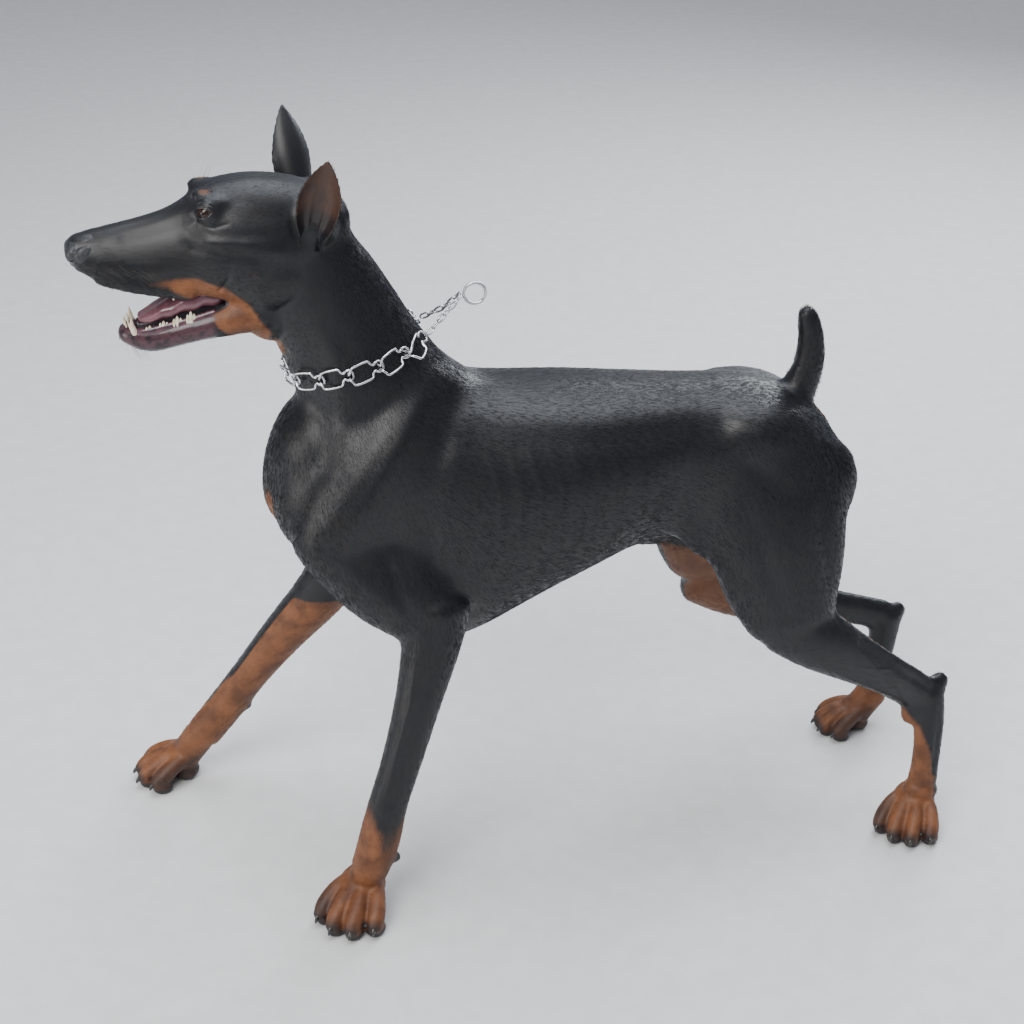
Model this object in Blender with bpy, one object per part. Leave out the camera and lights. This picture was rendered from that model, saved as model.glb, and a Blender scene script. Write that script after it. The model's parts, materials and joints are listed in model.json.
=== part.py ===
"""Male Doberman pinscher, life size, in a braced barking stance, with its chain collar.

Metres, +Z up, head toward -X, the dog's left side toward -Y, floor at z = 0.
The whole animal is first modelled as one body from named forms, then thin cuts part it
into the pieces that a person would name.
"""
import math

import bpy
import bmesh
import numpy as np
from mathutils import Matrix, Vector
from mathutils.bvhtree import BVHTree

# gap kept between neighbouring pieces
GAP = 0.0003
# moves the finished model so that its box stands centred over the origin
CENTRE_SHIFT = Vector((0.0135, 0.0074, 0.0))

# torso outline, read along the length of the body: (x, z) or (x, half width)
BACK_LINE = (
    (-0.345, 0.555), (-0.325, 0.600), (-0.290, 0.632), (-0.240, 0.655), (-0.190, 0.664),
    (-0.150, 0.656), (-0.115, 0.6390), (-0.060, 0.6295), (0.000, 0.6245), (0.080, 0.617),
    (0.160, 0.611), (0.220, 0.607), (0.270, 0.597), (0.310, 0.572), (0.338, 0.535), (0.352, 0.500),
)
BELLY_LINE = (
    (-0.345, 0.535), (-0.325, 0.489), (-0.300, 0.438), (-0.260, 0.361), (-0.210, 0.306),
    (-0.160, 0.291), (-0.110, 0.303), (-0.050, 0.3365), (0.020, 0.3735), (0.100, 0.405),
    (0.160, 0.415), (0.220, 0.422), (0.280, 0.430), (0.330, 0.455), (0.352, 0.490),
)
HALF_WIDTH = (
    (-0.345, 0.014), (-0.325, 0.046), (-0.300, 0.066), (-0.260, 0.086), (-0.210, 0.099),
    (-0.160, 0.108), (-0.110, 0.114), (-0.050, 0.117), (0.020, 0.113), (0.100, 0.096),
    (0.160, 0.086), (0.220, 0.086), (0.280, 0.082), (0.330, 0.056), (0.352, 0.020),
)
TORSO_START = -0.345
TORSO_END = 0.352
TORSO_SECTIONS = 44

HEAD_YAW = math.radians(3.0)
HEAD_PIVOT = Vector((-0.280, 0.0, 0.78))

# skull and muzzle, from the back of the head to the nose: x, top, bottom, half width, narrowing above
HEAD_SECTIONS = (
    (-0.252, 0.862, 0.800, 0.034, 0.00), (-0.275, 0.878, 0.775, 0.048, 0.05),
    (-0.305, 0.888, 0.756, 0.0545, 0.10), (-0.340, 0.8925, 0.748, 0.0580, 0.12),
    (-0.370, 0.8910, 0.751, 0.0560, 0.12), (-0.393, 0.8855, 0.756, 0.0500, 0.16),
    (-0.412, 0.8720, 0.7585, 0.0425, 0.26), (-0.432, 0.8612, 0.7625, 0.0385, 0.30),
    (-0.462, 0.8530, 0.7700, 0.0348, 0.34), (-0.492, 0.8475, 0.7785, 0.0312, 0.34),
    (-0.515, 0.8430, 0.7870, 0.0275, 0.30), (-0.530, 0.8400, 0.7970, 0.0220, 0.22),
)
# lower jaw, from its angle to the chin: x, top, bottom, half width
JAW_SECTIONS = (
    (-0.335, 0.772, 0.714, 0.044), (-0.370, 0.763, 0.7115, 0.0400), (-0.400, 0.7510, 0.7085, 0.0350),
    (-0.430, 0.7430, 0.7030, 0.0305), (-0.458, 0.7370, 0.6975, 0.0262), (-0.478, 0.7345, 0.7010, 0.0215),
    (-0.489, 0.7315, 0.7085, 0.0160),
)

EYE_CENTRE = Vector((-0.3920, 0.0318, 0.8640))
EYE_RADIUS = 0.0108
# way the left eye looks on the straight head; the right one mirrors it
EYE_GAZE = Vector((-0.58, -0.81, 0.06)).normalized()

EAR_WIDTH = 0.058
EAR_THICKNESS = 0.0034

# triangles kept on the whole body before it is cut and parted
BODY_TRIANGLES = 5400


def curve_value(knots, x):
    """Smooth value of a named outline at x, by a cubic that never overshoots the knots."""
    xs = [k[0] for k in knots]
    ys = [k[1] for k in knots]
    if x <= xs[0]:
        return ys[0]
    if x >= xs[-1]:
        return ys[-1]
    slopes = [(ys[i + 1] - ys[i]) / (xs[i + 1] - xs[i]) for i in range(len(xs) - 1)]
    tangents = [slopes[0]]
    for i in range(1, len(xs) - 1):
        a = slopes[i - 1]
        b = slopes[i]
        tangents.append(0.0 if a * b <= 0 else 2 * a * b / (a + b))
    tangents.append(slopes[-1])
    i = max(j for j in range(len(xs) - 1) if xs[j] <= x)
    h = xs[i + 1] - xs[i]
    t = (x - xs[i]) / h
    return (
        ys[i] * (1 + 2 * t) * (1 - t) ** 2
        + tangents[i] * h * t * (1 - t) ** 2
        + ys[i + 1] * t * t * (3 - 2 * t)
        + tangents[i + 1] * h * t * t * (t - 1)
    )


def catmull(p0, p1, p2, p3, t):
    """Point on a Catmull-Rom span, for tuples of any length."""
    return tuple(
        0.5 * (2 * b + (c - a) * t + (2 * a - 5 * b + 4 * c - d) * t * t + (3 * b - a - 3 * c + d) * t ** 3)
        for a, b, c, d in zip(p0, p1, p2, p3)
    )


def smooth_path(stations, steps):
    """More stations between the given ones, along a smooth curve."""
    out = []
    n = len(stations)
    for i in range(n - 1):
        p0 = stations[max(i - 1, 0)]
        p3 = stations[min(i + 2, n - 1)]
        for k in range(steps):
            out.append(catmull(p0, stations[i], stations[i + 1], p3, k / steps))
    out.append(tuple(stations[-1]))
    return out


def new_object(name, verts, faces):
    """Mesh object from points and faces, normals made to point outward."""
    mesh = bpy.data.meshes.new(name)
    mesh.from_pydata([tuple(v) for v in verts], [], faces)
    bm = bmesh.new()
    bm.from_mesh(mesh)
    bmesh.ops.recalc_face_normals(bm, faces=bm.faces)
    bm.to_mesh(mesh)
    bm.free()
    obj = bpy.data.objects.new(name, mesh)
    bpy.context.collection.objects.link(obj)
    return obj


def loft(name, rings):
    """Closed skin over rings of equal count, with a point at each end."""
    n = len(rings[0])
    verts = [v for ring in rings for v in ring]
    faces = []
    for i in range(len(rings) - 1):
        for j in range(n):
            k = (j + 1) % n
            faces.append((i * n + j, i * n + k, (i + 1) * n + k, (i + 1) * n + j))
    first = len(verts)
    verts.append(sum(rings[0], Vector()) / n)
    last = len(verts)
    verts.append(sum(rings[-1], Vector()) / n)
    base = (len(rings) - 1) * n
    for j in range(n):
        k = (j + 1) % n
        faces.append((first, k, j))
        faces.append((last, base + j, base + k))
    return new_object(name, verts, faces)


def power_ring(centre, side, depth, a, b_up, b_down, power, sides):
    """Rounded-box ring: half width a, reach b_up and b_down, along two unit vectors."""
    ring = []
    for j in range(sides):
        t = 2 * math.pi * j / sides
        c = math.cos(t)
        s = math.sin(t)
        u = math.copysign(abs(c) ** (2 / power), c) * a
        w = math.copysign(abs(s) ** (2 / power), s)
        w = w * (b_up if s > 0 else b_down)
        ring.append(centre + side * u + depth * w)
    return ring


def tube(name, stations, steps=4, sides=20, power=2.0, across=(0, 1, 0), round_ends=0.7):
    """Limb or muscle along stations (x, y, z, half side, half depth), with domed ends."""
    path = smooth_path(stations, steps)
    across = Vector(across)
    rings = []
    frames = []
    for i, p in enumerate(path):
        a = Vector(path[max(i - 1, 0)][:3])
        b = Vector(path[min(i + 1, len(path) - 1)][:3])
        tangent = (b - a).normalized()
        side = (across - tangent * across.dot(tangent)).normalized()
        depth = side.cross(tangent).normalized()
        frames.append((Vector(p[:3]), side, depth, tangent, p[3], p[4]))
    for end, sign in ((0, -1), (-1, 1)):
        centre, side, depth, tangent, a, b = frames[end]
        cap = []
        for k in (0.35, 0.7, 0.93):
            shrink = math.sqrt(max(1 - k * k, 0.0))
            reach = min(a, b) * round_ends * k
            middle = centre + tangent * sign * reach
            cap.append(power_ring(middle, side, depth, a * shrink, b * shrink, b * shrink, power, sides))
        if end == 0:
            rings = cap[::-1]
            for f in frames:
                rings.append(power_ring(f[0], f[1], f[2], f[4], f[5], f[5], power, sides))
        else:
            rings = rings + cap
    return loft(name, rings)


def ball(name, centre, radii, rotation=(0, 0, 0), segments=20, rings=12):
    """Ellipsoid with its own tilt, in degrees."""
    bm = bmesh.new()
    bmesh.ops.create_uvsphere(bm, u_segments=segments, v_segments=rings, radius=1.0)
    mesh = bpy.data.meshes.new(name)
    turn = Matrix.Identity(4)
    for axis, angle in zip("XYZ", rotation):
        turn = Matrix.Rotation(math.radians(angle), 4, axis) @ turn
    place = Matrix.Translation(centre) @ turn @ Matrix.Diagonal((*radii, 1.0))
    bm.transform(place)
    bm.to_mesh(mesh)
    bm.free()
    obj = bpy.data.objects.new(name, mesh)
    bpy.context.collection.objects.link(obj)
    return obj


def discard(obj):
    """Remove an object and its mesh."""
    mesh = obj.data
    bpy.data.objects.remove(obj)
    bpy.data.meshes.remove(mesh)


def join(name, pieces):
    """All pieces as one mesh object; the pieces are used up."""
    bm = bmesh.new()
    for piece in pieces:
        start = len(bm.verts)
        bm.from_mesh(piece.data)
        bm.verts.ensure_lookup_table()
        bmesh.ops.transform(bm, matrix=piece.matrix_world, verts=bm.verts[start:])
    mesh = bpy.data.meshes.new(name)
    bm.to_mesh(mesh)
    bm.free()
    for piece in pieces:
        discard(piece)
    obj = bpy.data.objects.new(name, mesh)
    bpy.context.collection.objects.link(obj)
    return obj


def settle(obj):
    """Put the result of the modifiers into the mesh."""
    graph = bpy.context.evaluated_depsgraph_get()
    graph.update()
    mesh = bpy.data.meshes.new_from_object(obj.evaluated_get(graph))
    old = obj.data
    obj.modifiers.clear()
    obj.data = mesh
    bpy.data.meshes.remove(old)
    return obj


def fuse(obj, voxel, rounds, factor=0.5):
    """Melt overlapping forms into one skin and ease the joints between them."""
    melt = obj.modifiers.new("melt", "REMESH")
    melt.mode = "VOXEL"
    melt.voxel_size = voxel
    if rounds:
        ease = obj.modifiers.new("ease", "SMOOTH")
        ease.factor = factor
        ease.iterations = rounds
    return settle(obj)


def boolean(obj, cutter, operation="DIFFERENCE", solver="EXACT"):
    """Cut, join or intersect with one other closed object, which is used up."""
    mod = obj.modifiers.new("op", "BOOLEAN")
    mod.operation = operation
    mod.solver = solver
    mod.object = cutter
    settle(obj)
    discard(cutter)
    return obj


def split_loose(obj):
    """The separate closed skins of a mesh, largest first, as bmesh copies of vertex sets."""
    bm = bmesh.new()
    bm.from_mesh(obj.data)
    bm.verts.ensure_lookup_table()
    seen = [False] * len(bm.verts)
    shells = []
    for v in bm.verts:
        if seen[v.index]:
            continue
        stack = [v]
        seen[v.index] = True
        members = []
        while stack:
            w = stack.pop()
            members.append(w.index)
            for e in w.link_edges:
                o = e.other_vert(w)
                if not seen[o.index]:
                    seen[o.index] = True
                    stack.append(o)
        shells.append(members)
    parts = []
    for members in shells:
        chosen = set(members)
        order = {index: k for k, index in enumerate(members)}
        verts = [bm.verts[i].co.copy() for i in members]
        kept = [f for f in bm.faces if f.verts[0].index in chosen]
        faces = [tuple(order[v.index] for v in f.verts) for f in kept]
        parts.append((verts, faces))
    bm.free()
    parts.sort(key=lambda p: -shell_volume(p))
    return parts


def shell_volume(part):
    """Size of a shell, by its signed volume."""
    verts, faces = part
    total = 0.0
    for f in faces:
        a = verts[f[0]]
        for i in range(1, len(f) - 1):
            total += a.dot(verts[f[i]].cross(verts[f[i + 1]]))
    return abs(total) / 6


def keep_largest(obj):
    """Drop loose scraps and sealed hollows."""
    parts = split_loose(obj)
    if len(parts) > 1:
        verts, faces = parts[0]
        mesh = bpy.data.meshes.new(obj.name)
        mesh.from_pydata([tuple(v) for v in verts], [], faces)
        old = obj.data
        obj.data = mesh
        bpy.data.meshes.remove(old)
    return obj


def triangulate(obj):
    """Split every face into triangles, so both sides of thin pieces agree."""
    bm = bmesh.new()
    bm.from_mesh(obj.data)
    bmesh.ops.triangulate(bm, faces=bm.faces)
    bm.to_mesh(obj.data)
    bm.free()
    return obj


def thin_to(obj, chosen, target):
    """Reduce the triangles among the chosen vertices to about the target count."""
    triangulate(obj)
    mesh = obj.data
    picked = np.asarray(chosen, dtype=bool)
    inside = sum(1 for p in mesh.polygons if all(picked[v] for v in p.vertices))
    total = len(mesh.polygons)
    group = obj.vertex_groups.new(name="chosen")
    group.add([int(i) for i in np.nonzero(picked)[0]], 1.0, "REPLACE")
    mod = obj.modifiers.new("thin", "DECIMATE")
    mod.ratio = max((total - inside + target) / total, 0.0)
    mod.vertex_group = "chosen"
    mod.vertex_group_factor = 1.0
    settle(obj)
    obj.vertex_groups.clear()
    return obj


def slab(name, centre, normal, half_u, half_v, up=(0, 0, 1)):
    """Thin plate that parts two pieces; half_u runs across, half_v along the up hint."""
    n = Vector(normal).normalized()
    up = Vector(up)
    v = (up - n * up.dot(n)).normalized()
    u = v.cross(n).normalized()
    c = Vector(centre)
    corners = []
    for k in (-1, 1):
        for a, b in ((-1, -1), (1, -1), (1, 1), (-1, 1)):
            corners.append(c + n * k * GAP / 2 + u * a * half_u + v * b * half_v)
    faces = [(0, 3, 2, 1), (4, 5, 6, 7), (0, 1, 5, 4), (1, 2, 6, 5), (2, 3, 7, 6), (3, 0, 4, 7)]
    return new_object(name, corners, faces)


def box(name, low, high):
    """Plain box between two corners."""
    x0, y0, z0 = low
    x1, y1, z1 = high
    verts = [(x, y, z) for z in (z0, z1) for x, y in ((x0, y0), (x1, y0), (x1, y1), (x0, y1))]
    faces = [(0, 3, 2, 1), (4, 5, 6, 7), (0, 1, 5, 4), (1, 2, 6, 5), (2, 3, 7, 6), (3, 0, 4, 7)]
    return new_object(name, verts, faces)


def torso_forms():
    """Rib cage, loin and rump as one loft, with the shoulder and hip masses on it."""
    rings = []
    across = Vector((0, 1, 0))
    up = Vector((0, 0, 1))
    for i in range(TORSO_SECTIONS):
        t = i / (TORSO_SECTIONS - 1)
        x = TORSO_START + (TORSO_END - TORSO_START) * (0.5 - 0.5 * math.cos(math.pi * t)) * 0.35
        x += (TORSO_END - TORSO_START) * t * 0.65
        top = curve_value(BACK_LINE, x)
        low = curve_value(BELLY_LINE, x)
        half = curve_value(HALF_WIDTH, x)
        waist = low + (top - low) * 0.56
        rings.append(power_ring(Vector((x, 0, waist)), across, up, half, top - waist, waist - low, 2.15, 32))
    forms = [loft("torso_loft", rings)]
    for s in (-1, 1):
        forms.append(tube("shoulder_blade", (
            (-0.150, s * 0.034, 0.650, 0.022, 0.036), (-0.190, s * 0.058, 0.590, 0.036, 0.056),
            (-0.240, s * 0.074, 0.520, 0.040, 0.060), (-0.285, s * 0.078, 0.455, 0.034, 0.046),
        )))
        forms.append(ball("chest_muscle", (-0.298, s * 0.036, 0.505), (0.040, 0.038, 0.060), (0, 12, 0)))
        forms.append(ball("hip", (0.235, s * 0.050, 0.530), (0.085, 0.044, 0.068), (0, 10, 0)))
        forms.append(ball("seat", (0.312, s * 0.048, 0.480), (0.050, 0.038, 0.064), (0, 8, 0)))
        forms.append(ball("flank_fold", (0.178, s * 0.066, 0.445), (0.046, 0.016, 0.048), (0, 25, 0)))
    forms.append(ball("breast_bone", (-0.322, 0.0, 0.515), (0.030, 0.032, 0.056)))
    forms.append(ball("sheath", (0.126, 0.0, 0.401), (0.040, 0.0145, 0.0165), (0, -6, 0)))
    return forms


def neck_forms():
    """The arched neck, wide where it rises from the shoulders."""
    return [
        tube("neck", (
            (-0.177, 0, 0.555, 0.086, 0.096), (-0.208, 0, 0.618, 0.076, 0.089),
            (-0.235, 0, 0.674, 0.065, 0.0795), (-0.2585, 0, 0.725, 0.058, 0.0745),
            (-0.283, 0, 0.768, 0.054, 0.0720), (-0.302, 0, 0.805, 0.050, 0.063),
            (-0.318, 0, 0.835, 0.044, 0.048),
        ), steps=3, sides=24),
        ball("poll", (-0.295, 0, 0.802), (0.050, 0.046, 0.056), (0, -20, 0)),
        ball("withers", (-0.150, 0, 0.618), (0.052, 0.050, 0.043), (0, -12, 0)),
    ]


def head_ring(x, top, bottom, half, narrow, power=2.35, sides=32):
    """One section of the head: widest low down, narrower towards the top."""
    middle = bottom + (top - bottom) * 0.45
    ring = []
    for j in range(sides):
        t = 2 * math.pi * j / sides
        c = math.cos(t)
        s = math.sin(t)
        u = math.copysign(abs(c) ** (2 / power), c) * half
        w = math.copysign(abs(s) ** (2 / power), s)
        if s > 0:
            u *= 1 - narrow * w
        ring.append(Vector((x, u, middle + w * ((top - middle) if s > 0 else (middle - bottom)))))
    return ring


def head_loft(name, sections, power=2.35, steps=4, nose_round=0.012):
    """Loft through head sections, closed with a rounded end at the front."""
    path = smooth_path(sections, steps)
    rings = []
    first = path[0]
    for k in (0.9, 0.5):
        shrink = math.sqrt(1 - k * k)
        mid = (first[1] + first[2]) / 2
        tall = (first[1] - first[2]) / 2 * shrink
        behind = first[0] + nose_round * 1.6 * k
        rings.append(head_ring(behind, mid + tall, mid - tall, first[3] * shrink, 0, power))
    for p in path:
        rings.append(head_ring(p[0], p[1], p[2], p[3], p[4] if len(p) > 4 else 0.0, power))
    last = path[-1]
    for k in (0.4, 0.75, 0.95):
        shrink = math.sqrt(1 - k * k)
        mid = (last[1] + last[2]) / 2
        tall = (last[1] - last[2]) / 2 * shrink
        ahead = last[0] - nose_round * k
        rings.append(head_ring(ahead, mid + tall, mid - tall, last[3] * shrink, 0, power))
    return loft(name, rings)


def head_turn():
    """Slight turn of the head towards the dog's left."""
    turn = Matrix.Rotation(HEAD_YAW, 4, "Z")
    return Matrix.Translation(HEAD_PIVOT) @ turn @ Matrix.Translation(-HEAD_PIVOT)


def head_forms():
    """Skull, brows, cheeks, muzzle and lower jaw, before the mouth and eyes are cut."""
    forms = [
        head_loft("skull_and_muzzle", HEAD_SECTIONS),
        head_loft("jaw", JAW_SECTIONS, 2.2, 4, 0.009),
        ball("throat", (-0.322, 0, 0.738), (0.042, 0.040, 0.042), (0, 30, 0)),
        ball("nose_pad", (-0.5290, 0, 0.8225), (0.0165, 0.0195, 0.0175), (0, 6, 0)),
    ]
    for s in (-1, 1):
        forms.append(ball("brow", (-0.3830, s * 0.0215, 0.8740), (0.028, 0.0180, 0.0095), (0, 14, s * 14)))
        socket = (EYE_CENTRE.x + 0.002, s * (EYE_CENTRE.y - 0.0010), EYE_CENTRE.z)
        forms.append(ball("eye_mound", socket, (0.0185, 0.0135, 0.0150)))
        cheek_bone = (-0.356, s * 0.0420, 0.8270)
        forms.append(ball("cheek_bone", cheek_bone, (0.050, 0.0150, 0.0160), (0, 12, s * 12)))
        forms.append(ball("cheek", (-0.334, s * 0.0350, 0.7880), (0.050, 0.0215, 0.040), (0, 12, s * 6)))
        forms.append(tube("upper_lip", (
            (-0.415, s * 0.0330, 0.7740, 0.0085, 0.0110), (-0.450, s * 0.0290, 0.7800, 0.0085, 0.0110),
            (-0.485, s * 0.0250, 0.7875, 0.0080, 0.0110), (-0.512, s * 0.0195, 0.7950, 0.0070, 0.0105),
        ), steps=3, sides=12))
        forms.append(ball("ear_root", (-0.279, s * 0.0385, 0.8430), (0.028, 0.0150, 0.030), (0, 20, 0)))
    turn = head_turn()
    for form in forms:
        form.data.transform(turn)
    return forms


def head_point(p):
    """A point given on the straight head, carried to the turned head."""
    return head_turn() @ Vector(p)


def paw_place(centre, heading):
    """Frame of a paw: forward along the heading in the floor plane, given in degrees from -X to -Y."""
    a = math.radians(heading)
    forward = Vector((-math.cos(a), -math.sin(a), 0))
    side = Vector((0, 0, 1)).cross(forward)
    frame = Matrix.Identity(4)
    for i in range(3):
        frame[i][0] = forward[i]
        frame[i][1] = side[i]
        frame[i][2] = 1.0 if i == 2 else 0.0
        frame[i][3] = (centre[0], centre[1], 0.0)[i]
    return frame


TOES = (
    (-0.0300, 0.0165, 12.0),
    (-0.0105, 0.0300, 4.0),
    (0.0105, 0.0300, -4.0),
    (0.0300, 0.0165, -12.0),
)


def paw_forms(frame, scale, wrist):
    """Toes, their pads and the heel pad, joined to the wrist point above them."""
    forms = [
        ball("heel_pad", (-0.0195, 0, 0.0115), (0.0190, 0.0225, 0.0135)),
        ball("instep", (-0.0160, 0, 0.0335), (0.0300, 0.0265, 0.0180), (0, 16, 0)),
    ]
    for side, reach, fan in TOES:
        turn = Matrix.Rotation(math.radians(-fan), 3, "Z")
        ahead = turn @ Vector((1, 0, 0))
        tip = Vector((reach, side, 0))
        forms.append(tube("toe", (
            (*(tip - ahead * 0.034 + Vector((0, -side * 0.22, 0.0345))), 0.0098, 0.0105),
            (*(tip - ahead * 0.018 + Vector((0, -side * 0.08, 0.0305))), 0.0104, 0.0112),
            (*(tip - ahead * 0.002 + Vector((0, 0, 0.0210))), 0.0106, 0.0120),
            (*(tip + ahead * 0.007 + Vector((0, 0, 0.0125))), 0.0090, 0.0096),
        ), steps=3, sides=12, across=tuple(turn @ Vector((0, 1, 0)))))
        forms.append(ball("toe_pad", (reach - 0.0005, side, 0.0070), (0.0128, 0.0100, 0.0088), (0, 0, fan)))
    for form in forms:
        form.data.transform(frame @ Matrix.Scale(scale, 4))
    base = frame @ Vector((-0.020 * scale, 0, 0.030 * scale))
    forms.append(tube("pastern", (
        (wrist[0], wrist[1], wrist[2], 0.0195, 0.0225),
        ((wrist[0] + base.x) / 2, (wrist[1] + base.y) / 2, (wrist[2] + base.z) / 2, 0.0205, 0.0215),
        (base.x, base.y, base.z, 0.0240, 0.0200),
    ), steps=2, sides=16))
    return forms


FRONT_LEFT = paw_place((-0.274, -0.168), 60.0)
FRONT_RIGHT = paw_place((-0.4865, 0.169), 8.0)
HIND_LEFT = paw_place((0.446, -0.112), 58.0)
HIND_RIGHT = paw_place((0.4355, 0.1265), 4.0)
FRONT_LEFT_SCALE = 1.12
FRONT_RIGHT_SCALE = 1.02
HIND_LEFT_SCALE = 1.05
HIND_RIGHT_SCALE = 0.92


def upper_leg_forms():
    """Upper arms and thighs, which melt into the torso."""
    return [
        tube("left_upper_arm", (
            (-0.280, -0.078, 0.468, 0.034, 0.042), (-0.222, -0.090, 0.420, 0.038, 0.054),
            (-0.170, -0.103, 0.380, 0.034, 0.046),
        )),
        tube("right_upper_arm", (
            (-0.288, 0.078, 0.468, 0.034, 0.042), (-0.264, 0.088, 0.412, 0.036, 0.048),
            (-0.248, 0.090, 0.365, 0.034, 0.043),
        )),
        tube("left_thigh", (
            (0.236, -0.052, 0.520, 0.044, 0.088), (0.254, -0.070, 0.440, 0.048, 0.090),
            (0.264, -0.084, 0.370, 0.043, 0.077), (0.276, -0.094, 0.318, 0.036, 0.058),
        ), sides=24),
        tube("right_thigh", (
            (0.230, 0.052, 0.520, 0.044, 0.088), (0.231, 0.080, 0.435, 0.048, 0.084),
            (0.218, 0.108, 0.352, 0.043, 0.073), (0.226, 0.124, 0.292, 0.036, 0.055),
        ), sides=24),
    ]


def lower_leg_forms():
    """Forearms, shanks, pasterns and paws: left pair drawn back, right foreleg reaching ahead."""
    forms = [
        tube("left_forearm", (
            (-0.161, -0.104, 0.390, 0.034, 0.043), (-0.1715, -0.116, 0.335, 0.031, 0.0355),
            (-0.190, -0.131, 0.272, 0.0265, 0.0288), (-0.211, -0.143, 0.205, 0.0225, 0.0258),
            (-0.230, -0.151, 0.150, 0.0210, 0.0255), (-0.2415, -0.155, 0.105, 0.0230, 0.0270),
            (-0.256, -0.160, 0.064, 0.0210, 0.0240),
        ), steps=3),
        ball("left_elbow", (-0.139, -0.103, 0.366), (0.017, 0.015, 0.024), (0, 15, 0)),
        tube("right_forearm", (
            (-0.246, 0.091, 0.358, 0.033, 0.040), (-0.280, 0.103, 0.302, 0.030, 0.0355),
            (-0.327, 0.121, 0.238, 0.0260, 0.0298), (-0.372, 0.138, 0.172, 0.0225, 0.0255),
            (-0.407, 0.150, 0.118, 0.0220, 0.0258), (-0.439, 0.156, 0.075, 0.0205, 0.0250),
        ), steps=3),
        ball("right_elbow", (-0.228, 0.088, 0.335), (0.016, 0.014, 0.020)),
        tube("left_shank", (
            (0.268, -0.094, 0.318, 0.033, 0.042), (0.309, -0.100, 0.293, 0.030, 0.042),
            (0.353, -0.099, 0.263, 0.0245, 0.0350), (0.401, -0.093, 0.230, 0.0190, 0.0290),
            (0.439, -0.085, 0.200, 0.0165, 0.0280), (0.462, -0.081, 0.180, 0.0170, 0.0270),
        ), steps=3),
        ball("left_heel_bone", (0.481, -0.074, 0.195), (0.015, 0.0115, 0.018), (0, 25, 0)),
        ball("left_hock_bend", (0.450, -0.087, 0.166), (0.021, 0.0130, 0.024), (0, 40, 0)),
        tube("left_rear_pastern", (
            (0.466, -0.080, 0.183, 0.0180, 0.0240), (0.469, -0.088, 0.145, 0.0165, 0.0215),
            (0.467, -0.095, 0.100, 0.0155, 0.0195), (0.463, -0.099, 0.058, 0.0165, 0.0200),
        ), steps=3),
        tube("right_shank", (
            (0.222, 0.126, 0.268, 0.032, 0.044), (0.272, 0.131, 0.240, 0.030, 0.044),
            (0.332, 0.136, 0.214, 0.0250, 0.0360), (0.396, 0.140, 0.195, 0.0185, 0.0265),
            (0.452, 0.143, 0.178, 0.0160, 0.0235), (0.482, 0.144, 0.167, 0.0170, 0.0240),
        ), steps=3),
        ball("right_heel_bone", (0.504, 0.146, 0.169), (0.015, 0.0115, 0.017), (0, 25, 0)),
        tube("right_rear_pastern", (
            (0.490, 0.144, 0.166, 0.0180, 0.0240), (0.486, 0.140, 0.130, 0.0165, 0.0215),
            (0.479, 0.134, 0.092, 0.0155, 0.0195), (0.473, 0.129, 0.056, 0.0165, 0.0200),
        ), steps=3),
        ball("left_wrist_pad", (-0.2215, -0.149, 0.071), (0.008, 0.007, 0.010)),
        ball("right_wrist_pad", (-0.378, 0.146, 0.119), (0.008, 0.007, 0.011)),
    ]
    return forms


def all_paws():
    """The four paws, each melted on its own so that the toes stay apart."""
    forms = []
    for frame, scale, wrist in (
        (FRONT_LEFT, FRONT_LEFT_SCALE, (-0.256, -0.160, 0.064)),
        (FRONT_RIGHT, FRONT_RIGHT_SCALE, (-0.443, 0.157, 0.072)),
        (HIND_LEFT, HIND_LEFT_SCALE, (0.463, -0.100, 0.056)),
        (HIND_RIGHT, HIND_RIGHT_SCALE, (0.473, 0.128, 0.054)),
    ):
        forms += paw_forms(frame, scale, wrist)
    return fuse(join("paws", forms), 0.0022, 5)


def tail_forms():
    """Docked tail held upright."""
    return [
        tube("tail", (
            (0.292, 0, 0.580, 0.0200, 0.0250), (0.304, 0, 0.612, 0.0180, 0.0205),
            (0.306, 0, 0.645, 0.0160, 0.0180), (0.301, 0, 0.674, 0.0135, 0.0150),
            (0.297, 0, 0.685, 0.0105, 0.0115),
        ), steps=3, sides=14, across=(0, 1, 0)),
    ]


def whole_body():
    """All flesh as one closed skin at a fine voxel, before it is thinned."""
    inner_skull = head_loft("inner_skull", HEAD_SECTIONS[:6])
    inner_skull.data.transform(head_turn())
    trunk = join("trunk", torso_forms() + neck_forms() + upper_leg_forms() + [inner_skull])
    fuse(trunk, 0.008, 12)
    body = join("body", [trunk] + lower_leg_forms() + tail_forms())
    fuse(body, 0.0045, 7)
    head = join("head", head_forms())
    fuse(head, 0.0033, 13)
    body = join("body", [body, head, all_paws()])
    fuse(body, 0.0026, 3)
    return body


def start_clean():
    """Empty file, whatever it held."""
    for obj in list(bpy.data.objects):
        bpy.data.objects.remove(obj)
    for block in (bpy.data.meshes, bpy.data.materials, bpy.data.curves):
        for item in list(block):
            block.remove(item)


def region_masks(obj):
    """Which points belong to the head, the paws and the rest, for thinning."""
    co = np.empty(len(obj.data.vertices) * 3)
    obj.data.vertices.foreach_get("co", co)
    co = co.reshape(-1, 3)
    head = (co[:, 0] < -0.262) & (co[:, 2] > 0.675 - (co[:, 0] + 0.33) * 0.9)
    face = head & (co[:, 0] < -0.375)
    paws = co[:, 2] < 0.060
    legs = (co[:, 2] < 0.30) & ~paws
    return face, head & ~face, paws, legs, ~(head | paws | legs)


def thin_body(obj, counts):
    """Fewer triangles everywhere, with the face and paws kept finest."""
    for k, count in enumerate(counts):
        thin_to(obj, region_masks(obj)[k], count)
    thin_to(obj, np.ones(len(obj.data.vertices), dtype=bool), BODY_TRIANGLES)
    return obj


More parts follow.
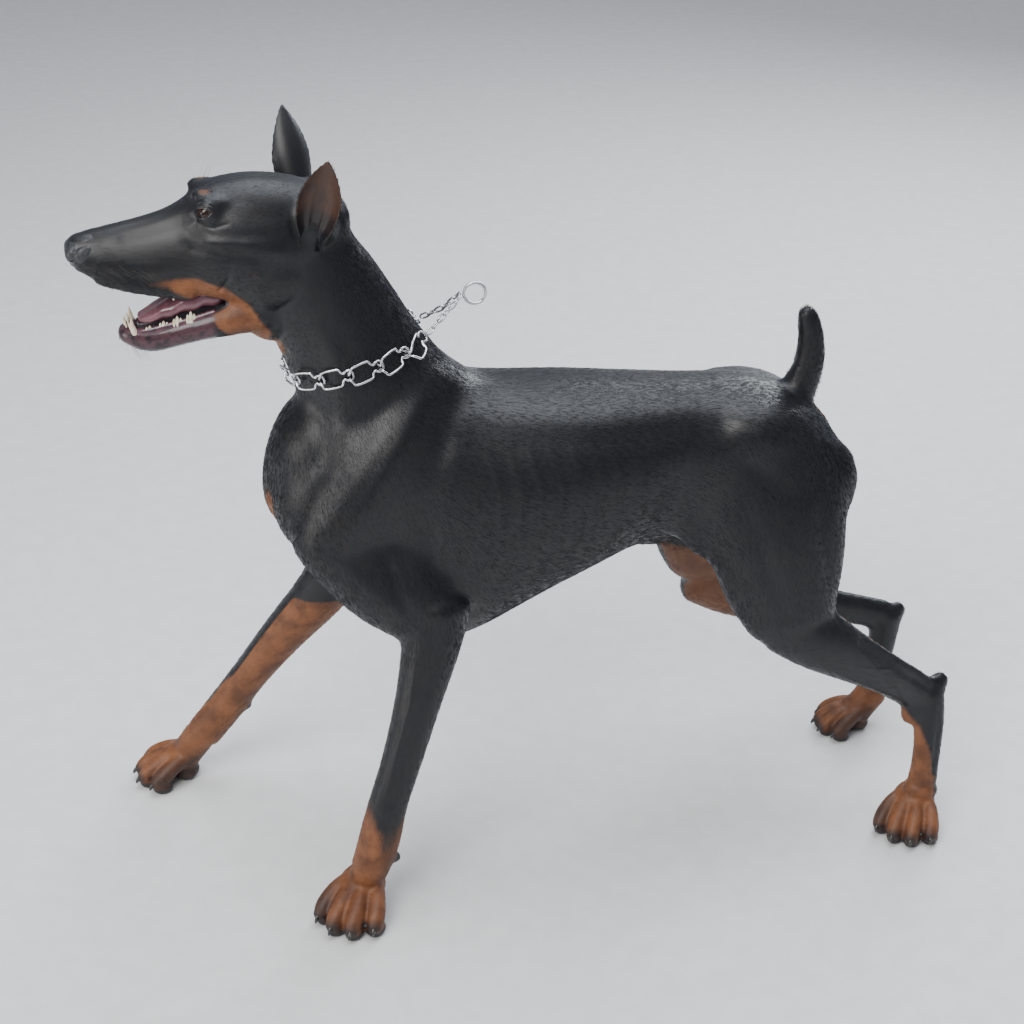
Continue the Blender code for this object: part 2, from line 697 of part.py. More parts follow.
def mouth_cutters():
    """Hollows behind the lips: the palate above and the floor of the mouth below."""
    roof = head_loft("roof", (
        (-0.372, 0.780, 0.742, 0.026), (-0.400, 0.779, 0.744, 0.0275), (-0.430, 0.778, 0.748, 0.0265),
        (-0.462, 0.7835, 0.756, 0.0245), (-0.490, 0.792, 0.770, 0.0215), (-0.506, 0.799, 0.783, 0.0165),
    ), 2.6, 2, 0.006)
    floor = head_loft("floor", (
        (-0.372, 0.772, 0.742, 0.026), (-0.400, 0.772, 0.735, 0.0265), (-0.430, 0.762, 0.7290, 0.0235),
        (-0.455, 0.755, 0.7240, 0.0200), (-0.472, 0.750, 0.7235, 0.0160),
    ), 2.6, 2, 0.006)
    turn = head_turn()
    for cutter in (roof, floor):
        cutter.data.transform(turn)
    return roof, floor


TONGUE_PATH = (
    (-0.380, 0, 0.763, 0.0190, 0.0085), (-0.410, 0, 0.7600, 0.0225, 0.0090),
    (-0.438, 0, 0.7500, 0.0210, 0.0085), (-0.460, 0, 0.7395, 0.0175, 0.0075),
    (-0.470, 0, 0.7350, 0.0130, 0.0060),
)


def tongue_solid(grow):
    """The tongue lying in the floor of the mouth, thicker by grow all round."""
    path = [(x, y, z, a + grow, b + grow) for x, y, z, a, b in TONGUE_PATH]
    obj = tube("tongue", path, steps=1, sides=12, power=2.2, round_ends=0.8 if grow == 0 else 0.87)
    obj.data.transform(head_turn())
    return obj


def tooth(root, tip, wide, long):
    """Pointed tooth from its sunk root to the tip: wide across the jaw, long along it."""
    root = Vector(root)
    tip = Vector(tip)
    axis = (tip - root).normalized()
    along = Vector((1, 0, 0))
    along = (along - axis * along.dot(axis)).normalized()
    across = axis.cross(along)
    rings = []
    for t, k in ((0.0, 0.9), (0.6, 0.95), (1.0, 0.15)):
        centre = root.lerp(tip, t)
        rings.append(power_ring(centre, across, along, wide * k, long * k, long * k, 2.0, 5))
    return loft("tooth", rings)


def lower_teeth():
    """Row of the lower jaw: small front teeth, canines, then cheek teeth."""
    row = []
    for s in (-1, 1):
        for k in range(3):
            y = s * (0.0022 + 0.0044 * k)
            x = -0.4890 + 0.0012 * k * k
            row.append(tooth((x + 0.003, y, 0.7235), (x - 0.0012, y, 0.7375 + 0.0006 * k), 0.0016, 0.0015))
        row.append(tooth((-0.4770, s * 0.0170, 0.7210), (-0.4815, s * 0.0190, 0.7445), 0.0028, 0.0034))
        for k in range(4):
            x = -0.4620 + 0.0150 * k
            y = s * (0.0214 + 0.0018 * k)
            height = 0.0040 + 0.0014 * k
            base = 0.7330 + 0.0034 * k
            row.append(tooth((x, y, base - 0.010), (x + 0.0005, y, base + height), 0.0020, 0.0056))
    return row


def upper_teeth():
    """Row of the upper jaw, mostly behind the lip."""
    row = []
    for s in (-1, 1):
        for k in range(3):
            y = s * (0.0024 + 0.0050 * k)
            x = -0.5195 + 0.0016 * k * k
            row.append(tooth((x, y, 0.8020), (x + 0.0006, y, 0.7915 - 0.0012 * k), 0.0018, 0.0016))
        row.append(tooth((-0.5010, s * 0.0185, 0.7980), (-0.4985, s * 0.0192, 0.7795), 0.0030, 0.0038))
        for k in range(4):
            x = -0.4840 + 0.0165 * k
            y = s * (0.0232 + 0.0014 * k)
            base = 0.7930 - 0.0052 * k
            row.append(tooth((x, y, base), (x, y, base - 0.0130), 0.0020, 0.0056))
    return row


# claw outline: how far ahead of its root, how far below it, and its half height
CLAW_RINGS = (
    (0.0040, 0.0, 0.0034), (0.0110, 0.0008, 0.0038), (0.0150, 0.0036, 0.0031), (0.0170, 0.0080, 0.0012),
)


def claws(frame, scale):
    """Four curved claws of a paw, roots sunk in the toes."""
    out = []
    for side, reach, fan in TOES:
        turn = Matrix.Rotation(math.radians(-fan), 3, "Z")
        ahead = turn @ Vector((1, 0, 0))
        root = Vector((reach, side, 0.0155))
        rings = []
        for t, drop, radius in CLAW_RINGS:
            centre = root + ahead * t - Vector((0, 0, drop))
            lean = math.radians(15 + 9000 * drop)
            tangent = ahead * math.cos(lean) - Vector((0, 0, math.sin(lean)))
            across = Vector((0, 0, 1)).cross(ahead)
            upward = tangent.cross(across)
            rings.append(power_ring(centre, across, upward, radius * 0.75, radius, radius, 2.0, 6))
        piece = loft("claw", rings)
        piece.data.transform(frame @ Matrix.Scale(scale, 4))
        out.append(piece)
    return out


def ear_solid(name, base, tip, facing, curl_base=210.0, curl_tip=70.0, across=7, along=8):
    """Cropped upright ear: a leaf rolled into a cup at its base."""
    base = Vector(base)
    tip = Vector(tip)
    axis = (tip - base).normalized()
    length = (tip - base).length
    facing = Vector(facing)
    facing = (facing - axis * facing.dot(axis)).normalized()
    lateral = axis.cross(facing)
    outer = []
    inner = []
    leaf = (
        (-0.30, 0.0230), (0.0, 0.0270), (0.20, 0.0310), (0.42, 0.0300), (0.66, 0.0220),
        (0.87, 0.0105), (1.0, 0.0016),
    )
    for j in range(along):
        v = -0.26 + 1.26 * (j / (along - 1)) ** 0.95
        half = curve_value(leaf, v) * EAR_WIDTH / 0.058
        level = min(max(v, 0.0), 1.0)
        curl = math.radians(curl_base + (curl_tip - curl_base) * level ** 0.7)
        radius = half / (curl / 2)
        sway = facing * (0.006 * math.sin(level * math.pi)) - facing * 0.004
        centre = base + axis * length * v - sway
        row_out = []
        row_in = []
        for i in range(across):
            u = -1 + 2 * i / (across - 1)
            a = u * curl / 2
            out = lateral * math.sin(a) - facing * math.cos(a)
            point = centre + facing * radius + out * radius
            thick = EAR_THICKNESS * (0.42 + 0.58 * (1 - u * u)) * (1 - 0.45 * level)
            row_out.append(point)
            row_in.append(point - out * min(thick, radius * 0.8))
        outer.append(row_out)
        inner.append(row_in)
    verts = [p for row in outer for p in row] + [p for row in inner for p in row]
    shift = across * along
    faces = []
    for j in range(along - 1):
        for i in range(across - 1):
            a = j * across + i
            faces.append((a, a + 1, a + across + 1, a + across))
            b = a + shift
            faces.append((b, b + across, b + across + 1, b + 1))
        a = j * across
        faces.append((a, a + across, a + across + shift, a + shift))
        a = j * across + across - 1
        faces.append((a, a + shift, a + across + shift, a + across))
    for i in range(across - 1):
        a = i
        faces.append((a, a + shift, a + shift + 1, a + 1))
        a = (along - 1) * across + i
        faces.append((a, a + 1, a + shift + 1, a + shift))
    obj = new_object(name, verts, faces)
    return triangulate(obj)


EARS = (
    ("ear_left", (-0.2780, -0.0430, 0.8440), (-0.2660, -0.0850, 0.9300), (-0.25, -0.95, 0.0)),
    ("ear_right", (-0.2760, 0.0420, 0.8460), (-0.2910, 0.0850, 0.9400), (-0.36, 0.93, 0.0)),
)


def grown(obj, name, amount):
    """Copy of a solid swollen by a small amount along its normals."""
    copy = bpy.data.objects.new(name, obj.data.copy())
    bpy.context.collection.objects.link(copy)
    swell = copy.modifiers.new("swell", "DISPLACE")
    swell.strength = amount
    swell.mid_level = 0.0
    return settle(copy)


def eye_tools(side):
    """Eyeball, its socket and the almond opening between the lids, for one side."""
    turn = head_turn()
    centre = Vector((EYE_CENTRE.x, side * EYE_CENTRE.y, EYE_CENTRE.z))
    gaze = Vector((EYE_GAZE.x, -side * EYE_GAZE.y, EYE_GAZE.z))
    socket = ball("socket", centre, (EYE_RADIUS + GAP,) * 3, segments=14, rings=9)
    across = Vector((0, 0, 1)).cross(gaze).normalized()
    up = gaze.cross(across)
    tilt = math.radians(-10 * side)
    wide = across * math.cos(tilt) + up * math.sin(tilt)
    high = up * math.cos(tilt) - across * math.sin(tilt)
    rings = []
    for t in (0.0050, 0.0085, 0.0110, 0.0200):
        grow = 1.0 if t < 0.012 else 1.35
        ring = []
        for j in range(14):
            a = 2 * math.pi * j / 14
            c = math.cos(a)
            s = math.sin(a)
            lift = math.copysign(abs(s) ** 1.25, s)
            ring.append(centre + gaze * t + wide * 0.0094 * grow * c + high * 0.0060 * grow * lift)
        rings.append(ring)
    opening = loft("opening", rings)
    ball_obj = ball("eye", centre, (EYE_RADIUS * 0.985,) * 3, segments=14, rings=9)
    for obj in (socket, opening, ball_obj):
        obj.data.transform(turn)
    return ball_obj, socket, opening


def nostril_cutters():
    """Comma-shaped nostrils with the slit that runs out to the side."""
    cutters = []
    for s in (-1, 1):
        hole = (-0.5435, s * 0.0080, 0.8205)
        cutters.append(ball("nostril", hole, (0.0065, 0.0038, 0.0042), (0, 0, s * 14), 10, 8))
        cutters.append(tube("slit", (
            (-0.5455, s * 0.0100, 0.8195, 0.0016, 0.0022), (-0.5415, s * 0.0145, 0.8165, 0.0014, 0.0020),
            (-0.5350, s * 0.0182, 0.8160, 0.0010, 0.0014),
        ), steps=1, sides=6))
    for cutter in cutters:
        cutter.data.transform(head_turn())
    return cutters


# plates that part the body: name, centre, normal, half across, half along, up hint
PLATES = (
    ("head_neck", (-0.2840, 0.0, 0.7620), (-0.85, 0.0, 0.53), 0.100, 0.105, (0, 0, 1)),
    ("neck_torso", (-0.2350, 0.0, 0.6300), (-0.36, 0.0, 0.93), 0.130, 0.150, (1, 0, 0)),
    ("tail_root", (0.3040, 0.0, 0.6060), (0.20, 0.0, 0.98), 0.034, 0.032, (1, 0, 0)),
    ("jaw_hinge", (-0.3890, 0.0, 0.7190), (0.965, 0.0, 0.26), 0.062, 0.0345, (0, 0, 1)),
    ("nose_edge", (-0.5150, 0.0, 0.8200), (-0.91, 0.0, 0.415), 0.045, 0.045, (0, 0, 1)),
    ("left_elbow", (-0.1720, -0.1200, 0.3450), (0.0, 0.426, 0.905), 0.070, 0.046, (0, 1, 0)),
    ("right_elbow", (-0.2720, 0.1060, 0.3150), (0.50, -0.35, 0.86), 0.062, 0.046, (0, 1, 0)),
    ("left_wrist", (-0.2445, -0.1600, 0.0780), (0.18, 0.12, 0.97), 0.040, 0.040, (0, 1, 0)),
    ("right_wrist", (-0.4370, 0.1540, 0.0830), (0.60, 0.0, 0.80), 0.040, 0.040, (0, 1, 0)),
    ("left_thigh", (0.2700, -0.0720, 0.3660), (0.0, 0.27, 0.96), 0.104, 0.074, (0, 1, 0)),
    ("right_thigh", (0.2220, 0.0800, 0.3560), (0.0, -0.27, 0.96), 0.095, 0.074, (0, 1, 0)),
    ("left_knee", (0.3070, -0.1000, 0.2920), (0.83, 0.0, -0.55), 0.055, 0.075, (0, 0, 1)),
    ("right_knee", (0.2660, 0.1310, 0.2420), (0.93, 0.05, -0.37), 0.055, 0.075, (0, 0, 1)),
    ("left_hock", (0.4690, -0.0870, 0.1530), (0.04, 0.10, 0.98), 0.040, 0.045, (1, 0, 0)),
    ("right_hock", (0.4850, 0.1420, 0.1420), (0.06, -0.05, 0.98), 0.040, 0.045, (1, 0, 0)),
    ("left_hind_wrist", (0.4635, -0.1030, 0.0610), (0.0, 0.12, 0.98), 0.036, 0.038, (1, 0, 0)),
    ("right_hind_wrist", (0.4690, 0.1290, 0.0580), (0.06, -0.05, 0.98), 0.036, 0.038, (1, 0, 0)),
)

# a point well inside each piece of flesh, to name it once the plates have parted it
FLESH = (
    ("head", (-0.340, 0.0, 0.830)),
    ("lower_jaw", (-0.440, 0.0, 0.712)),
    ("nose", (-0.534, 0.0, 0.826)),
    ("neck", (-0.250, 0.0, 0.700)),
    ("torso", (0.000, 0.0, 0.500)),
    ("tail", (0.304, 0.0, 0.650)),
    ("foreleg_left", (-0.210, -0.143, 0.205)),
    ("forepaw_left", (-0.275, -0.172, 0.025)),
    ("foreleg_right", (-0.346, 0.130, 0.203)),
    ("forepaw_right", (-0.480, 0.168, 0.025)),
    ("thigh_left", (0.272, -0.092, 0.330)),
    ("shank_left", (0.375, -0.096, 0.247)),
    ("rear_pastern_left", (0.468, -0.094, 0.110)),
    ("hind_paw_left", (0.440, -0.120, 0.025)),
    ("thigh_right", (0.222, 0.118, 0.310)),
    ("shank_right", (0.364, 0.138, 0.207)),
    ("rear_pastern_right", (0.478, 0.136, 0.100)),
    ("hind_paw_right", (0.446, 0.125, 0.025)),
)


def part_flesh(body):
    """Part the body with the thin plates and name the pieces."""
    plates = join("plates", [slab(*p) for p in PLATES])
    boolean(body, plates)
    shells = split_loose(body)
    trees = [BVHTree.FromPolygons([tuple(v) for v in verts], faces) for verts, faces in shells]
    found = {}
    taken = set()
    for name, point in FLESH:
        best = None
        for k, tree in enumerate(trees):
            if k in taken:
                continue
            if shell_volume(shells[k]) < 2e-7:
                continue
            if not holds(tree, Vector(head_point(point) if name in ("lower_jaw", "nose") else point)):
                continue
            best = k
            break
        if best is None:
            raise RuntimeError("no piece of flesh holds the point of " + name)
        taken.add(best)
        verts, faces = shells[best]
        found[name] = new_object(name, verts, faces)
    discard(body)
    return found


def holds(tree, point):
    """Whether a closed skin holds a point, by counting the crossings of a ray."""
    count = 0
    origin = point.copy()
    direction = Vector((0.137, 0.291, 0.947)).normalized()
    for _ in range(60):
        hit = tree.ray_cast(origin, direction)
        if hit[0] is None:
            break
        count += 1
        origin = hit[0] + direction * 1e-6
    return count % 2 == 1


def paint(obj, colour, rough):
    """One Principled material of its own for a piece."""
    mat = bpy.data.materials.new(obj.name + "_surface")
    mat.use_nodes = True
    shader = mat.node_tree.nodes["Principled BSDF"]
    shader.inputs["Base Color"].default_value = (*colour, 1.0)
    shader.inputs["Roughness"].default_value = rough
    mat.diffuse_color = (*colour, 1.0)
    obj.data.materials.clear()
    obj.data.materials.append(mat)


BLACK_COAT = (0.018, 0.017, 0.019)
RUST_COAT = (0.270, 0.105, 0.040)
PINK = (0.480, 0.190, 0.190)
NOSE_LEATHER = (0.030, 0.030, 0.034)
EYE_BROWN = (0.060, 0.025, 0.012)
STEEL = (0.620, 0.620, 0.640)


COLLAR_CENTRE = Vector((-0.2330, 0.0, 0.6780))
COLLAR_LONG = Vector((0.964, 0.0, 0.265)).normalized()
COLLAR_UP = Vector((-0.265, 0.0, 0.964)).normalized()
LINK_WIRE = 0.0014
LINK_COUNT = 12
LINK_WIDE = 0.0102
PRONG_SIDE = 0.0026
HOOK_NECK = 0.0034
HOOK_WIDE = 0.0058
HOOK_REACH = 0.0042
RAISED_LINKS = 3
RAISED_STEP = 0.0034
NAPE_GAP = 0.052
RING_CENTRE = Vector((-0.0960, 0.0, 0.7350))
RING_RADIUS = 0.0125
RING_WIRE = 0.0017
CHAIN_WIRE = 0.0011
CHAIN_PITCH = 0.0086


def wire(name, points, radius, sides=6, closed=False):
    """Round wire along points, its frame carried along without twist."""
    pts = [Vector(p) for p in points]
    n = len(pts)
    rings = []
    side = None
    for i in range(n):
        a = pts[(i - 1) % n] if closed or i > 0 else pts[0]
        b = pts[(i + 1) % n] if closed or i < n - 1 else pts[-1]
        tangent = (b - a).normalized()
        if side is None:
            hint = Vector((0, 0, 1)) if abs(tangent.z) < 0.8 else Vector((0, 1, 0))
            side = (hint - tangent * hint.dot(tangent)).normalized()
        side = (side - tangent * side.dot(tangent)).normalized()
        other = tangent.cross(side)
        ring = []
        for j in range(sides):
            t = 2 * math.pi * (j + 0.5) / sides
            ring.append(pts[i] + side * radius * math.cos(t) + other * radius * math.sin(t))
        rings.append(ring)
    if not closed:
        return loft(name, rings)
    verts = [v for ring in rings for v in ring]
    faces = []
    for i in range(n):
        for j in range(sides):
            k = (j + 1) % sides
            m = (i + 1) % n
            faces.append((i * sides + j, i * sides + k, m * sides + k, m * sides + j))
    return new_object(name, verts, faces)


def neck_reach(tree, ray, level):
    """Distance from the collar's axis out to the skin, at a level above the collar's middle."""
    centre = COLLAR_CENTRE + COLLAR_UP * level
    hit = tree.ray_cast(centre + ray * 0.20, -ray, 0.2)
    return (hit[0] - centre).length


def collar_track(tree):
    """Points round the neck where the collar lies."""
    reach = []
    count = 144
    for i in range(count):
        a = 2 * math.pi * i / count
        ray = COLLAR_LONG * math.cos(a) + Vector((0, 1, 0)) * math.sin(a)
        reach.append(neck_reach(tree, ray, 0.0))
    track = []
    for i in range(count):
        near = [reach[(i + k) % count] for k in range(-3, 4)]
        a = 2 * math.pi * i / count
        ray = COLLAR_LONG * math.cos(a) + Vector((0, 1, 0)) * math.sin(a)
        track.append(COLLAR_CENTRE + ray * max(sum(near) / len(near), reach[i]))
    return track


def track_frame(track, s):
    """Place, forward, outward and upward directions at a length along the closed track."""
    n = len(track)
    total = sum((track[(i + 1) % n] - track[i]).length for i in range(n))
    s = s % total
    for i in range(n):
        a = track[i]
        b = track[(i + 1) % n]
        step = (b - a).length
        if s <= step:
            break
        s -= step
    place = a.lerp(b, s / step)
    ahead = (track[(i + 2) % n] - track[(i - 1) % n]).normalized()
    outward = ahead.cross(COLLAR_UP).normalized()
    return place, ahead, outward


def link_outline(length, lift):
    """Half of a pinch link from its prong to its hook: (along, across, height over the skin)."""
    low = LINK_WIRE + 0.0010
    high = low + 2 * LINK_WIRE + 0.0006 + lift
    return (
        (-lift * 0.20, PRONG_SIDE, 0.0019), (0.0, PRONG_SIDE, high - 0.0012),
        (0.0022, PRONG_SIDE + 0.0034, high), (0.0056, LINK_WIDE - 0.0002, high - 0.0002),
        (length * 0.58, LINK_WIDE - 0.0002, low + (high - low) * 0.30),
        (length * 0.67, HOOK_NECK + 0.0020, low + (high - low) * 0.08), (length * 0.74, HOOK_NECK, low),
        (length * 0.81, HOOK_WIDE * 0.94, low), (length * 0.91, HOOK_WIDE, low),
        (length * 0.975, HOOK_WIDE * 0.66, low),
    )


def collar_pieces(skin):
    """Twelve hooked wire links round the neck, the two runs of chain and the ring."""
    corners = [v.co for v in skin.data.vertices]
    tree = BVHTree.FromPolygons(corners, [tuple(p.vertices) for p in skin.data.polygons])
    track = collar_track(tree)
    n = len(track)
    total = sum((track[(i + 1) % n] - track[i]).length for i in range(n))
    pitch = (total - NAPE_GAP) / LINK_COUNT
    pieces = []
    ends = []
    for k in range(LINK_COUNT):
        start = NAPE_GAP / 2 + pitch * k

        def at(t, w, h):
            place, ahead, outward = track_frame(track, start + t)
            ray = (place - COLLAR_CENTRE).normalized()
            level = max(-LINK_WIDE, min(LINK_WIDE, w))
            reach = max(neck_reach(tree, ray, level + d) for d in (-LINK_WIRE, 0.0, LINK_WIRE))
            return COLLAR_CENTRE + COLLAR_UP * w + ray * reach + outward * h

        raised = k - (LINK_COUNT - RAISED_LINKS)
        lift = RAISED_STEP * (raised + 1) if raised >= 0 else 0.0
        outline = link_outline(pitch + HOOK_REACH, lift)
        half = [at(t, w, h) for t, w, h in outline]
        other = [at(t, -w, h) for t, w, h in outline]
        tip = at(pitch + HOOK_REACH, 0.0, outline[-1][2])
        points = half + [tip] + other[::-1]
        if raised >= 0:
            slope = track_frame(track, start + pitch)[2] * RAISED_STEP
            points = [p + slope * (min(i, len(points) - 1 - i) / len(half)) for i, p in enumerate(points)]
        pieces.append(wire("collar_link_%02d" % (k + 1), points, LINK_WIRE, 5))
        if k == 0:
            ends.append(at(-0.0030, 0.0, outline[2][2] + 0.0035))
        if k == LINK_COUNT - 1:
            ends.append(tip + slope * 0.9 + COLLAR_LONG * 0.0035)
    turns = [2 * math.pi * i / 18 for i in range(18)]
    circle = [RING_CENTRE + Vector((math.cos(a), 0, math.sin(a))) * RING_RADIUS for a in turns]
    pieces.append(wire("collar_ring", circle, RING_WIRE, 6, closed=True))
    for name, end in (("chain_right", ends[0]), ("chain_left", ends[1])):
        pieces.append(chain_run(name, end))
    return pieces


def chain_run(name, end):
    """Small round-wire links from a collar end to the ring, joined where they bear on each other."""
    sideways = 0.0035 if end.y > 0 else -0.0035
    goal = RING_CENTRE + Vector((-RING_RADIUS - RING_WIRE - CHAIN_WIRE - 0.0012, sideways, -0.0006))
    middle = (end + goal) / 2 + Vector((0.004, 0, -0.002 if end.y > 0 else 0.004))
    route = smooth_path([tuple(end), tuple(middle), tuple(goal)], 24)
    pts = [Vector(p) for p in route]
    total = sum((b - a).length for a, b in zip(pts, pts[1:]))
    count = max(int(total / CHAIN_PITCH), 3)
    spacing = total / count
    half_long = spacing / 2 + CHAIN_WIRE * 0.15
    groups = ([], [])
    for k in range(count):
        target = (k + 0.5) * spacing
        run = 0.0
        for a, b in zip(pts, pts[1:]):
            step = (b - a).length
            if run + step >= target:
                centre = a.lerp(b, (target - run) / step)
                ahead = (b - a).normalized()
                break
            run += step
        side = Vector((0, 1, 0)).cross(ahead).normalized()
        if k % 2:
            side = ahead.cross(side).normalized()
        ring = []
        for along, over in ((1, 0.45), (0, 1), (-1, 0.45), (-1, -0.45), (0, -1), (1, -0.45)):
            ring.append(centre + ahead * half_long * along + side * CHAIN_WIRE * 2.5 * over)
        groups[k % 2].append(wire("chain_link", ring, CHAIN_WIRE, 4, closed=True))
    first = join(name, groups[0])
    second = join("chain_odd", groups[1])
    boolean(first, second, "UNION")
    if len(split_loose(first)) > 1:
        raise RuntimeError("the links of " + name + " don't all meet")
    return first


def build():
    """Make every piece, part them, colour them and set them over the origin."""
    body = whole_body()
    thin_body(body, (1800, 500, 1900, 900, 1600))
    roof, floor = mouth_cutters()
    boolean(body, roof)
    boolean(body, floor)
    boolean(body, box("ground", (-1.0, -1.0, -0.1), (1.0, 1.0, 0.0)))
    eyes = {}
    for side in (-1, 1):
        eyeball, socket, opening = eye_tools(side)
        boolean(body, socket)
        boolean(body, opening)
        eyes["eye_left" if side < 0 else "eye_right"] = eyeball
    collar = collar_pieces(body)
    pieces = part_flesh(body)
    for cutter in nostril_cutters():
        boolean(pieces["nose"], cutter)
    ears = {}
    for name, base, tip, facing in EARS:
        ear = ear_solid(name, head_point(base), head_point(tip), head_turn().to_3x3() @ Vector(facing))
        boolean(ear, grown(pieces["head"], "head_swollen", GAP))
        ears[name] = keep_largest(ear)
    boolean(pieces["lower_jaw"], tongue_solid(GAP))
    boolean(pieces["head"], tongue_solid(GAP))
    for name, row in (("lower_jaw", lower_teeth()), ("head", upper_teeth())):
        teeth = join("teeth", row)
        teeth.data.transform(head_turn())
        boolean(pieces[name], teeth, "UNION")
    for name, frame, scale in (
        ("forepaw_left", FRONT_LEFT, FRONT_LEFT_SCALE), ("forepaw_right", FRONT_RIGHT, FRONT_RIGHT_SCALE),
        ("hind_paw_left", HIND_LEFT, HIND_LEFT_SCALE), ("hind_paw_right", HIND_RIGHT, HIND_RIGHT_SCALE),
    ):
        boolean(pieces[name], join("claws", claws(frame, scale)), "UNION")
    pieces["tongue"] = tongue_solid(0)
    pieces.update(ears)
    pieces.update(eyes)
    for obj in collar:
        pieces[obj.name] = obj
    for name, obj in pieces.items():
        obj.name = name
        obj.data.name = name
        keep_largest(obj)
        triangulate(obj)
        obj.location = CENTRE_SHIFT
        if name.startswith(("collar", "chain", "collar_ring")):
            paint(obj, STEEL, 0.25)
        elif name.startswith("eye"):
            paint(obj, EYE_BROWN, 0.08)
        elif name == "tongue":
            paint(obj, PINK, 0.35)
        elif name == "nose":
            paint(obj, NOSE_LEATHER, 0.40)
        elif "paw" in name or "pastern" in name:
            paint(obj, RUST_COAT, 0.55)
        else:
            paint(obj, BLACK_COAT, 0.45)
    return pieces


start_clean()
build()
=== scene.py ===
import json
import math

import bmesh
import bpy
import numpy as np
from mathutils import Matrix, Vector
from mathutils.bvhtree import BVHTree
from mathutils.kdtree import KDTree

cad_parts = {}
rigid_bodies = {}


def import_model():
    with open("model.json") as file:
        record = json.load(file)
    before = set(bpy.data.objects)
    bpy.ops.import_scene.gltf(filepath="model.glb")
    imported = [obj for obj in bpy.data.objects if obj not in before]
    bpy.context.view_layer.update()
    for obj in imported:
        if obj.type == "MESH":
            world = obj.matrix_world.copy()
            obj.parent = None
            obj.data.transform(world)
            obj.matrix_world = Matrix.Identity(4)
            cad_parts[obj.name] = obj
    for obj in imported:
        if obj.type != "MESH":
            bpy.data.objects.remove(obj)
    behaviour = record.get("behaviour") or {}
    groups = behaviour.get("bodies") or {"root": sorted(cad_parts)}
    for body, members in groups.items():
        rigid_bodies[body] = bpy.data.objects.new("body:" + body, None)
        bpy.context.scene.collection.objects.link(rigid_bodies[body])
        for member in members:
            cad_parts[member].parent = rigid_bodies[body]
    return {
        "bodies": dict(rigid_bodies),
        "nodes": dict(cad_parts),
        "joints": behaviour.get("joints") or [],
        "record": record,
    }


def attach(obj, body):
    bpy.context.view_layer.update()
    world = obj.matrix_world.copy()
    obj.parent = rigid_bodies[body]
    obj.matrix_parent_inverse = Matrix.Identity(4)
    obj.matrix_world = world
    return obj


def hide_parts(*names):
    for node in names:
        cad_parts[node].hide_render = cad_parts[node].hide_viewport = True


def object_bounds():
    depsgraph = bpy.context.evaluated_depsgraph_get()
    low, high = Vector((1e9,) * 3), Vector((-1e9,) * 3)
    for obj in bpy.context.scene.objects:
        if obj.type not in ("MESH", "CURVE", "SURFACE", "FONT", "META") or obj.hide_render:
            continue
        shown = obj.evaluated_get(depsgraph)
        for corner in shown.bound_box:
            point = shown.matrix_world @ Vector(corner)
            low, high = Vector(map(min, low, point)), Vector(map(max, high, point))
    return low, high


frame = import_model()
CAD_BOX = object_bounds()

bl_info = {
    "name": "Doberman Pinscher, Life Size",
    "version": (1, 0, 0),
    "blender": (4, 5, 0),
    "location": "3D View > Sidebar > Dog",
    "description": "Skin, short coat, eyes, mouth and steel collar of a life-size Doberman pinscher",
    "category": "Object",
}

# moves the finished dog so that its box stands centred over the origin, as the solids do
CENTRE_SHIFT = Vector((0.0135, 0.0074, 0.0))
# size of the grid that the skin is melted on
SKIN_GRID = 0.0019

# torso outline, read along the length of the body: (x, z) or (x, half width)
BACK_LINE = (
    (-0.345, 0.555), (-0.325, 0.600), (-0.290, 0.632), (-0.240, 0.655), (-0.190, 0.664),
    (-0.150, 0.656), (-0.115, 0.6390), (-0.060, 0.6295), (0.000, 0.6245), (0.080, 0.617),
    (0.160, 0.611), (0.220, 0.607), (0.270, 0.597), (0.310, 0.572), (0.338, 0.535), (0.352, 0.500),
)
BELLY_LINE = (
    (-0.345, 0.535), (-0.325, 0.489), (-0.300, 0.438), (-0.260, 0.361), (-0.210, 0.306),
    (-0.160, 0.291), (-0.110, 0.303), (-0.050, 0.3365), (0.020, 0.3735), (0.100, 0.405),
    (0.160, 0.415), (0.220, 0.422), (0.280, 0.430), (0.330, 0.455), (0.352, 0.490),
)
HALF_WIDTH = (
    (-0.345, 0.014), (-0.325, 0.046), (-0.300, 0.066), (-0.260, 0.086), (-0.210, 0.099),
    (-0.160, 0.108), (-0.110, 0.114), (-0.050, 0.117), (0.020, 0.113), (0.100, 0.096),
    (0.160, 0.086), (0.220, 0.086), (0.280, 0.082), (0.330, 0.056), (0.352, 0.020),
)
TORSO_START = -0.345
TORSO_END = 0.352
TORSO_SECTIONS = 44

HEAD_YAW = math.radians(3.0)
HEAD_PIVOT = Vector((-0.280, 0.0, 0.78))

# skull and muzzle, from the back of the head to the nose: x, top, bottom, half width, narrowing above
HEAD_SECTIONS = (
    (-0.252, 0.862, 0.800, 0.034, 0.00), (-0.275, 0.878, 0.775, 0.048, 0.05),
    (-0.305, 0.888, 0.756, 0.0545, 0.10), (-0.340, 0.8925, 0.748, 0.0580, 0.12),
    (-0.370, 0.8910, 0.751, 0.0560, 0.12), (-0.393, 0.8855, 0.756, 0.0500, 0.16),
    (-0.412, 0.8720, 0.7585, 0.0425, 0.26), (-0.432, 0.8612, 0.7625, 0.0385, 0.30),
    (-0.462, 0.8530, 0.7700, 0.0348, 0.34), (-0.492, 0.8475, 0.7785, 0.0312, 0.34),
    (-0.515, 0.8430, 0.7870, 0.0275, 0.30), (-0.530, 0.8400, 0.7970, 0.0220, 0.22),
)
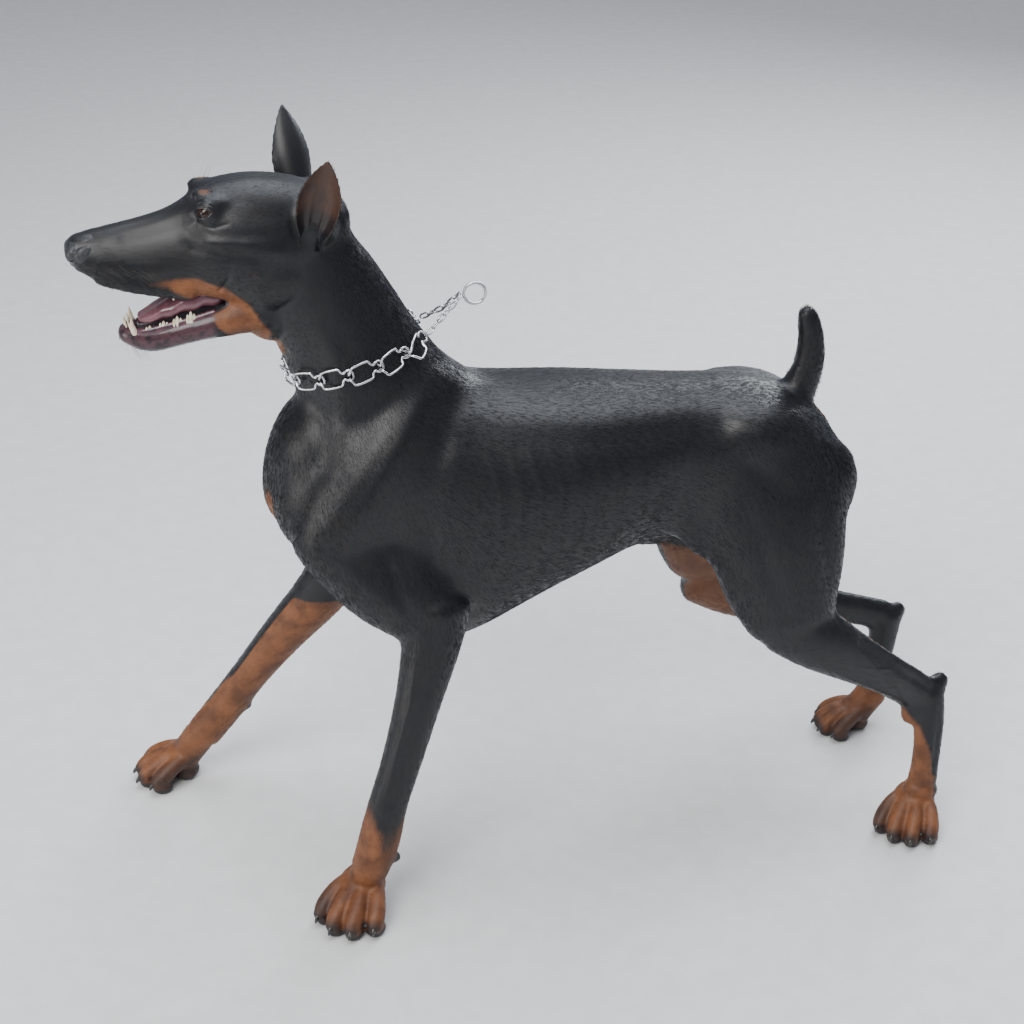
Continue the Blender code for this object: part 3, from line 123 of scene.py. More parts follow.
# lower jaw, from its angle to the chin: x, top, bottom, half width
JAW_SECTIONS = (
    (-0.335, 0.772, 0.714, 0.044), (-0.370, 0.763, 0.7115, 0.0400), (-0.400, 0.7510, 0.7085, 0.0350),
    (-0.430, 0.7430, 0.7030, 0.0305), (-0.458, 0.7370, 0.6975, 0.0262), (-0.478, 0.7345, 0.7010, 0.0215),
    (-0.489, 0.7315, 0.7085, 0.0160),
)

EYE_CENTRE = Vector((-0.3920, 0.0318, 0.8640))
EYE_RADIUS = 0.0108
# way the left eye looks on the straight head; the right one mirrors it
EYE_GAZE = Vector((-0.58, -0.81, 0.06)).normalized()

EAR_WIDTH = 0.058
EAR_THICKNESS = 0.0034


def curve_value(knots, x):
    """Smooth value of a named outline at x, by a cubic that never overshoots the knots."""
    xs = [k[0] for k in knots]
    ys = [k[1] for k in knots]
    if x <= xs[0]:
        return ys[0]
    if x >= xs[-1]:
        return ys[-1]
    slopes = [(ys[i + 1] - ys[i]) / (xs[i + 1] - xs[i]) for i in range(len(xs) - 1)]
    tangents = [slopes[0]]
    for i in range(1, len(xs) - 1):
        a = slopes[i - 1]
        b = slopes[i]
        tangents.append(0.0 if a * b <= 0 else 2 * a * b / (a + b))
    tangents.append(slopes[-1])
    i = max(j for j in range(len(xs) - 1) if xs[j] <= x)
    h = xs[i + 1] - xs[i]
    t = (x - xs[i]) / h
    return (
        ys[i] * (1 + 2 * t) * (1 - t) ** 2
        + tangents[i] * h * t * (1 - t) ** 2
        + ys[i + 1] * t * t * (3 - 2 * t)
        + tangents[i + 1] * h * t * t * (t - 1)
    )


def catmull(p0, p1, p2, p3, t):
    """Point on a Catmull-Rom span, for tuples of any length."""
    return tuple(
        0.5 * (2 * b + (c - a) * t + (2 * a - 5 * b + 4 * c - d) * t * t + (3 * b - a - 3 * c + d) * t ** 3)
        for a, b, c, d in zip(p0, p1, p2, p3)
    )


def smooth_path(stations, steps):
    """More stations between the given ones, along a smooth curve."""
    out = []
    n = len(stations)
    for i in range(n - 1):
        p0 = stations[max(i - 1, 0)]
        p3 = stations[min(i + 2, n - 1)]
        for k in range(steps):
            out.append(catmull(p0, stations[i], stations[i + 1], p3, k / steps))
    out.append(tuple(stations[-1]))
    return out


def new_object(name, verts, faces):
    """Mesh object from points and faces, normals made to point outward."""
    mesh = bpy.data.meshes.new(name)
    mesh.from_pydata([tuple(v) for v in verts], [], faces)
    bm = bmesh.new()
    bm.from_mesh(mesh)
    bmesh.ops.recalc_face_normals(bm, faces=bm.faces)
    bm.to_mesh(mesh)
    bm.free()
    obj = bpy.data.objects.new(name, mesh)
    bpy.context.collection.objects.link(obj)
    return obj


def loft(name, rings):
    """Closed skin over rings of equal count, with a point at each end."""
    n = len(rings[0])
    verts = [v for ring in rings for v in ring]
    faces = []
    for i in range(len(rings) - 1):
        for j in range(n):
            k = (j + 1) % n
            faces.append((i * n + j, i * n + k, (i + 1) * n + k, (i + 1) * n + j))
    first = len(verts)
    verts.append(sum(rings[0], Vector()) / n)
    last = len(verts)
    verts.append(sum(rings[-1], Vector()) / n)
    base = (len(rings) - 1) * n
    for j in range(n):
        k = (j + 1) % n
        faces.append((first, k, j))
        faces.append((last, base + j, base + k))
    return new_object(name, verts, faces)


def power_ring(centre, side, depth, a, b_up, b_down, power, sides):
    """Rounded-box ring: half width a, reach b_up and b_down, along two unit vectors."""
    ring = []
    for j in range(sides):
        t = 2 * math.pi * j / sides
        c = math.cos(t)
        s = math.sin(t)
        u = math.copysign(abs(c) ** (2 / power), c) * a
        w = math.copysign(abs(s) ** (2 / power), s)
        w = w * (b_up if s > 0 else b_down)
        ring.append(centre + side * u + depth * w)
    return ring


def tube(name, stations, steps=4, sides=20, power=2.0, across=(0, 1, 0), round_ends=0.7):
    """Limb or muscle along stations (x, y, z, half side, half depth), with domed ends."""
    path = smooth_path(stations, steps)
    across = Vector(across)
    rings = []
    frames = []
    for i, p in enumerate(path):
        a = Vector(path[max(i - 1, 0)][:3])
        b = Vector(path[min(i + 1, len(path) - 1)][:3])
        tangent = (b - a).normalized()
        side = (across - tangent * across.dot(tangent)).normalized()
        depth = side.cross(tangent).normalized()
        frames.append((Vector(p[:3]), side, depth, tangent, p[3], p[4]))
    for end, sign in ((0, -1), (-1, 1)):
        centre, side, depth, tangent, a, b = frames[end]
        cap = []
        for k in (0.35, 0.7, 0.93):
            shrink = math.sqrt(max(1 - k * k, 0.0))
            reach = min(a, b) * round_ends * k
            middle = centre + tangent * sign * reach
            cap.append(power_ring(middle, side, depth, a * shrink, b * shrink, b * shrink, power, sides))
        if end == 0:
            rings = cap[::-1]
            for f in frames:
                rings.append(power_ring(f[0], f[1], f[2], f[4], f[5], f[5], power, sides))
        else:
            rings = rings + cap
    return loft(name, rings)


def ball(name, centre, radii, rotation=(0, 0, 0), segments=20, rings=12):
    """Ellipsoid with its own tilt, in degrees."""
    bm = bmesh.new()
    bmesh.ops.create_uvsphere(bm, u_segments=segments, v_segments=rings, radius=1.0)
    mesh = bpy.data.meshes.new(name)
    turn = Matrix.Identity(4)
    for axis, angle in zip("XYZ", rotation):
        turn = Matrix.Rotation(math.radians(angle), 4, axis) @ turn
    place = Matrix.Translation(centre) @ turn @ Matrix.Diagonal((*radii, 1.0))
    bm.transform(place)
    bm.to_mesh(mesh)
    bm.free()
    obj = bpy.data.objects.new(name, mesh)
    bpy.context.collection.objects.link(obj)
    return obj


def discard(obj):
    """Remove an object and its mesh."""
    mesh = obj.data
    bpy.data.objects.remove(obj)
    bpy.data.meshes.remove(mesh)


def join(name, pieces):
    """All pieces as one mesh object; the pieces are used up."""
    bm = bmesh.new()
    for piece in pieces:
        start = len(bm.verts)
        bm.from_mesh(piece.data)
        bm.verts.ensure_lookup_table()
        bmesh.ops.transform(bm, matrix=piece.matrix_world, verts=bm.verts[start:])
    mesh = bpy.data.meshes.new(name)
    bm.to_mesh(mesh)
    bm.free()
    for piece in pieces:
        discard(piece)
    obj = bpy.data.objects.new(name, mesh)
    bpy.context.collection.objects.link(obj)
    return obj


def settle(obj):
    """Put the result of the modifiers into the mesh."""
    graph = bpy.context.evaluated_depsgraph_get()
    graph.update()
    mesh = bpy.data.meshes.new_from_object(obj.evaluated_get(graph))
    old = obj.data
    obj.modifiers.clear()
    obj.data = mesh
    bpy.data.meshes.remove(old)
    return obj


def fuse(obj, voxel, rounds, factor=0.5):
    """Melt overlapping forms into one skin and ease the joints between them."""
    melt = obj.modifiers.new("melt", "REMESH")
    melt.mode = "VOXEL"
    melt.voxel_size = voxel
    if rounds:
        ease = obj.modifiers.new("ease", "SMOOTH")
        ease.factor = factor
        ease.iterations = rounds
    return settle(obj)


def torso_forms():
    """Rib cage, loin and rump as one loft, with the shoulder and hip masses on it."""
    rings = []
    across = Vector((0, 1, 0))
    up = Vector((0, 0, 1))
    for i in range(TORSO_SECTIONS):
        t = i / (TORSO_SECTIONS - 1)
        x = TORSO_START + (TORSO_END - TORSO_START) * (0.5 - 0.5 * math.cos(math.pi * t)) * 0.35
        x += (TORSO_END - TORSO_START) * t * 0.65
        top = curve_value(BACK_LINE, x)
        low = curve_value(BELLY_LINE, x)
        half = curve_value(HALF_WIDTH, x)
        waist = low + (top - low) * 0.56
        rings.append(power_ring(Vector((x, 0, waist)), across, up, half, top - waist, waist - low, 2.15, 32))
    forms = [loft("torso_loft", rings)]
    for s in (-1, 1):
        forms.append(tube("shoulder_blade", (
            (-0.150, s * 0.034, 0.650, 0.022, 0.036), (-0.190, s * 0.058, 0.590, 0.036, 0.056),
            (-0.240, s * 0.074, 0.520, 0.040, 0.060), (-0.285, s * 0.078, 0.455, 0.034, 0.046),
        )))
        forms.append(ball("chest_muscle", (-0.298, s * 0.036, 0.505), (0.040, 0.038, 0.060), (0, 12, 0)))
        forms.append(ball("hip", (0.235, s * 0.050, 0.530), (0.085, 0.044, 0.068), (0, 10, 0)))
        forms.append(ball("seat", (0.312, s * 0.048, 0.480), (0.050, 0.038, 0.064), (0, 8, 0)))
        forms.append(ball("flank_fold", (0.178, s * 0.066, 0.445), (0.046, 0.016, 0.048), (0, 25, 0)))
    forms.append(ball("breast_bone", (-0.322, 0.0, 0.515), (0.030, 0.032, 0.056)))
    forms.append(ball("sheath", (0.126, 0.0, 0.401), (0.040, 0.0145, 0.0165), (0, -6, 0)))
    return forms


def neck_forms():
    """The arched neck, wide where it rises from the shoulders."""
    return [
        tube("neck", (
            (-0.177, 0, 0.555, 0.086, 0.096), (-0.208, 0, 0.618, 0.076, 0.089),
            (-0.235, 0, 0.674, 0.065, 0.0795), (-0.2585, 0, 0.725, 0.058, 0.0745),
            (-0.283, 0, 0.768, 0.054, 0.0720), (-0.302, 0, 0.805, 0.050, 0.063),
            (-0.318, 0, 0.835, 0.044, 0.048),
        ), steps=3, sides=24),
        ball("poll", (-0.295, 0, 0.802), (0.050, 0.046, 0.056), (0, -20, 0)),
        ball("withers", (-0.150, 0, 0.618), (0.052, 0.050, 0.043), (0, -12, 0)),
    ]


def head_ring(x, top, bottom, half, narrow, power=2.35, sides=32):
    """One section of the head: widest low down, narrower towards the top."""
    middle = bottom + (top - bottom) * 0.45
    ring = []
    for j in range(sides):
        t = 2 * math.pi * j / sides
        c = math.cos(t)
        s = math.sin(t)
        u = math.copysign(abs(c) ** (2 / power), c) * half
        w = math.copysign(abs(s) ** (2 / power), s)
        if s > 0:
            u *= 1 - narrow * w
        ring.append(Vector((x, u, middle + w * ((top - middle) if s > 0 else (middle - bottom)))))
    return ring


def head_loft(name, sections, power=2.35, steps=4, nose_round=0.012):
    """Loft through head sections, closed with a rounded end at the front."""
    path = smooth_path(sections, steps)
    rings = []
    first = path[0]
    for k in (0.9, 0.5):
        shrink = math.sqrt(1 - k * k)
        mid = (first[1] + first[2]) / 2
        tall = (first[1] - first[2]) / 2 * shrink
        behind = first[0] + nose_round * 1.6 * k
        rings.append(head_ring(behind, mid + tall, mid - tall, first[3] * shrink, 0, power))
    for p in path:
        rings.append(head_ring(p[0], p[1], p[2], p[3], p[4] if len(p) > 4 else 0.0, power))
    last = path[-1]
    for k in (0.4, 0.75, 0.95):
        shrink = math.sqrt(1 - k * k)
        mid = (last[1] + last[2]) / 2
        tall = (last[1] - last[2]) / 2 * shrink
        ahead = last[0] - nose_round * k
        rings.append(head_ring(ahead, mid + tall, mid - tall, last[3] * shrink, 0, power))
    return loft(name, rings)


def head_turn():
    """Slight turn of the head towards the dog's left."""
    turn = Matrix.Rotation(HEAD_YAW, 4, "Z")
    return Matrix.Translation(HEAD_PIVOT) @ turn @ Matrix.Translation(-HEAD_PIVOT)


def head_forms():
    """Skull, brows, cheeks, muzzle and lower jaw, before the mouth and eyes are cut."""
    forms = [
        head_loft("skull_and_muzzle", HEAD_SECTIONS),
        head_loft("jaw", JAW_SECTIONS, 2.2, 4, 0.009),
        ball("throat", (-0.322, 0, 0.738), (0.042, 0.040, 0.042), (0, 30, 0)),
        ball("nose_pad", (-0.5290, 0, 0.8225), (0.0165, 0.0195, 0.0175), (0, 6, 0)),
    ]
    for s in (-1, 1):
        forms.append(ball("brow", (-0.3830, s * 0.0215, 0.8740), (0.028, 0.0180, 0.0095), (0, 14, s * 14)))
        socket = (EYE_CENTRE.x + 0.002, s * (EYE_CENTRE.y - 0.0010), EYE_CENTRE.z)
        forms.append(ball("eye_mound", socket, (0.0185, 0.0135, 0.0150)))
        cheek_bone = (-0.356, s * 0.0420, 0.8270)
        forms.append(ball("cheek_bone", cheek_bone, (0.050, 0.0150, 0.0160), (0, 12, s * 12)))
        forms.append(ball("cheek", (-0.334, s * 0.0350, 0.7880), (0.050, 0.0215, 0.040), (0, 12, s * 6)))
        forms.append(tube("upper_lip", (
            (-0.415, s * 0.0330, 0.7740, 0.0085, 0.0110), (-0.450, s * 0.0290, 0.7800, 0.0085, 0.0110),
            (-0.485, s * 0.0250, 0.7875, 0.0080, 0.0110), (-0.512, s * 0.0195, 0.7950, 0.0070, 0.0105),
        ), steps=3, sides=12))
        forms.append(ball("ear_root", (-0.279, s * 0.0385, 0.8430), (0.028, 0.0150, 0.030), (0, 20, 0)))
    turn = head_turn()
    for form in forms:
        form.data.transform(turn)
    return forms


def head_point(p):
    """A point given on the straight head, carried to the turned head."""
    return head_turn() @ Vector(p)


def paw_place(centre, heading):
    """Frame of a paw: forward along the heading in the floor plane, given in degrees from -X to -Y."""
    a = math.radians(heading)
    forward = Vector((-math.cos(a), -math.sin(a), 0))
    side = Vector((0, 0, 1)).cross(forward)
    frame = Matrix.Identity(4)
    for i in range(3):
        frame[i][0] = forward[i]
        frame[i][1] = side[i]
        frame[i][2] = 1.0 if i == 2 else 0.0
        frame[i][3] = (centre[0], centre[1], 0.0)[i]
    return frame


TOES = (
    (-0.0300, 0.0165, 12.0),
    (-0.0105, 0.0300, 4.0),
    (0.0105, 0.0300, -4.0),
    (0.0300, 0.0165, -12.0),
)


def paw_forms(frame, scale, wrist):
    """Toes, their pads and the heel pad, joined to the wrist point above them."""
    forms = [
        ball("heel_pad", (-0.0195, 0, 0.0115), (0.0190, 0.0225, 0.0135)),
        ball("instep", (-0.0160, 0, 0.0335), (0.0300, 0.0265, 0.0180), (0, 16, 0)),
    ]
    for side, reach, fan in TOES:
        turn = Matrix.Rotation(math.radians(-fan), 3, "Z")
        ahead = turn @ Vector((1, 0, 0))
        tip = Vector((reach, side, 0))
        forms.append(tube("toe", (
            (*(tip - ahead * 0.034 + Vector((0, -side * 0.22, 0.0345))), 0.0098, 0.0105),
            (*(tip - ahead * 0.018 + Vector((0, -side * 0.08, 0.0305))), 0.0104, 0.0112),
            (*(tip - ahead * 0.002 + Vector((0, 0, 0.0210))), 0.0106, 0.0120),
            (*(tip + ahead * 0.007 + Vector((0, 0, 0.0125))), 0.0090, 0.0096),
        ), steps=3, sides=12, across=tuple(turn @ Vector((0, 1, 0)))))
        forms.append(ball("toe_pad", (reach - 0.0005, side, 0.0070), (0.0128, 0.0100, 0.0088), (0, 0, fan)))
    for form in forms:
        form.data.transform(frame @ Matrix.Scale(scale, 4))
    base = frame @ Vector((-0.020 * scale, 0, 0.030 * scale))
    forms.append(tube("pastern", (
        (wrist[0], wrist[1], wrist[2], 0.0195, 0.0225),
        ((wrist[0] + base.x) / 2, (wrist[1] + base.y) / 2, (wrist[2] + base.z) / 2, 0.0205, 0.0215),
        (base.x, base.y, base.z, 0.0240, 0.0200),
    ), steps=2, sides=16))
    return forms


FRONT_LEFT = paw_place((-0.274, -0.168), 60.0)
FRONT_RIGHT = paw_place((-0.4865, 0.169), 8.0)
HIND_LEFT = paw_place((0.446, -0.112), 58.0)
HIND_RIGHT = paw_place((0.4355, 0.1265), 4.0)
FRONT_LEFT_SCALE = 1.12
FRONT_RIGHT_SCALE = 1.02
HIND_LEFT_SCALE = 1.05
HIND_RIGHT_SCALE = 0.92


def upper_leg_forms():
    """Upper arms and thighs, which melt into the torso."""
    return [
        tube("left_upper_arm", (
            (-0.280, -0.078, 0.468, 0.034, 0.042), (-0.222, -0.090, 0.420, 0.038, 0.054),
            (-0.170, -0.103, 0.380, 0.034, 0.046),
        )),
        tube("right_upper_arm", (
            (-0.288, 0.078, 0.468, 0.034, 0.042), (-0.264, 0.088, 0.412, 0.036, 0.048),
            (-0.248, 0.090, 0.365, 0.034, 0.043),
        )),
        tube("left_thigh", (
            (0.236, -0.052, 0.520, 0.044, 0.088), (0.254, -0.070, 0.440, 0.048, 0.090),
            (0.264, -0.084, 0.370, 0.043, 0.077), (0.276, -0.094, 0.318, 0.036, 0.058),
        ), sides=24),
        tube("right_thigh", (
            (0.230, 0.052, 0.520, 0.044, 0.088), (0.231, 0.080, 0.435, 0.048, 0.084),
            (0.218, 0.108, 0.352, 0.043, 0.073), (0.226, 0.124, 0.292, 0.036, 0.055),
        ), sides=24),
    ]


def lower_leg_forms():
    """Forearms, shanks, pasterns and wrist pads: left pair drawn back, right foreleg reaching ahead."""
    forms = [
        tube("left_forearm", (
            (-0.161, -0.104, 0.390, 0.034, 0.043), (-0.1715, -0.116, 0.335, 0.031, 0.0355),
            (-0.190, -0.131, 0.272, 0.0265, 0.0288), (-0.211, -0.143, 0.205, 0.0225, 0.0258),
            (-0.230, -0.151, 0.150, 0.0210, 0.0255), (-0.2415, -0.155, 0.105, 0.0230, 0.0270),
            (-0.256, -0.160, 0.064, 0.0210, 0.0240),
        ), steps=3),
        ball("left_elbow", (-0.139, -0.103, 0.366), (0.017, 0.015, 0.024), (0, 15, 0)),
        tube("right_forearm", (
            (-0.246, 0.091, 0.358, 0.033, 0.040), (-0.280, 0.103, 0.302, 0.030, 0.0355),
            (-0.327, 0.121, 0.238, 0.0260, 0.0298), (-0.372, 0.138, 0.172, 0.0225, 0.0255),
            (-0.407, 0.150, 0.118, 0.0220, 0.0258), (-0.439, 0.156, 0.075, 0.0205, 0.0250),
        ), steps=3),
        ball("right_elbow", (-0.228, 0.088, 0.335), (0.016, 0.014, 0.020)),
        tube("left_shank", (
            (0.268, -0.094, 0.318, 0.033, 0.042), (0.309, -0.100, 0.293, 0.030, 0.042),
            (0.353, -0.099, 0.263, 0.0245, 0.0350), (0.401, -0.093, 0.230, 0.0190, 0.0290),
            (0.439, -0.085, 0.200, 0.0165, 0.0280), (0.462, -0.081, 0.180, 0.0170, 0.0270),
        ), steps=3),
        ball("left_heel_bone", (0.481, -0.074, 0.195), (0.015, 0.0115, 0.018), (0, 25, 0)),
        ball("left_hock_bend", (0.450, -0.087, 0.166), (0.021, 0.0130, 0.024), (0, 40, 0)),
        tube("left_rear_pastern", (
            (0.466, -0.080, 0.183, 0.0180, 0.0240), (0.469, -0.088, 0.145, 0.0165, 0.0215),
            (0.467, -0.095, 0.100, 0.0155, 0.0195), (0.463, -0.099, 0.058, 0.0165, 0.0200),
        ), steps=3),
        tube("right_shank", (
            (0.222, 0.126, 0.268, 0.032, 0.044), (0.272, 0.131, 0.240, 0.030, 0.044),
            (0.332, 0.136, 0.214, 0.0250, 0.0360), (0.396, 0.140, 0.195, 0.0185, 0.0265),
            (0.452, 0.143, 0.178, 0.0160, 0.0235), (0.482, 0.144, 0.167, 0.0170, 0.0240),
        ), steps=3),
        ball("right_heel_bone", (0.504, 0.146, 0.169), (0.015, 0.0115, 0.017), (0, 25, 0)),
        tube("right_rear_pastern", (
            (0.490, 0.144, 0.166, 0.0180, 0.0240), (0.486, 0.140, 0.130, 0.0165, 0.0215),
            (0.479, 0.134, 0.092, 0.0155, 0.0195), (0.473, 0.129, 0.056, 0.0165, 0.0200),
        ), steps=3),
        ball("left_wrist_pad", (-0.2215, -0.149, 0.071), (0.008, 0.007, 0.010)),
        ball("right_wrist_pad", (-0.378, 0.146, 0.119), (0.008, 0.007, 0.011)),
    ]
    return forms


def tail_forms():
    """Docked tail held upright."""
    return [
        tube("tail", (
            (0.292, 0, 0.580, 0.0200, 0.0250), (0.304, 0, 0.612, 0.0180, 0.0205),
            (0.306, 0, 0.645, 0.0160, 0.0180), (0.301, 0, 0.674, 0.0135, 0.0150),
            (0.297, 0, 0.685, 0.0105, 0.0115),
        ), steps=3, sides=14, across=(0, 1, 0)),
    ]


def paw_frames():
    """Frame, size and wrist of each paw."""
    return (
        (FRONT_LEFT, FRONT_LEFT_SCALE, (-0.256, -0.160, 0.064)),
        (FRONT_RIGHT, FRONT_RIGHT_SCALE, (-0.443, 0.157, 0.072)),
        (HIND_LEFT, HIND_LEFT_SCALE, (0.463, -0.100, 0.056)),
        (HIND_RIGHT, HIND_RIGHT_SCALE, (0.473, 0.128, 0.054)),
    )


def whole_body():
    """All flesh as one closed skin on a fine grid."""
    inner_skull = head_loft("inner_skull", HEAD_SECTIONS[:6])
    inner_skull.data.transform(head_turn())
    trunk = join("trunk", torso_forms() + neck_forms() + upper_leg_forms() + [inner_skull])
    fuse(trunk, 0.008, 12)
    body = join("body", [trunk] + lower_leg_forms() + tail_forms())
    fuse(body, 0.0045, 7)
    head = join("head", head_forms())
    fuse(head, 0.0033, 13)
    paws = []
    for place, scale, wrist in paw_frames():
        paws += paw_forms(place, scale, wrist)
    paws = fuse(join("paws", paws), 0.0016, 4)
    body = join("body", [body, head, paws])
    fuse(body, SKIN_GRID, 2)
    return body


def mesh_points(mesh):
    """Points of a mesh as rows of x, y, z."""
    co = np.empty(len(mesh.vertices) * 3)
    mesh.vertices.foreach_get("co", co)
    return co.reshape(-1, 3)


def mesh_normals(mesh):
    """Unit normals at the points of a mesh."""
    out = np.empty(len(mesh.vertices) * 3, dtype=np.float32)
    mesh.vertex_normals.foreach_get("vector", out)
    return out.reshape(-1, 3).astype(float)


def mesh_edges(mesh):
    """Pairs of joined points."""
    out = np.empty(len(mesh.edges) * 2, dtype=np.int32)
    mesh.edges.foreach_get("vertices", out)
    return out.reshape(-1, 2)


def put_points(mesh, co):
    """Move the points of a mesh."""
    mesh.vertices.foreach_set("co", np.ascontiguousarray(co).ravel())
    mesh.update()


def eased(co, edges, weight, rounds, factor=0.5):
    """Points drawn towards their neighbours, by a weight for each."""
    n = len(co)
    a = edges[:, 0]
    b = edges[:, 1]
    degree = np.maximum(np.bincount(a, minlength=n) + np.bincount(b, minlength=n), 1)
    co = co.copy()
    for _ in range(rounds):
        mean = np.empty_like(co)
        for k in range(3):
            near = np.bincount(a, weights=co[b, k], minlength=n)
            near += np.bincount(b, weights=co[a, k], minlength=n)
            mean[:, k] = near / degree
        co += (mean - co) * (weight * factor)[:, None]
    return co


def smooth_step(low, high, value):
    """0 below low, 1 above high, smooth between."""
    t = np.clip((value - low) / (high - low), 0.0, 1.0)
    return t * t * (3 - 2 * t)


def path_distance(points, path):
    """Distance of each point to a path, and the path's own extra value there (its last column)."""
    best = np.full(len(points), 1e9)
    value = np.zeros(len(points))
    dims = points.shape[1]
    for p, q in zip(path, path[1:]):
        a = np.array(p[:dims])
        b = np.array(q[:dims])
        ab = b - a
        t = np.clip(((points - a) @ ab) / max(float(ab @ ab), 1e-12), 0.0, 1.0)
        d = np.linalg.norm(points - a - t[:, None] * ab, axis=1)
        closer = d < best
        best[closer] = d[closer]
        extra = p[dims] + (q[dims] - p[dims]) * t if len(p) > dims else np.ones(len(points))
        value[closer] = extra[closer]
    return best, value


def to_head(co):
    """Points carried to the straight head."""
    back = np.array(head_turn().inverted())
    return co @ back[:3, :3].T + back[:3, 3]


def from_head(co):
    """Points of the straight head carried to the turned one."""
    turn = np.array(head_turn())
    return co @ turn[:3, :3].T + turn[:3, 3]


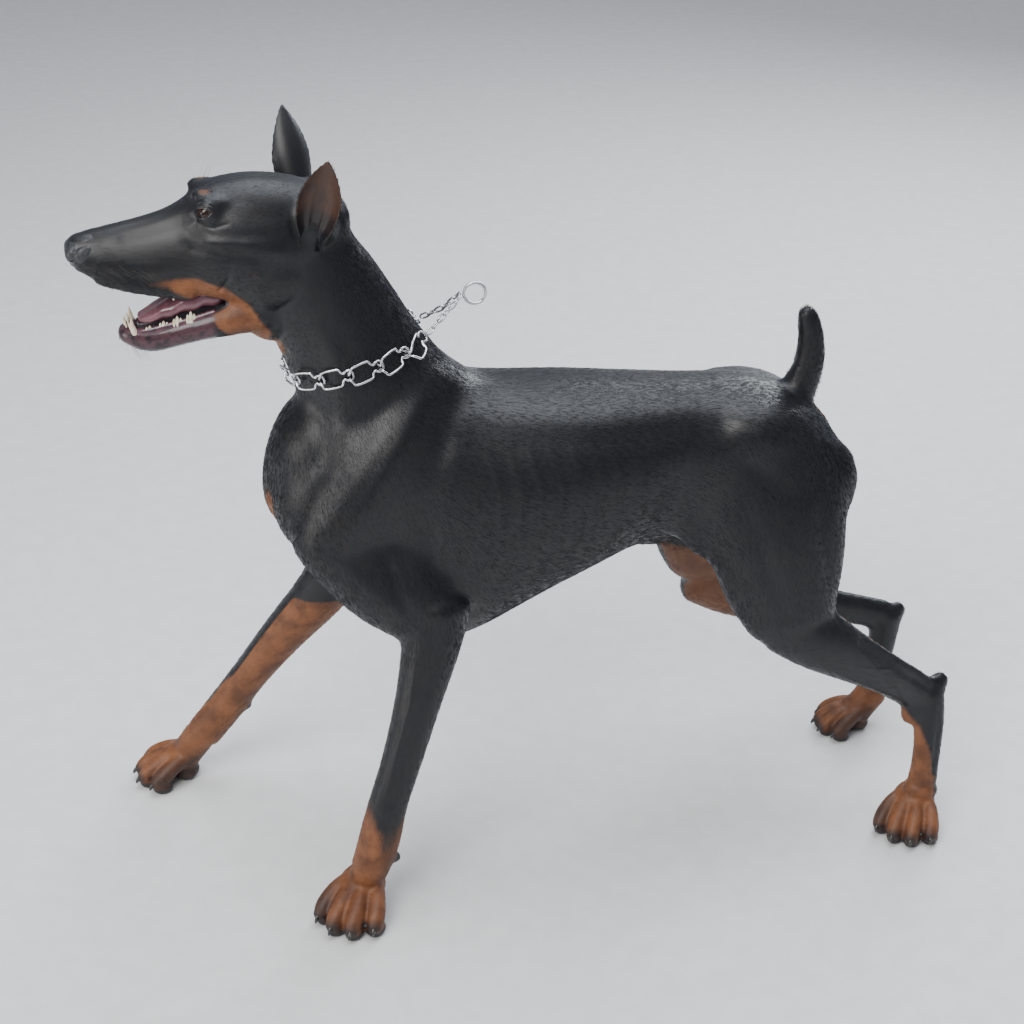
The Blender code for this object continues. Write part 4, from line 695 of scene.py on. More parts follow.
# ridges and hollows seen from the side: side of the body (-1 left, 1 right, 0 both), width, height,
# then the path as (x, z, strength)
SIDE_STROKES = (
    # shoulder blade: spine of the blade, hollows before and behind it
    (0, 0.011, 0.0022,
     ((-0.168, 0.640, 0.6), (-0.205, 0.585, 1.0), (-0.250, 0.515, 1.0), (-0.280, 0.468, 0.5))),
    (0, 0.012, -0.0028, ((-0.205, 0.640, 0.5), (-0.250, 0.585, 1.0), (-0.292, 0.520, 0.7))),
    (0, 0.014, -0.0030,
     ((-0.128, 0.630, 0.5), (-0.158, 0.570, 1.0), (-0.172, 0.500, 1.0), (-0.160, 0.440, 0.6))),
    # upper arm muscle and the long head behind it
    (0, 0.014, 0.0024, ((-0.268, 0.455, 0.6), (-0.232, 0.415, 1.0), (-0.200, 0.385, 0.6))),
    (0, 0.016, 0.0024, ((-0.188, 0.500, 0.5), (-0.178, 0.450, 1.0), (-0.165, 0.405, 0.8))),
    (0, 0.009, -0.0024, ((-0.225, 0.480, 0.5), (-0.208, 0.430, 1.0), (-0.196, 0.395, 0.6))),
    # edge of the breast muscle and the elbow hollow
    (0, 0.012, -0.0022, ((-0.300, 0.430, 0.6), (-0.262, 0.385, 1.0), (-0.225, 0.350, 0.6))),
    (0, 0.012, -0.0028, ((-0.140, 0.400, 0.4), (-0.120, 0.375, 1.0), (-0.105, 0.345, 0.5))),
    # arch of the ribs' end and the flank hollow behind it
    (0, 0.013, 0.0020, ((0.100, 0.560, 0.3), (0.082, 0.500, 0.9), (0.050, 0.450, 1.0), (0.005, 0.405, 0.7))),
    (0, 0.020, -0.0040, ((0.150, 0.560, 0.4), (0.135, 0.505, 1.0), (0.112, 0.460, 0.8), (0.075, 0.425, 0.4))),
    # long back muscles
    (0, 0.012, 0.0014, ((-0.080, 0.610, 0.3), (0.020, 0.602, 1.0), (0.130, 0.596, 1.0), (0.200, 0.590, 0.4))),
    (0, 0.010, -0.0014, ((-0.060, 0.588, 0.3), (0.030, 0.580, 1.0), (0.120, 0.575, 0.6))),
    # point of the hip, and the thigh's broad muscles
    (0, 0.014, 0.0026, ((0.205, 0.582, 0.7), (0.228, 0.572, 1.0), (0.250, 0.560, 0.4))),
    (0, 0.014, -0.0024, ((0.200, 0.545, 0.5), (0.230, 0.520, 1.0), (0.262, 0.500, 0.5))),
    (-1, 0.010, -0.0026,
     ((0.292, 0.520, 0.4), (0.300, 0.460, 1.0), (0.312, 0.390, 1.0), (0.330, 0.330, 0.7))),
    (1, 0.010, -0.0026, ((0.288, 0.520, 0.4), (0.285, 0.450, 1.0), (0.280, 0.375, 1.0), (0.285, 0.300, 0.7))),
    (-1, 0.012, -0.0020, ((0.212, 0.470, 0.4), (0.232, 0.410, 1.0), (0.255, 0.350, 0.8))),
    (1, 0.012, -0.0020, ((0.200, 0.450, 0.4), (0.200, 0.385, 1.0), (0.205, 0.320, 0.8))),
    # hollow before the heel's tendon, and the tendon itself
    (-1, 0.0075, -0.0042,
     ((0.362, 0.292, 0.3), (0.400, 0.258, 0.9), (0.440, 0.221, 1.0), (0.466, 0.199, 0.5))),
    (-1, 0.0065, 0.0014, ((0.372, 0.304, 0.3), (0.420, 0.262, 1.0), (0.470, 0.215, 0.8))),
    (1, 0.0070, -0.0036,
     ((0.345, 0.236, 0.3), (0.400, 0.208, 0.9), (0.455, 0.186, 1.0), (0.482, 0.175, 0.5))),
    # shin edge and the vein that crosses it
    (-1, 0.0065, 0.0015,
     ((0.300, 0.272, 0.3), (0.350, 0.240, 1.0), (0.405, 0.204, 1.0), (0.440, 0.176, 0.5))),
    (-1, 0.0022, 0.0011,
     ((0.352, 0.290, 0.4), (0.385, 0.250, 1.0), (0.412, 0.222, 1.0), (0.430, 0.190, 0.6))),
    (-1, 0.0020, 0.0010, ((0.352, 0.262, 0.3), (0.380, 0.252, 1.0), (0.402, 0.246, 0.5))),
    # hind foot: tendons down the front and back of the bone
    (-1, 0.0050, -0.0016, ((0.478, 0.170, 0.4), (0.476, 0.130, 1.0), (0.472, 0.080, 0.8))),
    (1, 0.0050, -0.0016, ((0.494, 0.150, 0.4), (0.490, 0.115, 1.0), (0.482, 0.070, 0.8))),
    # forearm: front and back muscles, the groove between them, and the wrist
    (-1, 0.0075, -0.0024,
     ((-0.166, 0.360, 0.4), (-0.180, 0.310, 1.0), (-0.203, 0.240, 1.0), (-0.226, 0.165, 0.5))),
    (-1, 0.0024, 0.0010,
     ((-0.192, 0.345, 0.3), (-0.200, 0.290, 1.0), (-0.222, 0.215, 1.0), (-0.240, 0.150, 0.5))),
    (-1, 0.0060, 0.0012, ((-0.236, 0.130, 0.6), (-0.243, 0.110, 1.0), (-0.252, 0.094, 0.6))),
    (-1, 0.0045, -0.0012, ((-0.232, 0.104, 0.5), (-0.244, 0.090, 1.0), (-0.262, 0.082, 0.5))),
    (1, 0.0070, -0.0020,
     ((-0.262, 0.325, 0.4), (-0.310, 0.262, 1.0), (-0.360, 0.190, 1.0), (-0.400, 0.130, 0.5))),
    (1, 0.0050, 0.0012, ((-0.400, 0.140, 0.5), (-0.418, 0.112, 1.0), (-0.430, 0.096, 0.5))),
    # jugular groove and the long muscle of the neck
    (0, 0.012, -0.0034,
     ((-0.312, 0.705, 0.4), (-0.292, 0.660, 1.0), (-0.282, 0.610, 1.0), (-0.285, 0.565, 0.6))),
    (0, 0.013, 0.0026,
     ((-0.292, 0.742, 0.4), (-0.262, 0.690, 1.0), (-0.252, 0.630, 1.0), (-0.262, 0.575, 0.5))),
    (0, 0.013, -0.0018, ((-0.232, 0.760, 0.4), (-0.205, 0.700, 1.0), (-0.190, 0.650, 0.6))),
)
# ribs under the skin: where each starts and ends, seen from the side
RIB_COUNT = 8


def carve_side_strokes(co, nrm):
    """Depth of the muscles, tendons and ribs at each point, read from the side."""
    depth = np.zeros(len(co))
    flat = co[:, (0, 2)]
    outward = nrm[:, 1]
    ribs = []
    for k in range(RIB_COUNT):
        top = (-0.100 + 0.024 * k, 0.590)
        ribs.append((0, 0.0052, 0.0011 - 0.00005 * k, (
            (top[0], top[1], 0.0), (top[0] + 0.016, 0.530, 0.9),
            (top[0] + 0.012, 0.460, 1.0), (top[0] - 0.014, 0.400 + 0.004 * k, 0.3),
        )))
    for side, width, height, path in tuple(SIDE_STROKES) + tuple(ribs):
        for s in ((-1, 1) if side == 0 else (side,)):
            facing = smooth_step(0.15, 0.55, outward * s) * smooth_step(-0.02, 0.01, co[:, 1] * s)
            low = np.array([p[:2] for p in path]).min(0) - width * 3
            high = np.array([p[:2] for p in path]).max(0) + width * 3
            near = np.nonzero((facing > 0) & (flat >= low).all(1) & (flat <= high).all(1))[0]
            if len(near) == 0:
                continue
            d, strength = path_distance(flat[near], path)
            depth[near] += height * strength * np.exp(-(d / width) ** 2) * facing[near]
    return depth


# folds, veins and ridges on the straight head, for the left and right alike: width, height, then the
# path as (x, half y, z, strength)
HEAD_STROKES = (
    # hollow beside the bridge, from the corner of the eye to the nose
    (0.0085, -0.0016,
     ((-0.412, 0.030, 0.858, 0.6), (-0.440, 0.026, 0.850, 1.0), (-0.480, 0.024, 0.842, 0.8))),
    # ridge under the eye running back as the cheek bone
    (0.0055, 0.0016, ((-0.418, 0.036, 0.838, 0.6), (-0.392, 0.046, 0.834, 1.0), (-0.352, 0.052, 0.832, 1.0),
                      (-0.318, 0.050, 0.832, 0.5))),
    (0.0050, -0.0014,
     ((-0.410, 0.040, 0.826, 0.6), (-0.380, 0.050, 0.820, 1.0), (-0.345, 0.054, 0.816, 0.6))),
    # chewing muscle, its front edge and lower edge
    (0.0060, -0.0022,
     ((-0.368, 0.052, 0.812, 0.4), (-0.378, 0.050, 0.786, 1.0), (-0.372, 0.046, 0.752, 0.8))),
    (0.0100, 0.0016, ((-0.350, 0.056, 0.806, 0.6), (-0.345, 0.056, 0.778, 1.0), (-0.340, 0.050, 0.745, 0.6))),
    # temple muscle and the furrow between the brows
    (0.0080, -0.0015,
     ((-0.372, 0.044, 0.870, 0.5), (-0.345, 0.050, 0.862, 1.0), (-0.315, 0.050, 0.858, 0.5))),
    (0.0060, -0.0015, ((-0.425, 0.000, 0.868, 0.3), (-0.400, 0.000, 0.886, 1.0), (-0.370, 0.000, 0.893, 0.8),
                       (-0.330, 0.000, 0.894, 0.3))),
    # snarl folds along the side of the muzzle
    (0.0024, -0.0013,
     ((-0.495, 0.031, 0.825, 0.3), (-0.470, 0.035, 0.828, 1.0), (-0.440, 0.038, 0.825, 0.5))),
    (0.0022, -0.0011,
     ((-0.480, 0.034, 0.814, 0.3), (-0.455, 0.037, 0.816, 1.0), (-0.425, 0.041, 0.812, 0.5))),
    (0.0026, 0.0009, ((-0.488, 0.033, 0.820, 0.3), (-0.462, 0.036, 0.822, 1.0), (-0.432, 0.040, 0.818, 0.5))),
    # folds that fan from the corner of the mouth
    (0.0028, -0.0018,
     ((-0.386, 0.044, 0.776, 1.0), (-0.376, 0.050, 0.790, 0.8), (-0.372, 0.052, 0.806, 0.2))),
    (0.0026, -0.0015,
     ((-0.380, 0.044, 0.764, 1.0), (-0.366, 0.050, 0.770, 0.8), (-0.354, 0.052, 0.778, 0.2))),
    (0.0026, -0.0015,
     ((-0.382, 0.043, 0.748, 1.0), (-0.368, 0.048, 0.744, 0.8), (-0.354, 0.050, 0.742, 0.2))),
    # whisker pad swelling above the lip
    (0.0100, 0.0018, ((-0.508, 0.024, 0.808, 0.7), (-0.485, 0.030, 0.804, 1.0), (-0.455, 0.033, 0.798, 0.6))),
    # lower lip's outer fold
    (0.0030, -0.0012,
     ((-0.478, 0.022, 0.712, 0.5), (-0.445, 0.029, 0.714, 1.0), (-0.410, 0.034, 0.718, 0.8))),
    # lower eye fold and bag
    (0.0022, -0.0007,
     ((-0.4135, 0.0290, 0.857, 0.4), (-0.4035, 0.0385, 0.850, 1.0), (-0.3875, 0.0445, 0.849, 1.0),
                       (-0.3715, 0.0470, 0.854, 0.3))),
    # fold before the ear and the hollow under it
    (0.0040, -0.0016,
     ((-0.300, 0.046, 0.872, 0.4), (-0.304, 0.052, 0.850, 1.0), (-0.300, 0.054, 0.826, 0.6))),
    # loose skin of the throat
    (0.0040, -0.0014,
     ((-0.352, 0.020, 0.704, 0.4), (-0.330, 0.030, 0.700, 1.0), (-0.306, 0.038, 0.712, 0.5))),
    (0.0040, -0.0012,
     ((-0.336, 0.012, 0.692, 0.4), (-0.318, 0.024, 0.688, 1.0), (-0.296, 0.036, 0.698, 0.5))),
)


def carve_head_strokes(q):
    """Depth of the folds of the head at points of the straight head."""
    depth = np.zeros(len(q))
    folded = q.copy()
    folded[:, 1] = np.abs(folded[:, 1])
    for width, height, path in HEAD_STROKES:
        low = np.array([p[:3] for p in path]).min(0) - width * 3
        high = np.array([p[:3] for p in path]).max(0) + width * 3
        near = np.nonzero((folded >= low).all(1) & (folded <= high).all(1))[0]
        if len(near) == 0:
            continue
        d, strength = path_distance(folded[near], path)
        depth[near] += height * strength * np.exp(-(d / width) ** 2)
    return depth


LID_WIDE = math.radians(60)
LID_UPPER = math.radians(33)
LID_LOWER = math.radians(27)


def eye_axes(side):
    """Centre, gaze, width and height directions of an eye on the straight head."""
    centre = Vector((EYE_CENTRE.x, side * EYE_CENTRE.y, EYE_CENTRE.z))
    gaze = Vector((EYE_GAZE.x, -side * EYE_GAZE.y, EYE_GAZE.z))
    across = Vector((0, 0, 1)).cross(gaze).normalized()
    up = gaze.cross(across)
    tilt = math.radians(-10 * side)
    wide = across * math.cos(tilt) + up * math.sin(tilt)
    high = up * math.cos(tilt) - across * math.sin(tilt)
    return centre, gaze, wide, high


def lid_edge(azimuth):
    """Height angle of the upper and lower lid edge at an angle across the eye."""
    t = np.clip(1 - (azimuth / LID_WIDE) ** 2, 0.0, 1.0)
    return LID_UPPER * t ** 0.75, -LID_LOWER * t ** 0.85


def shape_lids(q):
    """Draw the skin round each eye into lids that lie on the eyeball."""
    q = q.copy()
    for side in (-1, 1):
        centre, gaze, wide, high = eye_axes(side)
        v = q - np.array(centre)
        r = np.linalg.norm(v, axis=1)
        near = np.nonzero(r < 0.030)[0]
        v = v[near]
        r = r[near]
        a = v @ np.array(wide)
        b = v @ np.array(high)
        c = v @ np.array(gaze)
        front = c > r * 0.02
        azimuth = np.arctan2(a, c)
        elevation = np.arctan2(b, np.hypot(a, c))
        limit = np.where(elevation >= 0, LID_UPPER, LID_LOWER)
        m = (np.abs(azimuth) / LID_WIDE) ** 2.0 + (np.abs(elevation) / limit) ** 1.35 - 1.0
        d = np.where(m < 0, m * 0.30, m * 0.26)
        crease = -0.0007 * np.exp(-((d - 0.30) / 0.07) ** 2) * (elevation > 0)
        rim = 0.0009 + 0.0007 * smooth_step(0.0, 0.10, d) + 0.0022 * smooth_step(0.10, 0.60, d)
        lid = EYE_RADIUS + np.where(d > -0.02, rim + crease, -0.0018)
        aside = smooth_step(0.42, 0.10, c / np.maximum(r, 1e-9))
        natural = np.maximum(smooth_step(0.22, 0.85, d), aside)
        goal = lid * (1 - natural) + r * natural
        goal = np.where(front, goal, r)
        q[near] = np.array(centre) + v * (goal / np.maximum(r, 1e-9))[:, None]
    return q


def mouth_cutters():
    """Hollows behind the lips: the palate above and the floor of the mouth below."""
    roof = head_loft("roof", (
        (-0.372, 0.780, 0.742, 0.026), (-0.400, 0.779, 0.744, 0.0275), (-0.430, 0.778, 0.748, 0.0265),
        (-0.462, 0.7835, 0.756, 0.0245), (-0.490, 0.792, 0.770, 0.0215), (-0.506, 0.799, 0.783, 0.0165),
    ), 2.6, 6, 0.006)
    floor = head_loft("floor", (
        (-0.372, 0.772, 0.742, 0.026), (-0.400, 0.772, 0.735, 0.0265), (-0.430, 0.762, 0.7290, 0.0235),
        (-0.455, 0.755, 0.7240, 0.0200), (-0.472, 0.750, 0.7235, 0.0160),
    ), 2.6, 6, 0.006)
    turn = head_turn()
    for cutter in (roof, floor):
        cutter.data.transform(turn)
    return roof, floor


def boolean(obj, cutter, operation="DIFFERENCE"):
    """Cut or join with another closed object, which is used up."""
    mod = obj.modifiers.new("op", "BOOLEAN")
    mod.operation = operation
    mod.solver = "MANIFOLD"
    mod.object = cutter
    before = len(obj.data.polygons)
    settle(obj)
    if len(obj.data.polygons) == before:
        raise RuntimeError("the boolean with " + cutter.name + " changed nothing")
    discard(cutter)
    return obj


def ear_solid(name, base, tip, facing, curl_base=210.0, curl_tip=70.0, across=27, along=44):
    """Cropped upright ear: a leaf rolled into a cup at its base, with a fold inside."""
    base = Vector(base)
    tip = Vector(tip)
    axis = (tip - base).normalized()
    length = (tip - base).length
    facing = Vector(facing)
    facing = (facing - axis * facing.dot(axis)).normalized()
    lateral = axis.cross(facing)
    outer = []
    inner = []
    leaf = (
        (-0.30, 0.0230), (0.0, 0.0270), (0.20, 0.0310), (0.42, 0.0300), (0.66, 0.0220),
        (0.87, 0.0105), (1.0, 0.0016),
    )
    for j in range(along):
        v = -0.26 + 1.26 * (j / (along - 1)) ** 0.95
        half = curve_value(leaf, v) * EAR_WIDTH / 0.058
        level = min(max(v, 0.0), 1.0)
        curl = math.radians(curl_base + (curl_tip - curl_base) * level ** 0.7)
        radius = half / (curl / 2)
        sway = facing * (0.006 * math.sin(level * math.pi)) - facing * 0.004
        centre = base + axis * length * v - sway
        row_out = []
        row_in = []
        for i in range(across):
            u = -1 + 2 * i / (across - 1)
            a = u * curl / 2
            out = lateral * math.sin(a) - facing * math.cos(a)
            point = centre + facing * radius + out * radius
            thick = EAR_THICKNESS * (0.34 + 0.66 * (1 - u * u)) * (1 - 0.45 * level)
            fold = math.exp(-((u - 0.30) / 0.10) ** 2) + 0.8 * math.exp(-((u + 0.34) / 0.09) ** 2)
            fold *= 0.0022 * max(0.0, 1 - level / 0.62)
            rough = 0.0005 * math.sin(j * 2.1 + u * 3) * max(0.0, abs(u) - 0.8) * 5
            row_out.append(point + lateral * rough)
            row_in.append(point - out * min(thick + fold, radius * 0.8) + lateral * rough)
        outer.append(row_out)
        inner.append(row_in)
    verts = [p for row in outer for p in row] + [p for row in inner for p in row]
    shift = across * along
    faces = []
    for j in range(along - 1):
        for i in range(across - 1):
            a = j * across + i
            faces.append((a, a + 1, a + across + 1, a + across))
            b = a + shift
            faces.append((b, b + across, b + across + 1, b + 1))
        a = j * across
        faces.append((a, a + across, a + across + shift, a + shift))
        a = j * across + across - 1
        faces.append((a, a + shift, a + across + shift, a + across))
    for i in range(across - 1):
        a = i
        faces.append((a, a + shift, a + shift + 1, a + 1))
        a = (along - 1) * across + i
        faces.append((a, a + 1, a + shift + 1, a + shift))
    return new_object(name, verts, faces)


EARS = (
    ("ear_left", (-0.2780, -0.0430, 0.8440), (-0.2660, -0.0850, 0.9300), (-0.25, -0.95, 0.0)),
    ("ear_right", (-0.2760, 0.0420, 0.8460), (-0.2910, 0.0850, 0.9400), (-0.36, 0.93, 0.0)),
)


def finer(obj, chosen):
    """Halve the edges of the faces whose points are all chosen."""
    bm = bmesh.new()
    bm.from_mesh(obj.data)
    bm.verts.ensure_lookup_table()
    picked = np.zeros(len(bm.verts), dtype=bool)
    picked[chosen] = True
    edges = [e for e in bm.edges if picked[e.verts[0].index] and picked[e.verts[1].index]]
    bmesh.ops.subdivide_edges(bm, edges=edges, cuts=1, use_grid_fill=True)
    bmesh.ops.triangulate(bm, faces=[f for f in bm.faces if len(f.verts) > 4])
    bm.to_mesh(obj.data)
    bm.free()
    return obj


def coat_depth(co, q):
    """How far the skin lies under the tips of the coat: least on the face and feet."""
    head = smooth_step(-0.270, -0.330, co[:, 0]) * smooth_step(0.66, 0.72, co[:, 2])
    feet = smooth_step(0.110, 0.060, co[:, 2])
    face = smooth_step(-0.36, -0.42, q[:, 0]) * head
    return 0.0013 - 0.0005 * np.maximum(head, feet) - 0.0003 * np.maximum(face, feet)


def make_skin():
    """The whole skin: melted, drawn in under the coat, carved, cut at the mouth and joined to the ears."""
    body = whole_body()
    co = mesh_points(body.data)
    q = to_head(co)
    inside = (q[:, 0] < -0.368) & (q[:, 2] > 0.66)
    finer(body, np.nonzero(inside)[0])
    for reach in (0.026, 0.019):
        q = to_head(mesh_points(body.data))
        q[:, 1] = np.abs(q[:, 1])
        near = np.linalg.norm(q - np.array(EYE_CENTRE), axis=1) < reach
        finer(body, np.nonzero(near)[0])
    edges = mesh_edges(body.data)
    co = mesh_points(body.data)
    q = to_head(co)
    feet = smooth_step(0.085, 0.060, co[:, 2])
    co = eased(co, edges, 1 - feet, 4)
    put_points(body.data, co)
    nrm = mesh_normals(body.data)
    q = to_head(co)
    head = smooth_step(-0.262, -0.300, co[:, 0]) * smooth_step(0.67, 0.70, co[:, 2] + (co[:, 0] + 0.33) * 0.9)
    shift = -coat_depth(co, q) + carve_side_strokes(co, nrm) * (1 - head) + carve_head_strokes(q) * head
    shift *= smooth_step(0.004, 0.012, co[:, 2])
    co = co + nrm * shift[:, None]
    q = shape_lids(to_head(co))
    put_points(body.data, from_head(q))
    for cutter in mouth_cutters():
        boolean(body, cutter)
    for name, base, tip, facing in EARS:
        ear = ear_solid(name, head_point(base), head_point(tip), head_turn().to_3x3() @ Vector(facing))
        boolean(body, ear, "UNION")
    return body


def patch(points, centre, radii, soft=0.35):
    """1 inside an ellipsoid, 0 outside it, with a soft edge."""
    d = np.linalg.norm((points - np.array(centre)) / np.array(radii), axis=1)
    return 1 - smooth_step(1 - soft, 1 + soft, d)


def band(points, path, soft=0.006):
    """1 within the path's own reach (its last column), 0 beyond it, with a soft edge."""
    d, reach = path_distance(points, path)
    return 1 - smooth_step(-soft, soft, d - reach)


# rust of the face, seen from the side of the straight head: (x, z, reach)
FACE_RUST = (
    (-0.490, 0.7830, 0.0000), (-0.468, 0.7870, 0.0040), (-0.440, 0.7860, 0.0085), (-0.412, 0.7800, 0.0130),
    (-0.390, 0.7640, 0.0190), (-0.372, 0.7440, 0.0220), (-0.358, 0.7280, 0.0190), (-0.342, 0.7160, 0.0110),
)
JAW_RUST = (
    (-0.400, 0.7080, 0.0030), (-0.380, 0.7100, 0.0090), (-0.360, 0.7120, 0.0130),
)
# rust of the legs, seen from the side: front and back edges and the lower leg (x, z, reach)
NEAR_FORELEG_RUST = (
    (-0.300, 0.020, 0.060), (-0.268, 0.060, 0.040), (-0.262, 0.090, 0.028), (-0.258, 0.120, 0.018),
    (-0.262, 0.150, 0.010), (-0.258, 0.175, 0.002),
)
NEAR_FORELEG_BACK = (
    (-0.222, 0.060, 0.020), (-0.212, 0.110, 0.016), (-0.196, 0.150, 0.010), (-0.176, 0.195, 0.004),
    (-0.168, 0.215, 0.000),
)
FAR_FORELEG_RUST = (
    (-0.500, 0.020, 0.060), (-0.440, 0.080, 0.034), (-0.405, 0.120, 0.020), (-0.388, 0.140, 0.004),
)
NEAR_HIND_RUST = (
    (0.430, 0.020, 0.060), (0.452, 0.070, 0.026), (0.452, 0.105, 0.017), (0.444, 0.140, 0.013),
    (0.426, 0.168, 0.009), (0.400, 0.188, 0.004), (0.385, 0.200, 0.000),
)
FAR_HIND_RUST = (
    (0.440, 0.020, 0.060), (0.466, 0.070, 0.028), (0.470, 0.110, 0.018), (0.462, 0.140, 0.012),
    (0.440, 0.160, 0.008),
)


def rust_mask(co, nrm):
    """Where the coat is rust rather than black, from 0 to 1; the near chest patch and the far inner thigh are
    held weaker as painted shade.
    """
    q = to_head(co)
    fold = q.copy()
    fold[:, 1] = np.abs(q[:, 1])
    head = smooth_step(-0.270, -0.300, co[:, 0]) * smooth_step(0.655, 0.690, co[:, 2])
    side_view = q[:, (0, 2)]
    face = np.maximum(band(side_view, FACE_RUST, 0.0085), band(side_view, JAW_RUST, 0.007))
    face *= 0.42 + 0.58 * smooth_step(-0.460, -0.405, q[:, 0])
    throat = 0.8 * patch(co, (-0.334, 0.0, 0.700), (0.040, 0.030, 0.026), 0.35)
    face = np.maximum(face, throat * smooth_step(0.775, 0.745, q[:, 2]))
    brow = 0.52 * patch(fold, (-0.3935, 0.0235, 0.8820), (0.0072, 0.0070, 0.0056), 0.5)
    cheek = 0.36 * patch(fold, (-0.3500, 0.0540, 0.8000), (0.0065, 0.010, 0.0055), 0.5)
    rust = np.maximum(face, np.maximum(brow, cheek)) * head
    # chest: one patch either side of the breast bone, the near (left) one held weaker as painted shade, with a
    # fainter one behind it
    for s in (-1, 1):
        strength = 0.95 if s > 0 else 0.72
        chest = patch(co, (-0.340, 0.003 + s * 0.021, 0.496), (0.030, 0.012, 0.021), 0.5)
        rust = np.maximum(rust, strength * chest)
        rust = np.maximum(rust, 0.34 * patch(co, (-0.270, s * 0.106, 0.481), (0.014, 0.030, 0.017), 0.5))
    flat = co[:, (0, 2)]
    left = co[:, 1] < -0.02
    right = co[:, 1] > 0.02
    inner_left = smooth_step(-0.10, 0.35, nrm[:, 1])
    inner_right = smooth_step(-0.10, 0.35, -nrm[:, 1])
    front = co[:, 0] < 0.05
    low_front = smooth_step(0.345, 0.315, co[:, 2])
    # left foreleg: rust inside, on the wrist and foot, and as two thin edges up the leg
    leg = np.maximum(0.9 * band(flat, NEAR_FORELEG_RUST, 0.022), 0.8 * band(flat, NEAR_FORELEG_BACK, 0.015))
    leg = np.maximum(leg, 0.60 * smooth_step(0.165, 0.080, co[:, 2]))
    leg = np.maximum(leg, smooth_step(0.075, 0.045, co[:, 2]))
    leg = np.maximum(leg, inner_left * low_front)
    rust = np.maximum(rust, leg * (left & front & (co[:, 2] < 0.36)))
    # right foreleg: rust inside all the way down, black along its front edge and outside
    inner_foreleg = smooth_step(-0.05, 0.25, -nrm[:, 1]) * smooth_step(0.312, 0.296, co[:, 2])
    leg = np.maximum(band(flat, FAR_FORELEG_RUST, 0.010), inner_foreleg)
    ahead = nrm @ np.array((-0.82, 0.10, 0.56))
    leg *= 1 - 0.92 * smooth_step(0.74, 0.90, ahead) * smooth_step(0.150, 0.185, co[:, 2])
    rust = np.maximum(rust, leg * (right & front & (co[:, 2] < 0.36)))
    # hind legs: rust inside the thigh, along the front of the hock and down the foot
    thigh = smooth_step(0.395, 0.355, co[:, 2])
    leg = np.maximum(0.9 * band(flat, NEAR_HIND_RUST, 0.011), inner_left * thigh)
    rust = np.maximum(rust, leg * (left & ~front))
    inner_thigh = inner_right * smooth_step(0.350, 0.335, co[:, 2]) * smooth_step(0.340, 0.290, co[:, 0])
    inner_thigh *= 1 - 0.9 * smooth_step(0.66, 0.84, nrm @ np.array((-0.82, 0.25, -0.50)))
    foot = band(flat, FAR_HIND_RUST, 0.010) * smooth_step(0.135, 0.110, co[:, 2])
    # the far inner thigh's rust is held at 0.62: painted shade that darkens it to dark brown
    leg = np.maximum(foot, inner_thigh * 0.62)
    rust = np.maximum(rust, leg * (right & ~front))
    heel = np.maximum(
        patch(co, (0.492, -0.075, 0.185), (0.030, 0.030, 0.040), 0.3),
        patch(co, (0.512, 0.146, 0.165), (0.030, 0.030, 0.034), 0.3),
    )
    back_edge, _ = path_distance(flat, ((0.486, 0.150), (0.484, 0.110), (0.480, 0.085)))
    heel = np.maximum(heel, (1 - smooth_step(0.002, 0.012, back_edge)) * (~front))
    rust *= 1 - 0.9 * heel
    rust = np.maximum(rust, patch(co, (0.340, 0.0, 0.575), (0.028, 0.026, 0.034), 0.3) * (nrm[:, 0] > 0.2))
    return np.clip(rust, 0, 1)


def pencil_mask(co, nrm):
    """Dark strokes over the toes, the pads and the back of the foot, from 0 to 1."""
    dark = np.zeros(len(co))
    for k, (place, scale, _) in enumerate(paw_frames()):
        back = np.array((place @ Matrix.Scale(scale, 4)).inverted())
        local = co @ back[:3, :3].T + back[:3, 3]
        near = (np.abs(local) < 0.085).all(1)
        for side, reach, _ in TOES:
            gap, _ = path_distance(local[near][:, :2], ((reach - 0.020, side * 0.90), (reach + 0.012, side)))
            tip = smooth_step(reach + 0.002, reach + 0.013, local[near][:, 0])
            tip *= 1 - smooth_step(0.009, 0.013, gap)
            dark[near] = np.maximum(dark[near], tip * smooth_step(0.030, 0.016, local[near][:, 2]))
        outer = smooth_step(0.016, 0.026, -local[near][:, 1] if k in (0, 2) else local[near][:, 1])
        dark[near] = np.maximum(dark[near], 0.75 * outer * smooth_step(0.055, 0.030, local[near][:, 2]))
        sole = smooth_step(0.0125, 0.0070, local[near][:, 2])
        heel = patch(local[near], (-0.020, 0, 0.010), (0.026, 0.027, 0.020), 0.25)
        dark[near] = np.maximum(dark[near], np.maximum(sole, heel * 0.9))
    return dark


def pad_mask(co, nrm):
    """Bare, rough pads of the soles and wrists."""
    low = smooth_step(0.0105, 0.0060, co[:, 2])
    wrist = np.maximum(
        patch(co, (-0.2200, -0.1495, 0.0700), (0.0115, 0.0105, 0.0125), 0.2),
        patch(co, (-0.3760, 0.1460, 0.1175), (0.0115, 0.0105, 0.0130), 0.2),
    )
    return np.maximum(low, wrist)


def write_float(mesh, name, values):
    """Store one number for each point."""
    layer = mesh.attributes.get(name) or mesh.attributes.new(name, "FLOAT", "POINT")
    layer.data.foreach_set("value", np.ascontiguousarray(values, dtype=np.float32))


def new_material(name):
    """Node material with its Principled shader and output."""
    mat = bpy.data.materials.new(name)
    mat.use_nodes = True
    tree = mat.node_tree
    shader = tree.nodes["Principled BSDF"]
    return mat, tree, shader


def link(tree, a, b):
    """Join an output to an input."""
    tree.links.new(a, b)


def math_node(tree, kind, a, b=None, clamp=False):
    """One sum, on sockets or plain numbers."""
    item = tree.nodes.new("ShaderNodeMath")
    item.operation = kind
    item.use_clamp = clamp
    for k, value in enumerate((a, b)):
        if value is None:
            continue
        if isinstance(value, (int, float)):
            item.inputs[k].default_value = value
        else:
            tree.links.new(value, item.inputs[k])
    return item.outputs[0]


